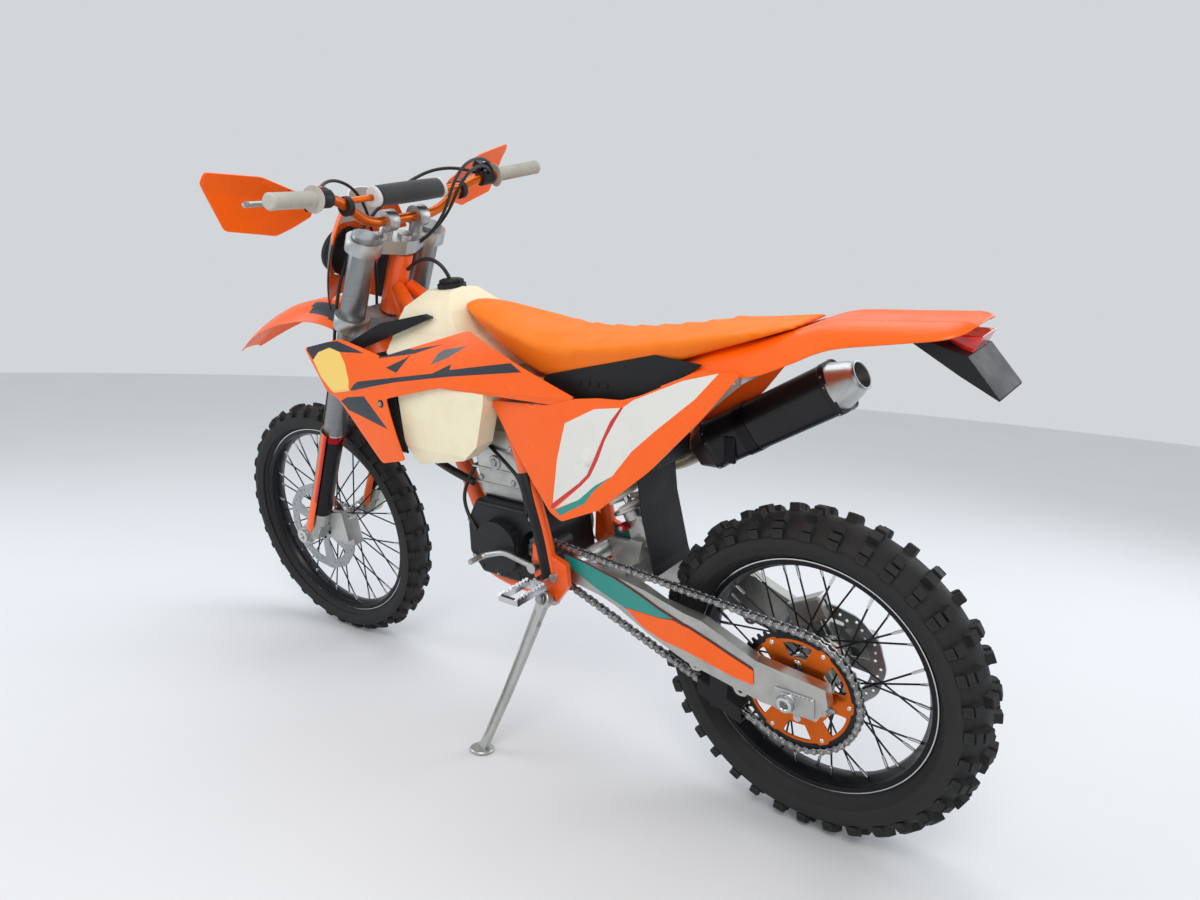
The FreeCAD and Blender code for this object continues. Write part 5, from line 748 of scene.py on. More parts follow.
@dataclass
class Sheet:
    """A thin moulded panel: an outline in a plane and a height over it.

    The panel is drawn in a plane of u and v, and height(u, v) lifts each point along the third
    direction. to_space turns u, v and the height into the frame's X, Y and Z.
    """

    name: str
    outline: Outline
    height: Callable[[float, float], float]
    look: Look
    to_space: Callable[[float, float, float], Point]
    thick: float = 3.0
    grid: float = 14.0
    rounding: float = 8.0
    decals: list[Decal] = field(default_factory=list)

    def cut_lines(self) -> tuple[list[float], list[float]]:
        """The places of the grid's cuts in u and in v."""
        us = [u for u, _ in self.outline]
        vs = [v for _, v in self.outline]
        return ([min(us) + self.grid * (i + 0.5) for i in range(int((max(us) - min(us)) / self.grid))],
                [min(vs) + self.grid * (i + 0.5) for i in range(int((max(vs) - min(vs)) / self.grid))])

    def flat(self) -> bmesh.types.BMesh:
        """The flat panel, cut into a grid; paint cuts each decal's edges later."""
        mesh = filled(self.name, [rounded_outline(self.outline, self.rounding)])
        work = bmesh.new()
        work.from_mesh(mesh)
        bpy.data.meshes.remove(mesh)
        bmesh.ops.remove_doubles(work, verts=work.verts, dist=0.01)
        for face in work.faces:
            face.normal_update()
            if face.normal.z < 0:
                face.normal_flip()
        columns, rows = self.cut_lines()
        cuts = [(Vector((u, 0, 0)), Vector((1, 0, 0))) for u in columns]
        cuts += [(Vector((0, v, 0)), Vector((0, 1, 0))) for v in rows]
        for place, normal in cuts:
            bmesh.ops.bisect_plane(work, geom=work.verts[:] + work.edges[:] + work.faces[:],
                                   plane_co=place, plane_no=normal, dist=1e-4)
        return work

    def paint(self, work: bmesh.types.BMesh) -> None:
        """Cuts each decal's edges into the flat panel and marks its faces."""
        for number, decal in enumerate(self.decals, start=1):
            corners = [Vector((u, v, 0)) for u, v in decal.outline]
            low = Vector((min(c.x for c in corners), min(c.y for c in corners), 0))
            high = Vector((max(c.x for c in corners), max(c.y for c in corners), 0))
            reach = self.grid * 1.5
            for index, start in enumerate(corners):
                end = corners[(index + 1) % len(corners)]
                along = (end - start).normalized()
                near = [face for face in work.faces
                        if low.x - reach < face.calc_center_median().x < high.x + reach
                        and low.y - reach < face.calc_center_median().y < high.y + reach]
                parts = set(near)
                for face in near:
                    parts.update(face.edges)
                    parts.update(face.verts)
                bmesh.ops.bisect_plane(work, geom=list(parts), plane_co=start, dist=1e-4,
                                       plane_no=Vector((-along.y, along.x, 0)))
            for face in work.faces:
                if inside(face.calc_center_median(), decal.outline):
                    face.material_index = number

    def build(self, place: Matrix, body: Body, stands_for: Sequence[str], slot: str) -> None:
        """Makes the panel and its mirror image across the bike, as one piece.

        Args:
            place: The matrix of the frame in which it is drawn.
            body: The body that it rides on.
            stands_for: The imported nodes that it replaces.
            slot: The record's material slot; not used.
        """
        work = self.flat()
        self.paint(work)
        bmesh.ops.triangulate(work, faces=[f for f in work.faces if len(f.verts) > 4])
        for vert in work.verts:
            u, v = vert.co.x, vert.co.y
            vert.co = Vector(self.to_space(u, v, self.height(u, v)))
        copied = bmesh.ops.duplicate(work, geom=work.verts[:] + work.edges[:] + work.faces[:])["geom"]
        for part in copied:
            if isinstance(part, bmesh.types.BMVert):
                part.co.y = -part.co.y
        bmesh.ops.reverse_faces(work, faces=[f for f in copied if isinstance(f, bmesh.types.BMFace)])
        mesh = bpy.data.meshes.new(self.name)
        work.to_mesh(mesh)
        work.free()
        mesh.transform(place)
        mesh.transform(Matrix.Scale(MM, 4))
        for look in [self.look] + [decal.look for decal in self.decals]:
            mesh.materials.append(look.material())
        mesh.polygons.foreach_set("use_smooth", [True] * len(mesh.polygons))
        piece = settle(bpy.data.objects.new(self.name, mesh), body, stands_for)
        wall = piece.modifiers.new("wall", "SOLIDIFY")
        wall.thickness = self.thick * MM
        wall.offset = -1 if self.to_space(0, 0, 1)[1] >= self.to_space(0, 0, 0)[1] else 1
        wall.use_even_offset = False
        soften(piece, self.thick * 0.25, 60)


def inside(place: Vector, outline: Outline) -> bool:
    """Whether a place lies in a closed outline.

    Args:
        place: The place; its first two values count.
        outline: The outline's corners.

    Returns:
        True inside.
    """
    hit, count = False, len(outline)
    for index in range(count):
        (x0, y0), (x1, y1) = outline[index - 1], outline[index]
        if (y0 > place.y) != (y1 > place.y):
            if place.x < (x1 - x0) * (place.y - y0) / (y1 - y0) + x0:
                hit = not hit
    return hit


def surface(rows: Sequence[tuple[float, Sequence[tuple[float, float]]]]) -> Callable[[float, float], float]:
    """A smooth height over a plane from a few rows of control places.

    Args:
        rows: For each v, the u and height of places along that row.

    Returns:
        A function of u and v.
    """
    fits = [(v, np.polyfit([u for u, _ in row], [h for _, h in row], min(len(row) - 1, 4)))
            for v, row in rows]

    def height(u: float, v: float) -> float:
        """The height at a place."""
        values = [float(np.polyval(fit, u)) for _, fit in fits]
        levels = [level for level, _ in fits]
        total = 0.0
        for i, value in enumerate(values):
            weight = 1.0
            for j, level in enumerate(levels):
                if j != i:
                    weight *= (v - level) / (levels[i] - level)
            total += value * weight
        return total

    return height


@dataclass
class Tyre:
    """A knobbly tyre: side walls, a round crown and rows of blocks with sipes on their sides."""

    end: str = "rear"
    place: Matrix = field(default_factory=lambda: REAR)
    body: Body = Body.REAR
    radius: float = 334
    half: float = 60
    drop: float = 25
    bulge: float = 275
    wide: float = 62
    bead: float = 231.3
    bead_half: float = 27
    lip: float = 241.5
    deep: float = 15
    rows: int = 36
    block: float = 21

    def crown(self) -> float:
        """The radius of the crown's arc, out to the blocks' tips."""
        return (self.half ** 2 + self.drop ** 2) / (2 * self.drop)

    def on_crown(self, turn: float, across: float, high: float) -> Vector:
        """A place on the tread.

        Args:
            turn: The angle round the wheel.
            across: The arc's angle from the middle.
            high: The height over the carcass.

        Returns:
            The place in the wheel's frame.
        """
        arc = self.crown()
        size = arc - self.deep + high
        out = self.radius - arc + size * math.cos(across)
        return Vector((out * math.cos(turn), size * math.sin(across), out * math.sin(turn)))

    def carcass(self, form: Form) -> None:
        """Draws the side walls, their moulded rings and the crown between the blocks."""
        arc = self.crown()
        edge = math.asin(self.half / arc)
        size = arc - self.deep
        crown = [(self.radius - arc + size * math.cos(edge * t / 8), size * math.sin(edge * t / 8))
                 for t in range(9)]
        shoulder = crown[-1]
        side = [(shoulder[0] - 6, shoulder[1] + 3.5), (self.bulge + 14, self.wide - 2),
                (self.bulge, self.wide - 0.6), (self.bulge - 3, self.wide - 1.8),
                (self.bulge - 16, self.wide - 6), (self.lip + 9, self.bead_half + 12),
                (self.lip + 6, self.bead_half + 9.5), (self.lip + 4, self.bead_half + 7),
                (self.lip + 1, self.bead_half + 2), (self.lip, self.bead_half),
                (self.bead, self.bead_half)]
        half = crown + side
        profile = [(r, -y) for r, y in reversed(half[1:])] + half
        form.lathe(profile, Look.TYRE, 180)

    def add_block(self, form: Form, turn: float, across: float, long: float, wide: float,
                  skew: float = 0.0, side: int = 0) -> None:
        """Draws one block with a broad foot, a bevelled top and a sipe.

        Args:
            form: The form that gets it.
            turn: Its angle round the wheel.
            across: Its angle across the crown.
            long: Its length round the wheel.
            wide: Its width across.
            skew: How far its outer end is moved round the wheel.
            side: 1 or -1 where the block stands on a shoulder, else 0.
        """
        arc = self.crown()
        levels = ((0.0, 1.22), (self.deep * 0.3, 1.06), (self.deep - 1.2, 1.0), (self.deep, 0.9))
        rings = []
        for high, grow in levels:
            ring = []
            for a, b in ((-1, -1), (1, -1), (1, 1), (-1, 1)):
                offset = b * wide * grow / 2 / arc
                limit = math.asin(self.half / arc)
                place = max(-limit, min(limit, across + offset))
                shift = a * long * grow / 2 + skew * b * (1 if across >= 0 else -1)
                ring.append(self.on_crown(turn + shift / self.radius, place, high))
            rings.append(ring)
        form.skin(rings, Look.TYRE)
        if side:
            limit = math.asin(self.half / arc)
            top = [self.on_crown(turn + a * long / 2 / self.radius, side * limit, self.deep - 2)
                   for a in (-1, 1)]
            low = [Vector((p.x * k, 0, p.z * k)) + Vector((0, side * (self.wide - 1.4), 0))
                   for p in top for k in ((self.bulge + 16) / math.hypot(p.x, p.z),)]
            inner = [self.on_crown(turn + a * long / 2 / self.radius, side * limit * 0.86, -1)
                     for a in (-1, 1)]
            form.add([top[0], top[1], low[1], low[0], inner[0], inner[1]],
                     [(0, 1, 2, 3), (0, 3, 4), (1, 5, 2), (3, 2, 5, 4), (0, 4, 5, 1)], Look.TYRE)
            out = Vector((0, side * 0.9, 0))
            window = [top[0].lerp(top[1], 0.3), top[0].lerp(top[1], 0.7)]
            base = [low[0].lerp(low[1], 0.3), low[0].lerp(low[1], 0.7)]
            quad = [window[0].lerp(base[0], 0.2), window[1].lerp(base[1], 0.2),
                    window[1].lerp(base[1], 0.5), window[0].lerp(base[0], 0.5)]
            form.add([p + out * 0.5 for p in quad] + [p - out for p in quad],
                     [(0, 1, 5, 4), (1, 2, 6, 5), (2, 3, 7, 6), (3, 0, 4, 7), (4, 5, 6, 7)],
                     Look.TYRE)

    def build(self) -> None:
        """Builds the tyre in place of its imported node."""
        form = Form(f"{self.end}_tyre_blocks")
        self.carcass(form)
        step = 2 * math.pi / self.rows
        limit = math.asin(self.half / self.crown())
        for row in range(self.rows):
            turn = row * step
            if row % 2:
                for side in (1, -1):
                    self.add_block(form, turn, side * limit * 0.24, self.block, self.block * 1.02)
                    self.add_block(form, turn + step * 0.06, side * limit * 0.83, self.block * 0.95,
                                   self.block * 0.8, side=side)
            else:
                for side in (1, -1):
                    self.add_block(form, turn, side * limit * 0.53, self.block * 0.92,
                                   self.block * 1.05, skew=1.5)
                    self.add_block(form, turn, side * limit * 0.86, self.block * 1.1,
                                   self.block * 0.62, side=side)
        form.finished(self.place, self.body, (f"{self.end}_tyre",), "tyre", 28)


@dataclass
class Rim:
    """A black anodised rim with a rolled lip, a dropped centre and bright spoke nipples."""

    end: str = "rear"
    place: Matrix = field(default_factory=lambda: REAR)
    body: Body = Body.REAR
    lip: float = 241
    half: float = 30
    seat: float = 231
    inside: float = 27
    well: float = 13
    well_half: float = 14
    wall: float = 5
    flange: float = 52
    flange_place: float = 36
    pairs: int = 9
    sweep: float = 56
    inset: float = 5
    spoke: float = 1.9

    def build(self) -> None:
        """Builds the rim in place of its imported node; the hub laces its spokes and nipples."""
        edge, seat = self.inside + 0.3, self.seat
        upper = [(self.lip - 0.8, self.half), (self.lip, self.half - 0.9), (self.lip, edge + 0.6),
                 (self.lip - 0.6, edge), (seat, edge), (seat, self.well_half + self.wall),
                 (seat - self.well + self.wall, self.well_half - self.wall)]
        lower = [(seat - self.well, -self.well_half + self.wall),
                 (seat - self.wall - 1, -self.well_half - self.wall),
                 (seat - self.wall, -self.half + 6), (seat - 2.5, -self.half + 0.6),
                 (seat - 0.5, -self.half)]
        profile = (upper + [(r, -y) for r, y in reversed(upper)]
                   + [(r, y) for r, y in reversed(lower)] + [(r, -y) for r, y in lower])
        rim = Form(f"{self.end}_rim_ring")
        rim.lathe(profile, Look.DARK_ALLOY, 200)
        for side in (1, -1):
            line = [(self.lip - 3.2, side * (self.half - 0.4)), (self.lip - 0.7, side * (self.half - 0.4)),
                    (self.lip - 0.9, side * (self.half + 0.15)), (self.lip - 3, side * (self.half + 0.15))]
            rim.lathe(line, Look.BRIGHT_STEEL, 200)
        rim.finished(self.place, self.body, (f"{self.end}_rim",), "black_rim", 40)

    def spoke_lines(self) -> list[tuple[Vector, Vector]]:
        """Each spoke's inner and outer end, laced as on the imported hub."""
        lines, step = [], 360 / (4 * self.pairs)
        outside = self.seat - self.well - 0.3
        for side in (1, -1):
            for pair in range(self.pairs):
                for sense in (1, -1):
                    first = 4 * step * pair + (0 if side > 0 else step)
                    turn = first if sense > 0 else first + 2 * step
                    inner = polar(self.flange - self.inset, turn + sense * self.sweep,
                                  side * self.flange_place + sense * self.inset * 0.8)
                    outer = polar(outside, turn, side * (self.well_half - self.wall))
                    lines.append((inner, outer))
        return lines

    def lace(self, form: Form) -> None:
        """Draws spokes with bright nipples at the rim and bent heads at the hub."""
        for inner, outer in self.spoke_lines():
            back = (inner - outer).normalized()
            form.rod(inner, outer + back * 8, self.spoke, Look.DARK_STEEL, 10, 0.3)
            form.rod(outer + back * 19, outer - back * 0.5, 3.1, Look.BRIGHT_STEEL, 8, 0.5)
            form.rod(outer + back * 24, outer + back * 19, 2.6, Look.BRIGHT_STEEL, 8, 0.5)
            form.rod(inner, inner + Vector((0, -3 if inner.y > 0 else 3, 0)), 3.0,
                     Look.BRIGHT_STEEL, 10, 0.5)


@dataclass
class Hub:
    """A machined hub with spoke flanges, seals and bolt bosses, and its laced spokes."""

    rim: Rim
    profile: Outline
    bolts: float
    bolt_face: float
    bolt_count: int = 6

    def build(self) -> None:
        """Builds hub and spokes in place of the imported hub."""
        form = Form(f"{self.rim.end}_hub_laced")
        form.lathe(self.profile, Look.CAST_ALLOY, 72)
        self.rim.lace(form)
        sign = 1 if self.bolt_face > 0 else -1
        for corner in circle(self.bolts, self.bolt_count, turn=30):
            form.bolt((corner[0], self.bolt_face, corner[1]), (0, sign, 0), 5.2, Look.STEEL, 4)
        reach, out = self.rim.flange - 12, self.rim.flange_place
        for turn in range(0, 360, 30):
            for side in (1, -1):
                form.rod(polar(reach * 0.52, turn, side * (out - 11)), polar(reach, turn, side * (out - 3.4)),
                         2.2, Look.CAST_ALLOY, 8, 0.4)
        form.finished(self.rim.place, self.rim.body, (f"{self.rim.end}_hub",), "hub_alloy", 32)


def stencil(name: str, outer: Outline, holes: Sequence[Outline], low: float, high: float,
            look: Look, chamfer: float = 0.8) -> Form:
    """A flat plate with holes, standing in X and Z between two places along Y.

    Args:
        name: The piece's name.
        outer: Its outline.
        holes: The outlines of its holes.
        low: The lower Y.
        high: The higher Y.
        look: The finish.
        chamfer: How wide its cut edges are.

    Returns:
        A form with the plate in it.
    """
    mesh = filled(name, [outer, *holes], high - low, chamfer)
    form = Form(name)
    middle = (low + high) / 2
    form.add([(v.co.x, middle + v.co.z, v.co.y) for v in mesh.vertices],
             [tuple(p.vertices) for p in mesh.polygons], look)
    bpy.data.meshes.remove(mesh)
    return form


@dataclass
class Sprocket:
    """The orange spider with six windows, riveted to a dark toothed ring."""

    teeth: int = 48
    pitch: float = 15.875
    plane: float = 80
    wide: float = 6
    bore: float = 50
    bolt_circle: float = 57
    rivet_circle: float = 101
    root_depth: float = 5.4
    tip_height: float = 2.6
    arms: int = 6

    def pitch_radius(self) -> float:
        """The circle of the chain's pins."""
        return self.pitch / (2 * math.sin(math.pi / self.teeth))

    def build(self) -> None:
        """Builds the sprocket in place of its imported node."""
        reach = self.pitch_radius()
        root, tip = reach - self.root_depth, reach + self.tip_height
        toothed = [at_angle(radius, 360 * (tooth + 0.5 + share) / self.teeth)
                   for tooth in range(self.teeth)
                   for share, radius in ((-0.26, root), (-0.1, tip), (0.1, tip), (0.26, root))]
        low, high = self.plane - self.wide / 2, self.plane + self.wide / 2
        form = stencil("rear_sprocket_spider", toothed, [circle(root - 13, 96)], low + 0.6, high - 0.6,
                       Look.DARK_STEEL, 0.6)
        step = 360 / self.arms
        windows = [arc_window(root - 17, self.bore + 19, step * arm + 13, step * arm + 47, 4, 6)
                   for arm in range(self.arms)]
        spider = []
        for number in range(144):
            turn = 360 * number / 144
            at_arm = abs((turn + step / 2) % step - step / 2) < 7
            spider.append(at_angle(root - 6.2 if at_arm else root - 10.5, turn))
        form.take(stencil("spider", spider, windows + [circle(self.bore, 72)], high - 3.4, high + 0.2,
                          Look.ORANGE_ALLOY, 0.9))
        out, steel = Vector((0, 1, 0)), Look.BRIGHT_STEEL
        for arm in range(self.arms):
            rivet = polar(self.rivet_circle, step * arm, high)
            form.rod(rivet - out * 2, rivet + out * 1.6, 4.6, steel, 18, 0.8)
            screw = polar(self.bolt_circle, step * (arm + 0.5), high)
            form.rod(screw - out * 2, screw + out * 1.2, 8, steel, 22, 0.6)
            form.rod(screw, screw + out * 2.6, 5.2, steel, 6, 0.6)
        form.finished(REAR, Body.REAR, ("rear_sprocket",), "anodised_orange", 30)


def heading(turn: float) -> Vector:
    """The flat unit vector at an angle in radians."""
    return Vector((math.cos(turn), math.sin(turn)))


@dataclass
class Chain:
    """The roller chain, one fixed loop of link plates, rollers and bright pins."""

    ahead: float = 612
    high: float = 482
    rear_reach: float = 121.4
    front_reach: float = 33.17
    pitch: float = 15.875
    plane: float = 80
    plate_half: float = 6.3
    inner_plate: tuple[float, float] = (3.4, 5.2)
    outer_plate: tuple[float, float] = (5.4, 7.3)

    def stations(self) -> list[Vector]:
        """Each pin's place in X and Z."""
        rear, front = Vector((0, STANCE.axle_datum)), Vector((self.ahead, self.high))
        span = front - rear
        turn = math.atan2(span.y, span.x)
        opening = math.acos((self.rear_reach - self.front_reach) / span.length)
        high, low = turn + opening, turn - opening
        run = math.sqrt(span.length ** 2 - (self.rear_reach - self.front_reach) ** 2)
        front_arc = self.front_reach * 2 * opening
        rear_arc = self.rear_reach * (2 * math.pi - 2 * opening)
        total = 2 * run + front_arc + rear_arc
        count = round(total / self.pitch / 2) * 2
        made = []
        for number in range(count):
            along = total * number / count
            if along < run:
                place = rear + self.rear_reach * heading(high) + along * heading(high - math.pi / 2)
            elif along < run + front_arc:
                place = front + self.front_reach * heading(high - (along - run) / self.front_reach)
            elif along < 2 * run + front_arc:
                place = (front + self.front_reach * heading(low)
                         + (along - run - front_arc) * heading(low - math.pi / 2))
            else:
                angle = low - (along - 2 * run - front_arc) / self.rear_reach
                place = rear + self.rear_reach * heading(angle)
            made.append(place)
        return made

    def build(self) -> None:
        """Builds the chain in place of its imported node."""
        form = Form("chain_links")
        stations = self.stations()
        half = self.pitch / 2
        for number, place in enumerate(stations):
            other = stations[(number + 1) % len(stations)]
            middle, way = (place + other) / 2, (other - place)
            turn = Matrix.Rotation(-math.atan2(way.y, way.x), 4, "Y")
            where = Matrix.Translation((middle.x, self.plane, middle.y)) @ turn
            outline = []
            for centre, start in ((half, -90), (-half, 90)):
                for x, z in (at_angle(self.plate_half, start + 30 * step) for step in range(7)):
                    outline.append((centre + x, z))
                outline.append((0, self.plate_half * 0.62 * (1 if centre > 0 else -1)))
            near, far = self.inner_plate if number % 2 else self.outer_plate
            for side in (1, -1):
                low, high = sorted((side * near, side * far))
                form.prism(outline, low, high, Look.CHAIN_STEEL, 0.5, where)
            pin = Matrix.Translation((place.x, self.plane, place.y))
            form.rod((0, -7.5, 0), (0, 7.5, 0), 2.5, Look.GOLD_STEEL, 12, 0.5, pin)
            form.rod((0, -3.2, 0), (0, 3.2, 0), 4.4, Look.CHAIN_STEEL, 12, 0.4, pin)
        form.finished(BIKE, Body.CHASSIS, ("chain",), "chain_steel", 35)


def dress(node: str, look: Look, edge: float = 0.7, segments: int = 2) -> bpy.types.Object:
    """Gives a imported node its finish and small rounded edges.

    Args:
        node: The node's name.
        look: Its finish.
        edge: The width of its rounded edges, or 0 for none.
        segments: The steps round each rounded edge.

    Returns:
        The node's object.
    """
    piece = frame["nodes"][node]
    piece.data.materials.clear()
    piece.data.materials.append(look.material())
    if edge:
        weld = piece.modifiers.new("weld", "WELD")
        weld.merge_threshold = 0.02 * MM
        soften(piece, edge, 38, segments).harden_normals = True
    log.info("%s: carried over", node)
    return piece


@dataclass
class Studio:
    """A pale floor, soft lights and the photograph's camera."""

    camera_place: Point3 = (-1.3934, 1.3530, 0.9877)
    yaw: float = -52.419
    pitch: float = 9.043
    roll: float = 3.373
    lens: float = 26.88
    floor_radius: float = 9000
    floor_drop: float = 0.6
    lamps: tuple[tuple[str, Point3, float, float, str], ...] = (
        ("key_light", (-1.9, 2.6, 3.0), 1.7, 58, "fffaf2"),
        ("top_light", (0.4, -0.6, 3.6), 2.6, 34, "f4f8ff"),
        ("front_light", (2.9, 1.9, 1.7), 1.4, 22, "eef4ff"),
        ("back_light", (-1.6, -2.9, 2.2), 1.8, 26, "f6f9ff"),
    )

    def camera(self) -> None:
        """Sets the scene's camera at the photograph's angle."""
        yaw, pitch, roll = (math.radians(a) for a in (self.yaw, self.pitch, self.roll))
        ahead = Vector((math.cos(yaw) * math.cos(pitch), math.sin(yaw) * math.cos(pitch),
                        -math.sin(pitch)))
        right = ahead.cross(Vector((0, 0, 1))).normalized()
        up = right.cross(ahead)
        across = right * math.cos(roll) + up * math.sin(roll)
        upward = up * math.cos(roll) - right * math.sin(roll)
        data = bpy.data.cameras.new("photo_camera")
        data.lens, data.sensor_width = self.lens, 36
        camera = bpy.data.objects.new("photo_camera", data)
        turned = Matrix((across, upward, -ahead)).transposed().to_4x4()
        camera.matrix_world = Matrix.Translation(self.camera_place) @ turned
        bpy.context.scene.collection.objects.link(camera)
        bpy.context.scene.camera = camera

    def lamp(self, name: str, place: Point, size: float, power: float, colour: str) -> None:
        """Hangs one square soft light that faces the bike."""
        data = bpy.data.lights.new(name, "AREA")
        data.shape, data.size, data.energy = "SQUARE", size, power
        data.color = linear(colour)[:3]
        light = bpy.data.objects.new(name, data)
        light.location = place
        light.rotation_euler = (Vector((0, 0, 0.55)) - Vector(place)).to_track_quat("-Z", "Y").to_euler()
        bpy.context.scene.collection.objects.link(light)

    def build(self) -> None:
        """Builds the floor, the lights, the background and the camera."""
        scene = bpy.context.scene
        scene.view_settings.view_transform = "Standard"
        corners = [Vector((x, y, -self.floor_drop)) * MM for x, y in circle(self.floor_radius, 96)]
        mesh = bpy.data.meshes.new("studio_floor")
        mesh.from_pydata(corners, [], [tuple(range(len(corners)))])
        mesh.materials.append(Look.FLOOR.material())
        floor = bpy.data.objects.new("studio_floor", mesh)
        scene.collection.objects.link(floor)
        floor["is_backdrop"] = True
        world = bpy.data.worlds.new("studio")
        world.use_nodes = True
        scene.world = world
        tree = world.node_tree
        tree.nodes.clear()
        lit = add_node(tree, "ShaderNodeBackground", {"Color": linear("d3d6d9"), "Strength": 1.0})
        add_node(tree, "ShaderNodeOutputWorld", None, {"Surface": lit.outputs[0]})
        for lamp in self.lamps:
            self.lamp(*lamp)
        self.camera()


@dataclass
class Swingarm:
    """The formed arm with its vinyl bands, guide lugs, axle blocks, bolts and nuts."""

    outside: float = 119.2
    axle_high: float = STANCE.axle_datum
    bend: tuple[float, float, float] = (219.2, 411.0, 0.1667)
    print_outline: Outline = (
        (541, 500), (486, 492), (435, 480), (372, 468), (329, 459), (288, 448), (248, 441), (209, 434),
        (159, 418), (118, 403), (70, 387), (69, 352), (119, 357), (169, 368), (220, 378), (281, 378),
        (334, 388), (376, 413), (410, 419), (459, 436), (509, 460), (541, 476),
    )
    teal: Outline = (
        (550, 497), (486, 488), (435, 476), (372, 464), (329, 455), (288, 444), (247, 437), (279, 427),
        (321, 422), (376, 416), (410, 410), (459, 427), (509, 451), (550, 470),
    )
    orange: Outline = (
        (376, 415), (321, 421), (279, 426), (248, 434), (209, 430), (159, 414), (118, 399), (60, 380),
        (60, 345), (119, 350), (169, 361), (220, 371), (281, 371), (334, 381), (378, 408),
    )
    lugs: Outline = ((202, 344), (103, 322))

    def face(self, x: float, _: float) -> float:
        """How far out the arm's side stands, past its bend, with the vinyl's own thickness."""
        near, far, slope = self.bend
        return self.outside + 0.8 - slope * (max(near, min(x, far)) - near)

    def build(self) -> None:
        """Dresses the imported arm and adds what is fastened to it."""
        dress("swingarm", Look.CAST_ALLOY, 2.5)
        Sheet("swingarm_print", self.print_outline, self.face, Look.DARK_RED, upright,
              1.0, 14, 5, [Decal(self.teal, Look.TEAL_VINYL), Decal(self.orange, Look.ORANGE_PLASTIC)]
              ).build(BIKE, Body.CHASSIS, (), "cast_alloy")
        form = Form("swingarm_fittings")
        for side in (1, -1):
            for x, z in self.lugs:
                ear = [(x - 26, z + 16), (x - 9, z - 10), (x + 9, z - 10), (x + 26, z + 20)]
                low, high = sorted((side * 103, side * 111))
                form.take(stencil("guide_lug", rounded_outline(ear, 7, 4), [circle(4.2, 24, (x, z))],
                                  low, high, Look.CAST_ALLOY, 0.9))
            plate = [(-52, 322), (24, 320), (34, self.axle_high), (24, 366), (-52, 364)]
            form.prism(rounded_outline(plate, 5), *sorted((side * 118.4, side * 123)),
                       Look.BRUSHED_ALLOY, 1.0)
            form.block((-70, side * 106 - 9, 330), (-50, side * 106 + 9, 356), Look.BRUSHED_ALLOY, 1.5)
            for rear, front, radius, corners in ((-86, -66, 4.2, 16), (-80, -72, 7, 6)):
                form.rod((rear, side * 106, self.axle_high), (front, side * 106, self.axle_high),
                         radius, Look.STEEL, corners, 0.8)
            for notch in range(6):
                x = -44 + 8 * notch
                form.block((x, side * 123 - 0.5, 361), (x + 1.2, side * 123 + 0.6, 364), Look.DARK_ALLOY, 0.1)
        turned = Matrix.Translation((0, 0, self.axle_high))
        form.lathe([(8.2, 127), (15, 127), (15, 136.4), (12.6, 137.6), (9.4, 137.6), (8.2, 136.4)],
                   Look.BRIGHT_STEEL, 36, turned)
        axle = (0, self.axle_high)
        form.take(stencil("axle_nut", circle(18.5, 6, axle, 30), [circle(12, 36, axle)], 127.6, 135,
                          Look.STEEL, 0.9))
        form.finished(BIKE, Body.CHASSIS, (), "cast_alloy", 32)


def arc_rows(sections: Sequence[tuple[float, float, float, float, float]], steps: int = 18,
             sharp: float = 1.0) -> list[list[Vector]]:
    """Arched rows across the bike, each from its left edge over the crest to its right edge.

    Args:
        sections: For each row X, the crest's Z, the half width, the depth and the flat share.
        steps: Pieces across each row.
        sharp: Half the power with which each row falls away.

    Returns:
        The rows of places.
    """
    rows = []
    for x, z, half, drop, flat in sections:
        row = []
        for step in range(steps + 1):
            across = 1 - 2 * step / steps
            beyond = max(0.0, (abs(across) - flat) / max(1 - flat, 1e-3))
            row.append(Vector((x, half * across, z - drop * beyond ** (2 * sharp))))
        rows.append(row)
    return rows


def interpolated(sections: Sequence[Sequence[float]], steps: int) -> list[list[float]]:
    """Smoothly filled-in rows of numbers between given ones."""
    rows = []
    ends = [sections[0]] + list(sections) + [sections[-1]]
    for a, b, c, d in zip(ends, ends[1:], ends[2:], ends[3:]):
        for step in range(steps):
            t = step / steps
            rows.append([0.5 * (2 * q + (r - p) * t + (2 * p - 5 * q + 4 * r - s) * t * t
                                + (3 * q - p - 3 * r + s) * t ** 3) for p, q, r, s in zip(a, b, c, d)])
    rows.append(list(sections[-1]))
    return rows


@dataclass
class Shell:
    """A thin moulded shell over rows of places, with a rolled edge."""

    name: str
    rows: Sequence[Sequence[Vector]]
    look: Look
    thick: float = 3.2
    paint: Optional[Callable[[Vector], Optional[Look]]] = None

    def build(self, place: Matrix, body: Body, stands_for: Sequence[str], slot: str) -> bpy.types.Object:
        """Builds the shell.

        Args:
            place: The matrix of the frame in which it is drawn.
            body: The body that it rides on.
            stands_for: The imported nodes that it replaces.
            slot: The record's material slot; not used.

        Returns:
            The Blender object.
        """
        count = len(self.rows[0])
        points = [p for row in self.rows for p in row]
        faces, looks = [], []
        for i in range(len(self.rows) - 1):
            for j in range(count - 1):
                face = (i * count + j, i * count + j + 1, (i + 1) * count + j + 1, (i + 1) * count + j)
                middle = sum((points[k] for k in face), Vector()) / 4
                faces.append(face)
                looks.append((self.paint(middle) if self.paint else None) or self.look)
        form = Form(self.name)
        form.points = [Vector(p) for p in points]
        form.faces = list(zip([list(f) for f in faces], looks))
        piece = form.finished(place, body, stands_for, slot, 50)
        wall = piece.modifiers.new("wall", "SOLIDIFY")
        wall.thickness, wall.offset = self.thick * MM, 0.0
        soften(piece, self.thick * 0.22, 60)
        return piece


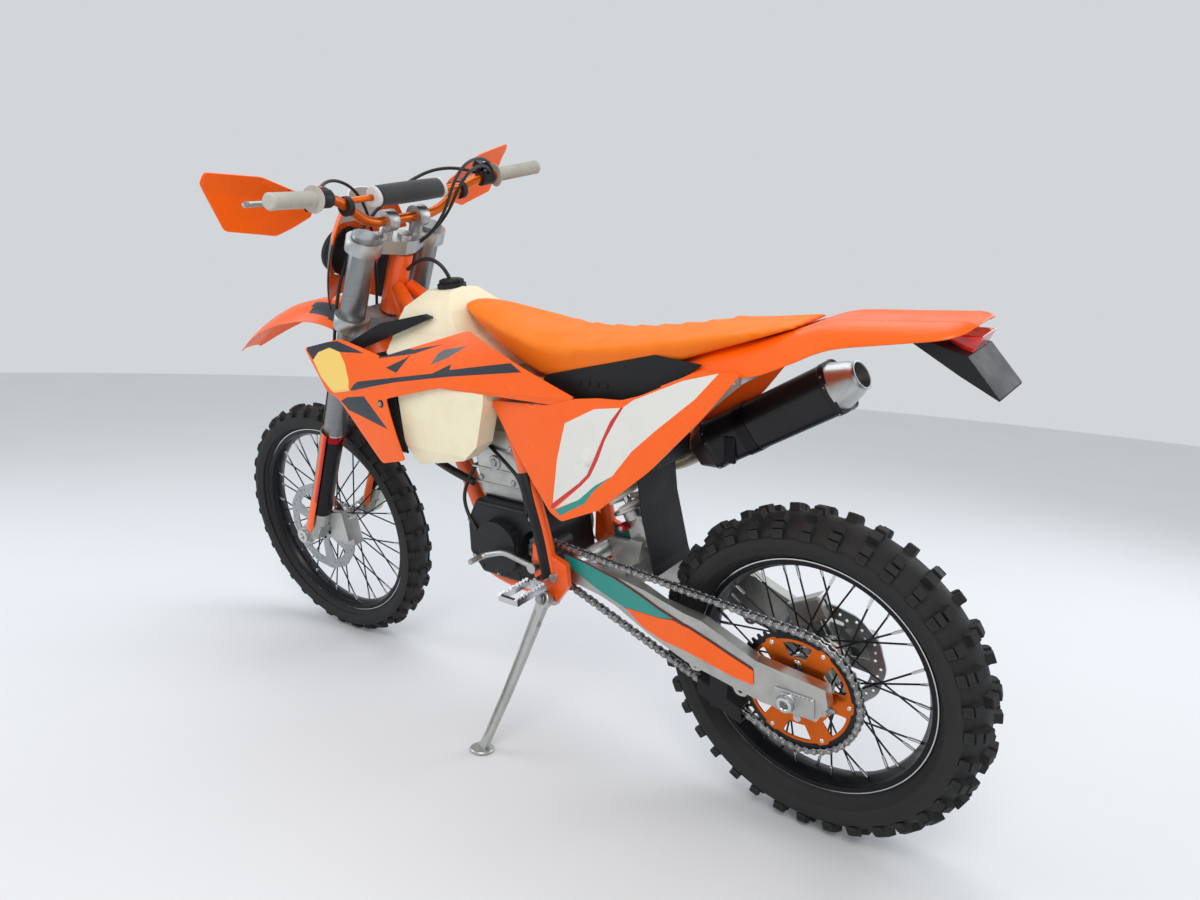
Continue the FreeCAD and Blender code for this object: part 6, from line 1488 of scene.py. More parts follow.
@dataclass
class Fenders:
    """The long rear fender under the seat and the high pointed front fender."""

    rear: Sequence[Sequence[float]] = (
        (262, 936, 100, 42, 0.3), (182, 965, 100, 42, 0.35), (82, 987, 100, 56, 0.45),
        (13, 1007, 95, 50, 0.5), (-35, 1021, 94, 42, 0.5), (-77, 1025, 93, 34, 0.55),
        (-162, 1027, 88, 24, 0.6), (-236, 1030, 80, 16, 0.6), (-266, 1030, 42, 5, 0.5),
    )
    front: Sequence[Sequence[float]] = (
        (-60, 985, 47, 26, 0.3), (60, 1030, 65, 41, 0.3), (171, 1027, 76, 50, 0.32),
        (293, 950, 76, 45, 0.3), (404, 831, 61, 30, 0.28), (486, 712, 30, 10, 0.2),
    )

    def front_paint(self, place: Vector) -> Optional[Look]:
        """The dark fields on the front fender's sides."""
        in_field = 36 < abs(place.y) < 63 and 60 < place.x + 0.5 * abs(place.y) < 236
        return Look.NAVY_VINYL if in_field else None

    def ridged(self, rows: list[list[Vector]], out: float, half: float, high: float,
               start: float, long: float) -> list[list[Vector]]:
        """Raises a ridge along each side of a fender.

        Args:
            rows: The fender's rows, which are changed.
            out: How far each ridge is from the middle.
            half: Its half width.
            high: Its full height.
            start: The X at which it starts.
            long: How far ahead it is full, negative for behind.

        Returns:
            The same rows.
        """
        for place in (place for row in rows for place in row):
            ridge = math.exp(-((abs(place.y) - out) / half) ** 2)
            place.z += high * ridge * max(0.0, min(1.0, (place.x - start) / long))
        return rows

    def build(self) -> None:
        """Builds both fenders with their ridges."""
        rows = self.ridged(arc_rows(interpolated(self.rear, 7), 26, 1.2), 46, 7, 3.2, 60, -120)
        Shell("rear_fender_shell", rows, Look.ORANGE_PLASTIC).build(
            BIKE, Body.CHASSIS, ("rear_fender",), "plastic_orange")
        rows = self.ridged(arc_rows(interpolated(self.front, 14), 60, 1.0), 24, 6, 3.0, -30, 90)
        Shell("front_fender_shell", rows, Look.ORANGE_PLASTIC, 3.2, self.front_paint).build(
            FORK, Body.STEERING, ("front_fender",), "plastic_orange")
        form = Form("front_fender_mount")
        form.block((-12, -29, 1024), (56, 29, 1051), Look.BLACK_PLASTIC, 2)
        for x, y in ((0, 20), (0, -20), (44, 20), (44, -20)):
            form.bolt((x, y, 1030), (0, 0, 1), 4.5, Look.STEEL)
        form.finished(FORK, Body.STEERING, (), "plastic_black")


@dataclass
class Tank:
    """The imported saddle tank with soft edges, and its screwed cap."""

    cap_place: Point3 = (895, 0, 1040)
    cap_top: float = 18

    def build(self) -> None:
        """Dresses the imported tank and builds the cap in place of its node."""
        dress("fuel_tank", Look.TANK, 16, 5)
        cap = Form("fuel_cap")
        place = Matrix.Translation(self.cap_place) @ Matrix.Rotation(math.radians(90), 4, "X")
        cap.lathe([(0.1, 21), (20, 21), (24, 19.5), (26, 16), (26, 11), (32, 10), (32.8, 7), (32.8, -5),
                   (0.1, -5)], Look.BLACK_PLASTIC, 64, place)
        for number in range(12):
            turn = Matrix.Rotation(math.radians(30 * number), 4, "Y")
            cap.block((23, 10.5, -3), (28.5, 18, 3), Look.BLACK_PLASTIC, 1.2, place @ turn)
        top = Vector(self.cap_place) + Vector((0, 0, self.cap_top))
        cap.rod(top, top + Vector((0, 0, 3.4)), 7, Look.BLACK_PLASTIC, 20, 1)
        cap.finished(BIKE, Body.CHASSIS, ("tank_cap",), "plastic_black", 30)


@dataclass
class Seat:
    """The long flat seat: a cover under tension over its foam, with ribs across its middle."""

    sections: Sequence[Sequence[float]] = (
        (14, 62, 1011, 1015, 1019), (95, 90, 987, 1002, 1010), (176, 98, 962, 990, 1006),
        (258, 100, 936, 976, 992), (404, 102, 906, 957, 976), (534, 100, 887, 949, 977),
        (647, 90, 923, 971, 994), (745, 67, 967, 991, 1013), (800, 50, 998, 1006, 1017),
        (822, 34, 1006, 1010, 1017),
    )
    ribs: tuple[float, float] = (150, 600)
    rib_half: float = 84
    rib_pitch: float = 56
    frames: int = 20
    most_swell: float = 4

    def cover(self) -> list[list[Vector]]:
        """Closed rings of the cover from tail to nose."""
        rings = []
        for x, half, base, brim, crest in interpolated(self.sections, 8):
            ring = []
            for step in range(25):
                across = 1 - 2 * step / 24
                lift = (1 - abs(across) ** 2.4) * (crest - brim)
                ring.append(Vector((x, half * across, brim + lift)))
            for share in (0.94, 0.9):
                ring.append(Vector((x, -half * share, base + (brim - base) * (0.35 if share > 0.92 else 0))))
            for step in range(1, 8):
                ring.append(Vector((x, -half * 0.9 * (1 - step / 4), base)))
            ring.append(Vector((x, half * 0.9, base)))
            ring.append(Vector((x, half * 0.94, base + (brim - base) * 0.35)))
            rings.append(ring)
        return rings

    def build(self) -> None:
        """Builds the cover, lets it swell as cloth over its foam, then moulds its ribs."""
        form = Form("seat_cover")
        form.skin(self.cover(), Look.SEAT)
        piece = form.finished(BIKE, Body.CHASSIS, ("seat",), "seat_cover", 60)
        self.swell(piece)
        mesh = piece.data
        inverse = BIKE.inverted()
        start, end = self.ribs
        for vert in mesh.vertices:
            local = inverse @ (vert.co / MM)
            aside = abs(local.y)
            if start < local.x < end and aside < self.rib_half:
                phase = ((local.x - aside * 0.3) % self.rib_pitch) / self.rib_pitch
                fade = min(1.0, (self.rib_half - aside) / 16, (local.x - start) / 20, (end - local.x) / 20)
                high = self.height_at(local.x, local.y)
                if local.z > high - 12:
                    local.z += (3.8 * phase ** 1.6 - 1.4) * fade
                    vert.co = BIKE @ local * MM
        mesh.materials.clear()
        for look in (Look.SEAT, Look.SEAT_SIDE):
            mesh.materials.append(look.material())
        for face in mesh.polygons:
            local = inverse @ (face.center / MM)
            face.material_index = 0 if local.z > self.height_at(local.x, local.y) - 14 else 1

    def height_at(self, x: float, y: float) -> float:
        """The cover's height before it swells."""
        rows = self.sections
        for a, b in zip(rows, rows[1:]):
            if a[0] <= x <= b[0]:
                t = (x - a[0]) / (b[0] - a[0])
                half, brim, crest = (a[i] + (b[i] - a[i]) * t for i in (1, 3, 4))
                return brim + (1 - min(1.0, abs(y) / half) ** 2.4) * (crest - brim)
        return rows[-1][4]

    def swell(self, piece: bpy.types.Object) -> None:
        """Lets the cover swell slightly under inner pressure with its lower edge held."""
        remesh = piece.modifiers.new("even", "REMESH")
        remesh.mode, remesh.voxel_size = "VOXEL", 0.006
        bpy.context.view_layer.objects.active = piece
        bpy.ops.object.modifier_apply(modifier=remesh.name)
        inverse = BIKE.inverted()
        before = [vert.co.copy() for vert in piece.data.vertices]
        held = piece.vertex_groups.new(name="held")
        for vert in piece.data.vertices:
            local = inverse @ (vert.co / MM)
            low = local.z < self.height_at(local.x, local.y) - 22
            held.add([vert.index], 1.0 if low else 0.22, "REPLACE")
        cloth = piece.modifiers.new("cloth", "CLOTH")
        cloth.settings.vertex_group_mass = "held"
        cloth.settings.use_pressure = True
        cloth.settings.uniform_pressure_force = 4
        cloth.settings.tension_stiffness = 30
        cloth.settings.bending_stiffness = 2
        cloth.settings.effector_weights.gravity = 0
        cloth.point_cache.frame_start, cloth.point_cache.frame_end = 1, self.frames
        scene = bpy.context.scene
        for number in range(1, self.frames + 1):
            scene.frame_set(number)
            piece.evaluated_get(bpy.context.evaluated_depsgraph_get())
        bpy.ops.object.modifier_apply(modifier=cloth.name)
        scene.frame_set(1)
        for vert, old in zip(piece.data.vertices, before):
            move = vert.co - old
            if move.length > self.most_swell * MM:
                vert.co = old + move.normalized() * self.most_swell * MM
        for face in piece.data.polygons:
            face.use_smooth = True
        log.info("%s: swelled over %d vertices", piece.name, len(before))


def cord_line(name: str, routes: Sequence[Sequence[Point]], radius: float, place: Matrix, body: Body,
              look: Look, stands_for: Sequence[str]) -> bpy.types.Object:
    """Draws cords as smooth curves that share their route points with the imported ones.

    Args:
        name: The piece's name.
        routes: The route points of each cord, in millimetres.
        radius: The cords' radius.
        place: The matrix of the frame in which they run.
        body: The body that they ride on.
        look: Their finish.
        stands_for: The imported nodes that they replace.

    Returns:
        The Blender object.
    """
    curve = bpy.data.curves.new(name, "CURVE")
    curve.dimensions = "3D"
    curve.bevel_depth = radius * MM
    curve.bevel_resolution = 5
    curve.resolution_u = 10
    curve.use_fill_caps = True
    for route in routes:
        line = curve.splines.new("NURBS")
        line.points.add(len(route) - 1)
        for point, spot in zip(line.points, route):
            point.co = (*(place @ Vector(spot) * MM), 1)
        line.order_u = 3
        line.use_endpoint_u = True
    curve.materials.append(look.material())
    piece = bpy.data.objects.new(name, curve)
    bpy.context.scene.collection.objects.link(piece)
    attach(piece, body.value)
    if stands_for:
        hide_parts(*stands_for)
    log.info("%s: %d cords", name, len(routes))
    return piece


@dataclass
class Cords:
    """The clutch hose, two throttle cables, the front brake hose and the tank's vent hose."""

    hose: Path3 = ((25, -252, 1403), (78, -188, 1416), (94, -40, 1356), (84, 86, 1236), (84, 100, 1080),
                   (61, 103, 960), (61, 102, 756))
    clutch: Path3 = ((25, 252, 1403), (78, 190, 1416), (92, 70, 1366), (76, 10, 1240), (48, 0, 1078))
    throttle: tuple[Path3, Path3] = (
        ((-10, -246, 1424), (-40, -182, 1466), (-64, -84, 1458), (-60, -56, 1336), (-8, -54, 1270)),
        ((-2, -262, 1424), (-30, -192, 1480), (-56, -66, 1474), (-66, -40, 1332), (-14, -38, 1270)),
    )
    vent: Path3 = ((895, 0, 1050), (900, 12, 1094), (966, 20, 1112), (1040, 0, 1078))

    def build(self) -> None:
        """Draws all the cords."""
        cord_line("control_cable_lines", [self.clutch, *self.throttle], 3.5, FORK, Body.STEERING,
                  Look.CABLE, ("control_cables",))
        cord_line("brake_hose_line", [self.hose], 4.0, FORK, Body.STEERING, Look.CABLE, ())
        cord_line("vent_hose_line", [self.vent], 4.5, BIKE, Body.CHASSIS, Look.CABLE, ("vent_hose",))


@dataclass
class SidePlastics:
    """Tank shrouds and side panels with their vinyl fields, a left and a right of each."""

    shroud: Outline = (
        (1211.8, 916.8), (1160.2, 810.9), (1131.9, 796.5), (1013.3, 652), (927, 672.9), (968.1, 812.5),
        (802.7, 852), (508.1, 841.4), (446, 860.7), (729.3, 973), (976.2, 905.6), (1101.3, 940.9),
    )
    panel: Outline = (
        (686, 827.8), (517.9, 839.4), (445.8, 860), (388, 867.6), (334.4, 869.3), (290.9, 882.6),
        (167.5, 937.3), (90, 939), (167.5, 849.4), (277.1, 739.8), (399.9, 640.2), (507.8, 592.1),
        (538.8, 607),
    )
    ribs: tuple[Outline, ...] = (
        ((654, 800), (636, 770), (612, 728), (592, 696)), ((634, 792), (612, 756), (588, 714), (572, 684)))
    screws: Outline = ((560, 868), (1090, 905), (985, 800))
    shroud_half: float = 172
    panel_half: float = 128

    def rows(self, rear: float, long: float, low: float, high: float, half: float,
             shares: Sequence[tuple[float, Sequence[float]]]) -> Callable[[float, float], float]:
        """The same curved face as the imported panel's."""
        return surface([(low + high * up, [(rear + long * n / 4, half * out) for n, out in enumerate(outs)])
                        for up, outs in shares])

    def build(self) -> None:
        """Builds the four panels as two pieces."""
        face = self.rows(445, 809, 651, 323, self.shroud_half,
                         ((0.0, (0.84, 0.9, 1.0, 1.0, 0.96)), (0.5, (0.74, 0.86, 0.97, 1.04, 1.16)),
                          (1.0, (0.7, 0.7, 0.7, 0.9, 1.16))))

        def shroud_height(x: float, z: float) -> float:
            """The shroud's face with a step along its waist."""
            waist = 852 - max(0.0, x - 700) ** 2 / 5200
            return face(x, z) - 3.2 + 2.2 * math.tanh((z - waist) / 3.5)

        decals = [
            Decal(((1053, 846), (822, 880), (768, 903), (772, 891), (602, 918), (574, 902), (773, 877),
                   (941, 852), (1084, 823), (1066, 838)), Look.NAVY_VINYL),
            Decal(((792, 931), (728, 942), (778, 916), (829, 897), (809, 922)), Look.GREY_VINYL),
            Decal(((890, 914), (929, 874), (962, 883), (905, 906)), Look.NAVY_VINYL),
            Decal(((984, 913), (932, 928), (882, 926), (800, 941), (880, 917), (984, 902)), Look.NAVY_VINYL),
            Decal(((1205, 912), (1197, 926), (1110, 936), (1030, 911), (1104, 911), (1134, 920),
                   (1190, 889)), Look.NAVY_VINYL),
            Decal(((1190, 889), (1170, 908), (1134, 920), (1104, 911), (1090, 886), (1082, 846),
                   (1087, 822), (1142, 813), (1173, 848)), Look.CREAM_VINYL),
            Decal(((1124, 793), (1102, 804), (1041, 812), (969, 742), (1101, 773)), Look.NAVY_VINYL),
        ]
        Sheet("shrouds_printed", self.shroud, shroud_height, Look.ORANGE_PLASTIC,
              upright, 3.2, 16, 9, decals).build(
                  BIKE, Body.CHASSIS, ("tank_shrouds",), "plastic_orange")
        side = self.rows(89, 598, 607, 332, self.panel_half,
                         ((-0.1, (0.9, 0.96, 1.0, 0.98, 0.96)), (0.5, (0.88, 0.96, 1.0, 0.98, 0.92)),
                          (1.1, (0.82, 0.9, 0.94, 0.94, 0.88))))

        def panel_height(x: float, z: float) -> float:
            """The panel's face with a raised field towards its lower front."""
            edge = 0.62 * (x - 556) - 0.785 * (z - 640)
            return side(x, z) - 1.6 - 1.4 * math.tanh(edge / 6)

        decals = [
            Decal(((474, 808), (397, 846), (336, 855), (361, 826), (383, 787), (406, 744), (425, 710),
                   (448, 688), (524, 631), (502, 728)), Look.WHITE_VINYL),
            Decal(((336, 855), (329, 857), (351, 825), (375, 788), (395, 745), (417, 708), (442, 684),
                   (526, 618), (534, 618), (527, 628), (448, 688), (425, 710), (406, 744), (383, 787),
                   (361, 826)), Look.RED_VINYL),
            Decal(((329, 857), (306, 873), (201, 918), (132, 936), (178, 887), (261, 820), (314, 774),
                   (363, 717), (406, 691), (452, 652), (519, 619), (442, 684), (417, 708), (395, 745),
                   (375, 788), (351, 825)), Look.WHITE_VINYL),
            Decal(((363, 717), (389, 697), (416, 673), (435, 648), (508, 606), (519, 617), (452, 652),
                   (406, 691)), Look.TEAL_VINYL),
        ]
        Sheet("side_panels_printed", self.panel, panel_height, Look.ORANGE_PLASTIC,
              upright, 3.0, 14, 9, decals).build(
                  BIKE, Body.CHASSIS, ("side_panels",), "plastic_orange")
        form = Form("shroud_louvres")
        for slat in (-9, 0, 9):
            form.tube([(976 + slat, 147, 815), (966 + slat, 147, 744), (955 + slat, 147, 680)], 2.8,
                      Look.BLACK_PLASTIC, 12)
        form.mirror().finished(BIKE, Body.CHASSIS, (), "plastic_black", 40)
        form = Form("panel_ribs")
        for rib in self.ribs:
            line = [Vector((x, panel_height(x, z) + 0.4, z)) for x, z in rib]
            form.tube(line, 2.4, Look.ORANGE_PLASTIC, 12)
        form.mirror().finished(BIKE, Body.CHASSIS, (), "plastic_orange", 40)
        form = Form("panel_screws")
        for x, z in self.screws:
            y = face(x, z) - 1.4
            form.rod((x, y - 4, z), (x, y + 0.6, z), 9, Look.BLACK_PLASTIC, 24, 0.6)
            form.bolt((x, y + 0.2, z), (0, 1, 0), 4.6, Look.STEEL, 3)
        form.mirror().finished(BIKE, Body.CHASSIS, (), "bright_steel", 30)


@dataclass
class Silencer:
    """The black polygonal silencer with its brushed end cone, band and rivets."""

    rear: Point3 = (16, -122, 873)
    slope: float = 29.3
    long: float = 352
    wide: float = 96
    tall: float = 104
    outlet: float = 27
    tail: float = 48

    def build(self) -> None:
        """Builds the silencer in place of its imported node."""
        place = (Matrix.Translation(self.rear) @ Matrix.Rotation(math.radians(self.slope), 4, "Y"))
        sides = [(-0.55, -1), (0.55, -1), (1, -0.35), (0.8, 1), (-0.8, 1), (-1, -0.35)]
        corners = rounded_outline([(a * self.wide / 2, -b * self.tall / 2) for a, b in sides], 14, 5)

        def ring(along: float, share: float) -> list[Vector]:
            """One section of the body."""
            return [Vector((along, y * share, z * share)) for y, z in corners]

        form = Form("silencer_body")
        form.skin([ring(along, share) for along, share in (
            (4, 0.86), (1, 0.95), (3, 0.985), (14, 0.985), (16, 0.96), (18, 0.955), (292, 0.955), (294, 0.96),
            (296, 0.985), (306, 0.985), (308, 0.95), (self.long - 2, 0.6),
            (self.long, 0.5))], Look.SILENCER, place=place)
        band = [ring(along, share) for along, share in ((196, 0.957), (196, 0.99), (222, 0.99), (222, 0.957))]
        form.skin(band, Look.DARK_ALLOY, caps=False, place=place)
        for along in (9, 301):
            for y, z in corners[::4]:
                way = Vector((0, y, z)).normalized()
                form.rod(place @ (Vector((along, y, z)) - way * 3),
                         place @ (Vector((along, y * 0.985, z * 0.985)) + way * 1.4),
                         2.4, Look.STEEL, 10, 0.5)
        mouth, tail = self.outlet, self.tail
        cone = [(self.tall * 0.46, 4), (self.tall * 0.43, -2), (mouth + 7, -32), (mouth, -41),
                (mouth, -tail), (mouth - 1, -tail), (mouth - 2.6, -tail + 1), (mouth - 3, -8), (0.2, -6),
                (0.2, 4)]
        turn = Matrix.Rotation(math.radians(-90), 4, "Z")
        form.lathe(cone, Look.BRUSHED_ALLOY, 72, place @ turn)
        form.lathe([(mouth + 0.3, -44), (mouth + 1.6, -45), (mouth + 1.6, -47.6), (mouth + 0.3, -48)],
                   Look.STEEL, 64, place @ turn)
        form.block((214, -84, 700), (240, -76, 757), Look.DARK_ALLOY, 2)
        form.finished(BIKE, Body.CHASSIS, ("silencer",), "silencer_black", 30)


@dataclass
class Cockpit:
    """Grips with their waffle, the pad over the crossbar, and the switch housings."""

    end: Point3 = (-26, 412, 1430)
    bend: Point3 = (14, 212, 1396.08)
    long: float = 136
    radius: float = 17
    flange: float = 28
    pad_middle: tuple[float, float] = (14, 1386)
    pad_profile: Outline = (
        (-108, 12), (-107.6, 19), (-106, 22.4), (-103, 23.6), (-98, 22.6), (-96.5, 21.9), (-95, 22.8),
        (-60, 23.7), (-20, 23.9), (20, 23.9), (60, 23.7), (95, 22.8), (96.5, 21.9), (98, 22.6),
        (103, 23.6), (106, 22.4), (107.6, 19), (108, 12),
    )

    def bar_end(self, side: int) -> tuple[Vector, Vector]:
        """One end of the bar and the way inwards along it."""
        start, knee = (Vector((x, side * y, z)) for x, y, z in (self.end, self.bend))
        return start, (knee - start).normalized()

    def grip(self, form: Form, side: int) -> None:
        """One grip: ribs round a soft sleeve, a flange inside and a rounded end."""
        start, inward = self.bar_end(side)
        size = self.radius
        stations = [(-0.8, 9), (-0.8, 14), (0.6, size), (5, size), (6, size - 1.6)]
        for at in range(8, 128, 4):
            stations += [(at, size - 1.8), (at + 0.9, size - 0.3), (at + 2.3, size - 0.3),
                         (at + 3.1, size - 1.8)]
        stations += [(129, size - 0.5), (132, size + 3), (132.8, self.flange - 0.6), (134, self.flange),
                     (135.6, self.flange - 0.4), (136, 12)]
        form.tube([start + inward * at for at, _ in stations], [out for _, out in stations], Look.GRIP, 40)

    def switches(self, form: Form, side: int) -> None:
        """The clamp, the master cylinder or switch block and its buttons."""
        start, inward = self.bar_end(side)
        centre = start + inward * (self.long + 12 + 17)
        turn = inward.to_track_quat("Y", "Z").to_matrix().to_4x4()
        place = Matrix.Translation(centre) @ turn
        form.block((-19, -15, -8), (12, 15, 21), Look.BLACK_PLASTIC, 3, place)
        form.rod(place @ Vector((-6, -8, 19)), place @ Vector((-6, -8, 24)), 5, Look.RED_LENS, 18, 1)
        form.rod(place @ Vector((-6, 7, 19)), place @ Vector((-6, 7, 23)), 4, Look.GREY_VINYL, 18, 1)
        if side < 0:
            form.block((-2, -16, 12), (30, 22, 34), Look.DARK_ALLOY, 4, place)
            form.block((0, -14, 33), (28, 20, 37), Look.DARK_ALLOY, 2, place)
            for x in (5, 23):
                form.rod(place @ Vector((x, 3, 36)), place @ Vector((x, 3, 38.4)), 3, Look.STEEL, 12, 0.5)

    def build(self) -> None:
        """Builds grips, switches and the padded roll."""
        form = Form("waffle_grips")
        for side in (1, -1):
            self.grip(form, side)
        form.finished(FORK, Body.STEERING, ("grips",), "grip_rubber", 40)
        form = Form("switch_housings")
        for side in (1, -1):
            self.switches(form, side)
        form.finished(FORK, Body.STEERING, (), "plastic_black", 30)
        form = Form("bar_pad_roll")
        fine = []
        for (a, r), (b, q) in zip(self.pad_profile, self.pad_profile[1:]):
            fine += [(a + (b - a) * t / 4, r + (q - r) * t / 4) for t in range(4)]
        fine.append(self.pad_profile[-1])
        ahead, up = self.pad_middle
        turns = [2 * math.pi * n / 48 for n in range(48)]
        rings = []
        for y, size in fine:
            rings.append([(ahead + size * math.cos(t) * (1 - 0.06 * math.cos(3 * t)), y,
                           up + size * math.sin(t) * (1 - 0.06 * math.cos(3 * t))) for t in turns])
        form.skin(rings, Look.PAD)
        form.faces = [(face, Look.PAD_END if abs(form.points[face[0]].y) > 97 else look)
                      for face, look in form.faces]
        pad = form.finished(FORK, Body.STEERING, ("bar_pad",), "pad_cover", 60)


@dataclass
class Face:
    """The front mask with its blank plate, its lamp, and the sleeves and guards of the fork's legs."""

    mask: Sequence[Sequence[float]] = (
        (1048, 173, 83, 57), (1090, 176, 104, 68), (1146, 180, 116, 74), (1218, 184, 122, 82),
        (1270, 181, 104, 70), (1330, 174, 67, 49),
    )
    lamp: Point3 = (190, 0, 1160.4)
    lamp_hole: float = 65
    leg: tuple[float, float] = (22, 102)
    guard_top: float = 743

    def mask_paint(self, place: Vector) -> Optional[Look]:
        """The blank pale plate above the lamp and dark fields beside it."""
        if place.z > 1238 and abs(place.y) < 62:
            return Look.WHITE_VINYL
        if place.z < 1232 and abs(place.y) > 78:
            return Look.NAVY_VINYL
        return None

    def build(self) -> None:
        """Builds mask, lamp and the dress of the fork's legs."""
        self.build_mask()
        self.build_legs()

    def build_mask(self) -> None:
        """Builds the mask, cuts the lamp's hole in it and builds the lamp."""
        rows = []
        for up, ahead, half, drop in interpolated(self.mask, 16):
            row = []
            for step in range(97):
                across = 1 - 2 * step / 96
                row.append(Vector((ahead - 3 - drop * abs(across) ** 2.1, half * across, up)))
            rows.append(row)
        shell = Shell("mask_shell", rows, Look.ORANGE_PLASTIC, 3.2, self.mask_paint).build(
            FORK, Body.STEERING, ("headlight_mask",), "plastic_orange")
        work = bmesh.new()
        work.from_mesh(shell.data)
        inverse = FORK.inverted()
        gone = []
        for face in work.faces:
            local = inverse @ (face.calc_center_median() / MM)
            if math.hypot(local.y, local.z - self.lamp[2]) < self.lamp_hole - 5:
                gone.append(face)
        bmesh.ops.delete(work, geom=gone, context="FACES")
        for vert in work.verts:
            local = inverse @ (vert.co / MM)
            reach = math.hypot(local.y, local.z - self.lamp[2])
            if vert.is_boundary and reach < self.lamp_hole + 9:
                share = self.lamp_hole / reach
                local = Vector((local.x, local.y * share, self.lamp[2] + (local.z - self.lamp[2]) * share))
                vert.co = FORK @ local * MM
        work.to_mesh(shell.data)
        work.free()
        turn = Matrix.Translation(self.lamp) @ Matrix.Rotation(math.radians(90), 4, "Z")
        form = Form("headlamp_unit")
        form.lathe([(61.5, -4), (63, -2), (63, 8), (60, 12), (54, 11), (50, 4), (30, 22), (10, 40), (0.2, 44),
                    (0.2, 47), (40, 47), (58, 30), (61, 10)], Look.BLACK_PLASTIC, 72, turn)
        form.lathe([(53, 3), (50, 1.2), (30, -1.6), (0.2, -2.4), (0.2, -0.6), (30, 0.4), (50, 3.4), (52, 5)],
                   Look.CLEAR_LENS, 72, turn)
        form.lathe([(0.2, -2), (13, -2), (13.6, -3), (9, -4.4), (0.2, -4.8)], Look.BRIGHT_STEEL, 48, turn)
        form.finished(FORK, Body.STEERING, ("headlamp",), "lamp_clear", 35)

    def build_legs(self) -> None:
        """Builds the fork guards and the sleeves over them."""
        low, high = AXLE_UP + 41, self.guard_top
        ahead, aside = self.leg
        rows = []
        for number in range(41):
            t = number / 40
            z = low + (high - low) * t
            flare = 32.5 - 2.2 * math.sin(math.pi * t)
            rows.append([Vector((ahead + flare * math.cos(a), aside + flare * math.sin(a), z))
                         for a in (math.radians(-104 + 208 * n / 30) for n in range(31))])

        def paint(place: Vector) -> Optional[Look]:
            """Red rear edges, a teal strip up the outer side and orange all round the foot."""
            turn = math.degrees(math.atan2(abs(place.y) - aside, place.x - ahead))
            if place.z < low + 110:
                return None
            if abs(turn) > 92:
                return Look.RED_VINYL
            return Look.TEAL_VINYL if 38 < turn < 70 else None

        wrap = Form("fork_leg_sleeves")
        for side in (1, -1):
            turn = Matrix.Translation((ahead, side * aside, 0)) @ Matrix.Rotation(math.radians(90), 4, "X")
            wrap.lathe([(24.1, low + 60), (25.2, low + 61), (25.2, high - 24), (24.1, high - 23)],
                       Look.DARK_ALLOY, 56, turn)
            wrap.lathe([(24.2, high - 23), (27, high - 22), (27.4, high - 8), (26, high - 5),
                        (24.2, high - 5)], Look.RED_ANODISED, 56, turn)
        wrap.finished(FORK, Body.STEERING, (), "cast_alloy", 35)
        for side, name in ((1, "left_fork_guard"), (-1, "right_fork_guard")):
            turned = [[Vector((p.x, p.y * side, p.z)) for p in row] for row in rows]
            Shell(name, turned, Look.ORANGE_PLASTIC, 2.8, paint).build(
                FORK, Body.STEERING, ("fork_guards",) if side > 0 else (), "plastic_orange")


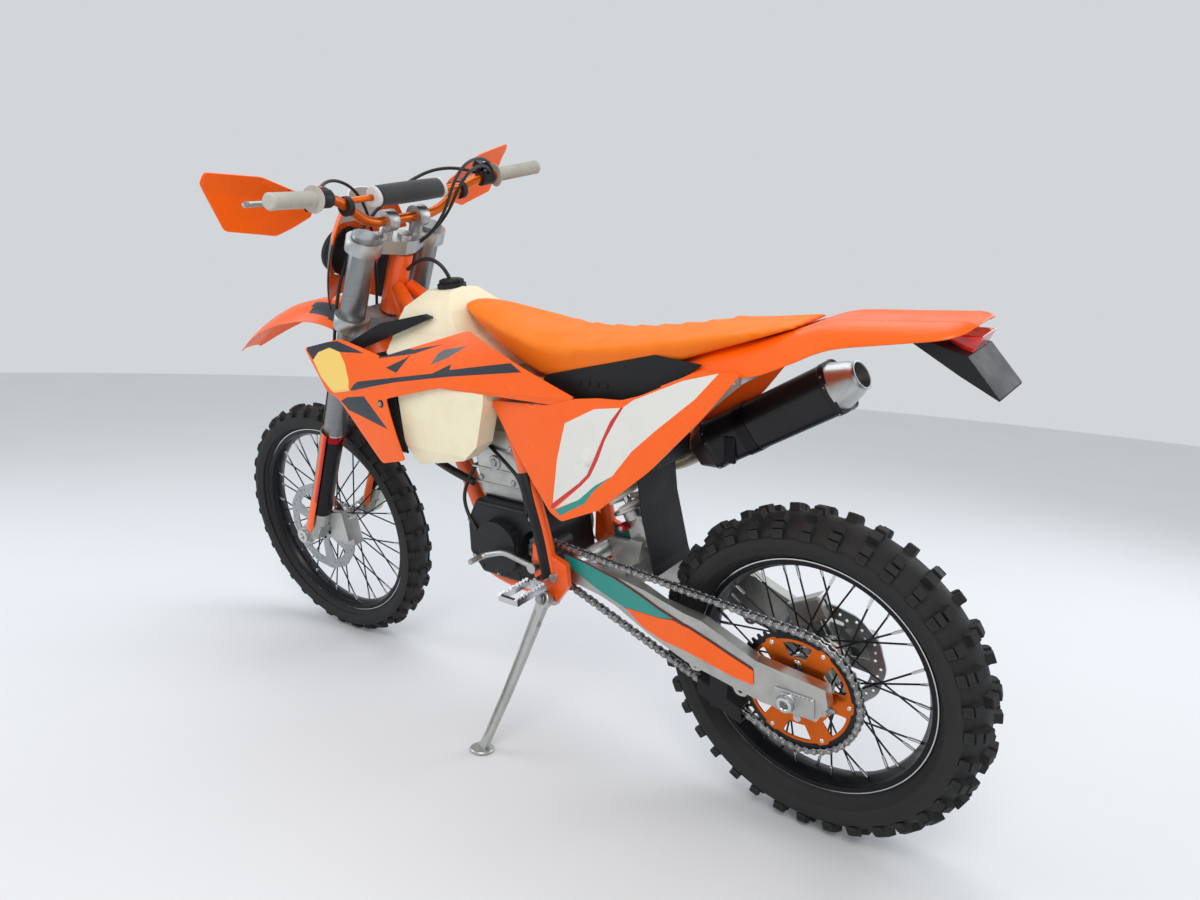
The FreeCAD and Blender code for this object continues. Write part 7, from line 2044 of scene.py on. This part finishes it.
@dataclass
class Engine:
    """Covers, bolts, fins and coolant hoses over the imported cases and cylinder."""

    case_half: float = 92
    left_cover: tuple = ((722, 480), 62, 115.5, 6, 12)
    right_cover: tuple = ((716, 480), 84, 125.5, 8, 10)
    case_bolts: Outline = ((628, 560), (664, 405), (744, 402), (818, 430), (822, 520))
    fins: tuple[float, ...] = (604, 640, 692, 736)
    fin_half: float = 63.4
    plug: Point3 = (752, 66, 662)
    coolant: tuple[Path3, ...] = (
        ((1012, 92, 712), (960, 84, 660), (880, 74, 622), (822, 66, 604)),
        ((1012, -92, 712), (960, -84, 660), (880, -74, 622), (822, -66, 604)),
        ((1012, 78, 880), (966, 60, 850), (900, 40, 800), (826, 30, 770)),
    )

    def cover(self, form: Form, side: int, centre: tuple[float, float], radius: float, out: float,
              count: int, turn: float) -> None:
        """A stepped round cover with bolt bosses and its bolts."""
        place = Matrix.Translation((centre[0], 0, centre[1]))
        if side < 0:
            place = place @ Matrix.Rotation(math.pi, 4, "Z")
        form.lathe([(0.2, out), (radius * 0.5, out), (radius * 0.56, out - 1.5), (radius * 0.6, out - 1.5),
                    (radius * 0.66, out - 0.4), (radius * 0.86, out - 1.2), (radius * 0.95, out - 5),
                    (radius * 0.99, out - 10), (radius * 0.99, self.case_half - 2),
                    (0.2, self.case_half - 2)], Look.CASE, 96, place)
        for x, z in circle(radius * 0.9, count, turn=turn):
            base = place @ Vector((x, self.case_half, z))
            form.rod(base, place @ Vector((x, out - 3, z)), 7.4, Look.CASE, 20, 1.6)
            form.bolt(place @ Vector((x, out - 3.2, z)), (0, side, 0), 4.2, Look.STEEL, 2.8)

    def build(self) -> None:
        """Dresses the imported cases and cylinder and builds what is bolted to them."""
        dress("crankcase", Look.CASE, 3.0)
        dress("cylinder", Look.CAST_ALLOY, 2.5)
        form = Form("engine_covers")
        self.cover(form, 1, *self.left_cover)
        self.cover(form, -1, *self.right_cover)
        for x, z in self.case_bolts:
            form.rod((x, 88, z), (x, 94.5, z), 8, Look.CASE, 20, 1.2)
            form.bolt((x, 94, z), (0, 1, 0), 4.4, Look.STEEL, 3)
        for rib in range(5):
            x = 640 + rib * 38
            form.block((x, 84, 398 + rib * 1.5), (x + 5, 93.6, 418), Look.CASE, 1)
        form.finished(BIKE, Body.CHASSIS, (), "case_black", 30)
        form = Form("cylinder_fittings")
        for level in self.fins:
            form.prism(rounded_outline([(676, level), (826, level), (828, level + 7), (676, level + 7)], 3),
                       -self.fin_half, self.fin_half, Look.CAST_ALLOY, 1.4)
        for x in (700, 800):
            for z in (700, 620):
                form.bolt((x, 62, z), (0, 1, 0), 6, Look.STEEL, 4)
                form.bolt((x, -62, z), (0, -1, 0), 6, Look.STEEL, 4)
        form.rod(Vector(self.plug) - Vector((0, 6, 0)), self.plug, 17, Look.CAST_ALLOY, 32, 1.5)
        form.bolt(self.plug, (0, 1, 0), 9, Look.STEEL, 4)
        form.finished(BIKE, Body.CHASSIS, (), "cast_alloy", 30)
        cord_line("coolant_hoses", self.coolant, 9.5, BIKE, Body.CHASSIS, Look.CABLE, ())


@dataclass
class Disc:
    """A wavy drilled brake disc on its carrier."""

    end: str
    place: Matrix
    body: Body
    outer: float
    inner: float
    plane: float
    wide: float
    bolts: float
    bore: float = 24

    def build(self) -> None:
        """Builds the disc with its waves, holes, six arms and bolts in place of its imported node."""
        outline = []
        for step in range(288):
            turn = 360 * step / 288
            wave = 0.5 - 0.5 * math.cos(math.radians(12 * turn))
            outline.append(at_angle(self.outer * (1 - 0.022 * wave), turn))
        holes = []
        for number in range(36):
            middle = (self.outer * 0.965 + self.inner) / 2 + (5, 0, -5)[number % 3]
            holes.append(circle(3.2, 12, at_angle(middle, 10 * number)))
        for start in range(0, 360, 60):
            holes.append(arc_window(self.inner - 2, self.bolts + 10, start + 11, start + 49, 5, 4))
        holes.append(circle(self.bore, 64))
        form = stencil(f"{self.end}_disc_wavy", outline, holes, self.plane - self.wide / 2,
                       self.plane + self.wide / 2, Look.STEEL, 0.35)
        side = 1 if self.plane > 0 else -1
        for turn in range(0, 360, 60):
            form.bolt(polar(self.bolts, turn, self.plane + side * self.wide / 2), (0, side, 0), 5,
                      Look.DARK_STEEL, 2.4)
        form.finished(self.place, self.body, (f"{self.end}_disc",), "disc_steel", 30)


@dataclass
class Wheels:
    """Both wheels: knobbly tyres, black rims, laced hubs and wavy discs."""

    rear_hub: Outline = (
        (12.8, -64), (38.5, -64), (40, -62.5), (40, -60), (30, -56.5), (28, -54), (28, -44), (31, -41),
        (50.5, -39.4), (52, -38), (52, -34), (50.5, -32.6), (34, -29), (28, -23), (28, 23), (34, 29),
        (50.5, 32.6), (52, 34), (52, 38), (50.5, 39.4), (31, 42), (28, 46), (28, 58), (34, 63),
        (60, 68), (63, 69.5), (64, 71.5), (64, 76.8), (12.8, 76.8),
    )
    front_hub: Outline = (
        (13.3, -65.8), (18, -65.8), (19, -64.8), (19, -62), (22, -58), (22, -38), (25, -35.5), (38.8, -34.6),
        (40, -33.4), (40, -30.6), (38.8, -29.4), (27, -27), (22, -22), (22, 22), (27, 27), (38.8, 29.4),
        (40, 30.6), (40, 33.4), (38.8, 34.6), (25, 36), (22, 40), (22, 48), (26, 51), (34.8, 52.4),
        (36, 53.6), (36, 56), (13.3, 56),
    )

    def build(self) -> None:
        """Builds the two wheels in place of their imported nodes."""
        rear = Rim()
        front = Rim("front", FRONT, Body.FRONT, lip=280, half=22, seat=269, inside=19, well=11,
                    well_half=10, wall=4.5, flange=40, flange_place=32)
        Tyre().build()
        Tyre("front", FRONT, Body.FRONT, radius=348, half=39, drop=19, bulge=305, wide=43, bead=269.3,
             bead_half=19, lip=280.5, deep=12, block=17).build()
        rear.build()
        front.build()
        Hub(rear, self.rear_hub, bolts=34, bolt_face=-64).build()
        Hub(front, self.front_hub, bolts=30, bolt_face=56).build()
        Disc("rear", REAR, Body.REAR, outer=110, inner=84, plane=-66, wide=4, bolts=32).build()
        Disc("front", FRONT, Body.FRONT, outer=130, inner=104, plane=58, wide=3.5, bolts=30).build()


@dataclass
class SideStand:
    """The forged stand: a recessed web, a bored eye and a round foot that lies flat on the floor."""

    foot: Point3 = (-80, 12, 0)
    eye: float = 20
    eye_half: float = 9

    def section(self, half: float, thick: float, deep: float) -> Outline:
        """One section across the leg: two rails with a recessed web between them."""
        rim, slope = 3.4, 1.4
        quarter = [(half, thick - 1), (half - 1, thick), (half - rim, thick),
                   (half - rim - slope, thick - deep)]
        upper = quarter + [(-a, b) for a, b in reversed(quarter)]
        return upper + [(a, -b) for a, b in reversed(upper)]

    def build(self) -> None:
        """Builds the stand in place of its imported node."""
        joint = next(item for item in frame["joints"] if item["name"] == "side_stand_fold")
        pivot, hinge = Vector(joint["pos_m"]) / MM, Vector(joint["axis"]).normalized()
        foot = Vector(self.foot)
        along = (foot - pivot).normalized()
        across = hinge.cross(along)
        long = (foot - pivot).length
        form = Form("forged_side_stand")
        stations = [(10, 14, 7.5, 0), (24, 13.6, 7.5, 0), (34, 13.2, 7.4, 3.6), (0.35 * long, 11.6, 7, 4),
                    (0.62 * long, 10.4, 6.6, 4), (0.88 * long, 9.4, 6.4, 3.6), (0.93 * long, 9.6, 6.4, 0),
                    (long - 9, 11, 7, 0)]
        rings = []
        for at, half, thick, deep in stations:
            bow = 5 * math.sin(math.pi * min(1.0, at / long))
            rings.append([pivot + along * at + across * (a + bow) + hinge * b
                          for a, b in self.section(half, thick, deep)])
        form.skin(rings, Look.CAST_ALLOY)
        turn = hinge.to_track_quat("Y", "Z").to_matrix().to_4x4()
        form.lathe([(8.2, -self.eye_half), (18.6, -self.eye_half), (self.eye, -self.eye_half + 1.4),
                    (self.eye, self.eye_half - 1.4), (18.6, self.eye_half), (8.2, self.eye_half)],
                   Look.CAST_ALLOY, 48, Matrix.Translation(pivot) @ turn)
        form.bolt(pivot + hinge * (self.eye_half + 3), hinge, 10, Look.STEEL, 6)
        flat = Matrix.Translation(foot) @ Matrix.Rotation(math.radians(90), 4, "X")
        form.lathe([(0.2, 0), (25.4, 0), (27, 1.2), (27, 5), (25, 7.4), (16, 9.4), (0.2, 10)],
                   Look.CAST_ALLOY, 48, flat)
        for lug in range(3):
            root = pivot + along * (50 + 4 * lug)
            form.rod(root + across * 13, root + across * 19, 3.2 if lug == 1 else 2.4, Look.STEEL, 12, 0.5)
        form.finished(Matrix.Identity(4), Body.STAND, ("side_stand",), "cast_alloy", 30)


@dataclass
class HandGuards:
    """Folded hand guards with sharp outlines on their stays."""

    outline: Outline = ((456, 1410), (449, 1431), (331, 1417), (264, 1388), (212, 1366), (205, 1324),
                        (250, 1301), (289, 1286), (405, 1308))
    stay: tuple[float, float] = (216, 1342)
    clamp: Point3 = (14, 178, 1374)

    def face(self, across: float, up: float) -> float:
        """How far ahead the guard's face stands, with a fold along its middle."""
        share = (across - 204) / 252
        knots = ((0, 0), (0.4, 0.55), (0.72, 0.8), (1.0, 1.0), (1.2, 1.05))
        reach = 0.0
        for (a, low), (b, high) in zip(knots, knots[1:]):
            if a <= share <= b:
                reach = low + (high - low) * (share - a) / (b - a)
        fold = up - 1352 - (across - 264) * 0.24
        return 80 + 34 * reach - 0.16 * abs(fold) + 6

    def build(self) -> None:
        """Builds both guards and their stays."""
        Sheet("hand_guards_folded", self.outline, self.face, Look.ORANGE_PLASTIC,
              lambda u, v, h: (h, u, v), 3.0, 12, 8).build(
                  FORK, Body.STEERING, ("hand_guards",), "plastic_orange")
        form = Form("hand_guard_stays")
        y, z = self.stay
        ahead = self.face(y, z)
        route = rounded([self.clamp, (52, 182, 1372), (78, 200, 1348), (ahead - 2, y, z)], 0.4, 6)
        form.tube(route, 6, Look.BLACK_PLASTIC, 16)
        form.lathe([(11.5, 171), (20, 171), (21, 172), (21, 184), (20, 185), (11.5, 185)],
                   Look.BLACK_PLASTIC, 40, Matrix.Translation((self.clamp[0], 0, self.clamp[2])))
        form.rod((ahead - 4, y, z), (ahead + 5, y, z), 9, Look.BLACK_PLASTIC, 24, 1)
        form.bolt((ahead + 4.4, y, z), (1, 0, 0), 4.6, Look.STEEL, 3)
        form.mirror().finished(FORK, Body.STEERING, (), "plastic_black", 32)


@dataclass
class Shock:
    """The shock absorber: a coil over a rod, a clevis, a reservoir and its red adjuster."""

    low: Point3 = (392, 0, 536)
    high: Point3 = (530, 0, 812)
    coil_radius: float = 33
    wire: float = 6.4
    turns: float = 6.5
    clevis: Outline = ((372, 518), (412, 518), (424, 560), (418, 584), (392, 590), (374, 556))

    def build(self) -> None:
        """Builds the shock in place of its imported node."""
        low, high = Vector(self.low), Vector(self.high)
        along = (high - low).normalized()
        side = Vector((0, 1, 0))
        out = along.cross(side)
        long = (high - low).length
        form = Form("shock_absorber")
        coil, pieces = [], int(self.turns * 28)
        for step in range(pieces + 1):
            turn = 2 * math.pi * step / 28
            round_axis = (side * math.cos(turn) + out * math.sin(turn)) * self.coil_radius
            coil.append(low + along * (72 + (long - 140) * step / pieces) + round_axis)
        form.tube(coil, self.wire, Look.SPRING, 14)
        form.rod(low + along * 18, high - along * 20, 8, Look.BRIGHT_STEEL, 28, 1)
        form.rod(low + along * 150, high - along * 12, 25, Look.DARK_ALLOY, 40, 2)
        for at in (62, long - 66):
            form.rod(low + along * at, low + along * (at + 9), 39, Look.BRUSHED_ALLOY, 48, 2)
        form.rod(low + along * 40, low + along * 64, 22, Look.CAST_ALLOY, 36, 2)
        for way in (1, -1):
            low_y, high_y = sorted((way * 7, way * 15.6))
            form.prism(rounded_outline(self.clevis, 12), low_y, high_y, Look.CAST_ALLOY, 1.6)
        form.rod((392, -16, 536), (392, 16, 536), 12, Look.STEEL, 28, 1)
        form.rod((424, 18, 560), (424, 36, 560), 10, Look.RED_ANODISED, 18, 1.5)
        form.rod((424, 34, 560), (424, 38, 560), 5.5, Look.STEEL, 6, 0.6)
        form.rod(high - Vector((0, 15.4, 0)), high + Vector((0, 15.4, 0)), 15, Look.CAST_ALLOY, 32, 1.5)
        form.finished(BIKE, Body.CHASSIS, ("shock",), "bright_steel", 32)


@dataclass
class Filling:
    """The dark cover under the seat, the intake boot and the wires beside the engine."""

    cover: Outline = ((556, 872), (542, 893), (396, 926), (274, 954), (172, 944), (243, 900), (333, 860),
                      (379, 856), (408, 860), (466, 848), (540, 842))
    wires: tuple[Path3, ...] = (
        ((700, 66, 742), (640, 84, 720), (606, 74, 640), (612, 82, 560)),
        ((760, 64, 700), (690, 86, 676), (640, 92, 640), (640, 90, 570)),
        ((820, 60, 640), (842, 80, 600), (838, 92, 540), (800, 96, 500)),
    )

    def build(self) -> None:
        """Builds the cover and the boot and draws the wires."""
        form = Form("airbox_cover")
        outline = rounded_outline(self.cover, 6)
        form.prism(outline, 95, 99, Look.BLACK_PLASTIC, 1.2)
        for x in (384, 406, 428, 450):
            form.block((x, 98, 880), (x + 10, 101, 893), Look.DARK_ALLOY, 1)
        form.mirror().finished(BIKE, Body.CHASSIS, (), "plastic_black", 30)
        boot = Form("intake_boot")
        boot.tube(rounded([(560, 0, 742), (610, 0, 742), (668, 0, 738)], 0.4, 8),
                  [27, 30, 30, 29, 30, 29, 30, 29, 30, 29, 27], Look.SOFT_RUBBER, 32)
        for at in (566, 656):
            boot.rod((at, 0, 742), (at + 8, 0, 741), 32, Look.STEEL, 36, 0.6)
        boot.finished(BIKE, Body.CHASSIS, (), "plastic_black", 45)
        cord_line("wiring_lines", self.wires, 4.2, BIKE, Body.CHASSIS, Look.CABLE, ())


CARRIED: dict[str, tuple[Look, float]] = {
    "main_frame": (Look.FRAME_PAINT, 1.2), "subframe": (Look.CAST_ALLOY, 1.2),
    "exhaust_header": (Look.HEADER_STEEL, 0), "shroud_wings": (Look.BLACK_PLASTIC, 1.5),
    "radiators": (Look.CORE, 1.0), "airbox": (Look.BLACK_PLASTIC, 1.5),
    "plate_holder": (Look.BLACK_PLASTIC, 1.0), "tail_lamp": (Look.RED_LENS, 2.0),
    "footpegs": (Look.BRIGHT_STEEL, 0.6), "foot_controls": (Look.CAST_ALLOY, 1.0),
    "chain_guide": (Look.BLACK_PLASTIC, 1.0), "frame_guards": (Look.BLACK_PLASTIC, 1.5),
    "fork_outer_tubes": (Look.FORK_GREY, 1.2), "fork_sliders": (Look.CAST_ALLOY, 1.2),
    "triple_clamps": (Look.BRUSHED_ALLOY, 1.6), "rear_caliper": (Look.CAST_ALLOY, 1.2),
    "front_caliper": (Look.CAST_ALLOY, 1.2), "handlebar": (Look.ORANGE_ALLOY, 0),
    "bar_controls": (Look.BLACK_PLASTIC, 1.0), "levers": (Look.CAST_ALLOY, 0.8),
    "rear_axle": (Look.BRIGHT_STEEL, 0.8),
    "front_axle": (Look.BRIGHT_STEEL, 0.8), "stand_bracket": (Look.STEEL, 0.8),
}


def plain(value: object) -> object:
    """Turns vectors and tuples into plain lists of numbers."""
    if isinstance(value, (int, float, str)):
        return value
    return [plain(part) for part in value]


def main() -> None:
    """Builds every piece, the studio and the camera."""
    logging.basicConfig(level=logging.INFO, format="%(message)s")
    Studio().build()
    Cords().build()
    for node, (look, edge) in CARRIED.items():
        dress(node, look, edge)
    Wheels().build()
    Sprocket().build()
    Chain().build()
    Swingarm().build()
    Fenders().build()
    Tank().build()
    Seat().build()
    SidePlastics().build()
    Silencer().build()
    Cockpit().build()
    Face().build()
    Engine().build()
    Filling().build()
    Shock().build()
    SideStand().build()
    HandGuards().build()
    {"packed": plain(CAD_BOX), "finished": plain(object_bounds())}


if __name__ == "__main__":
    main()
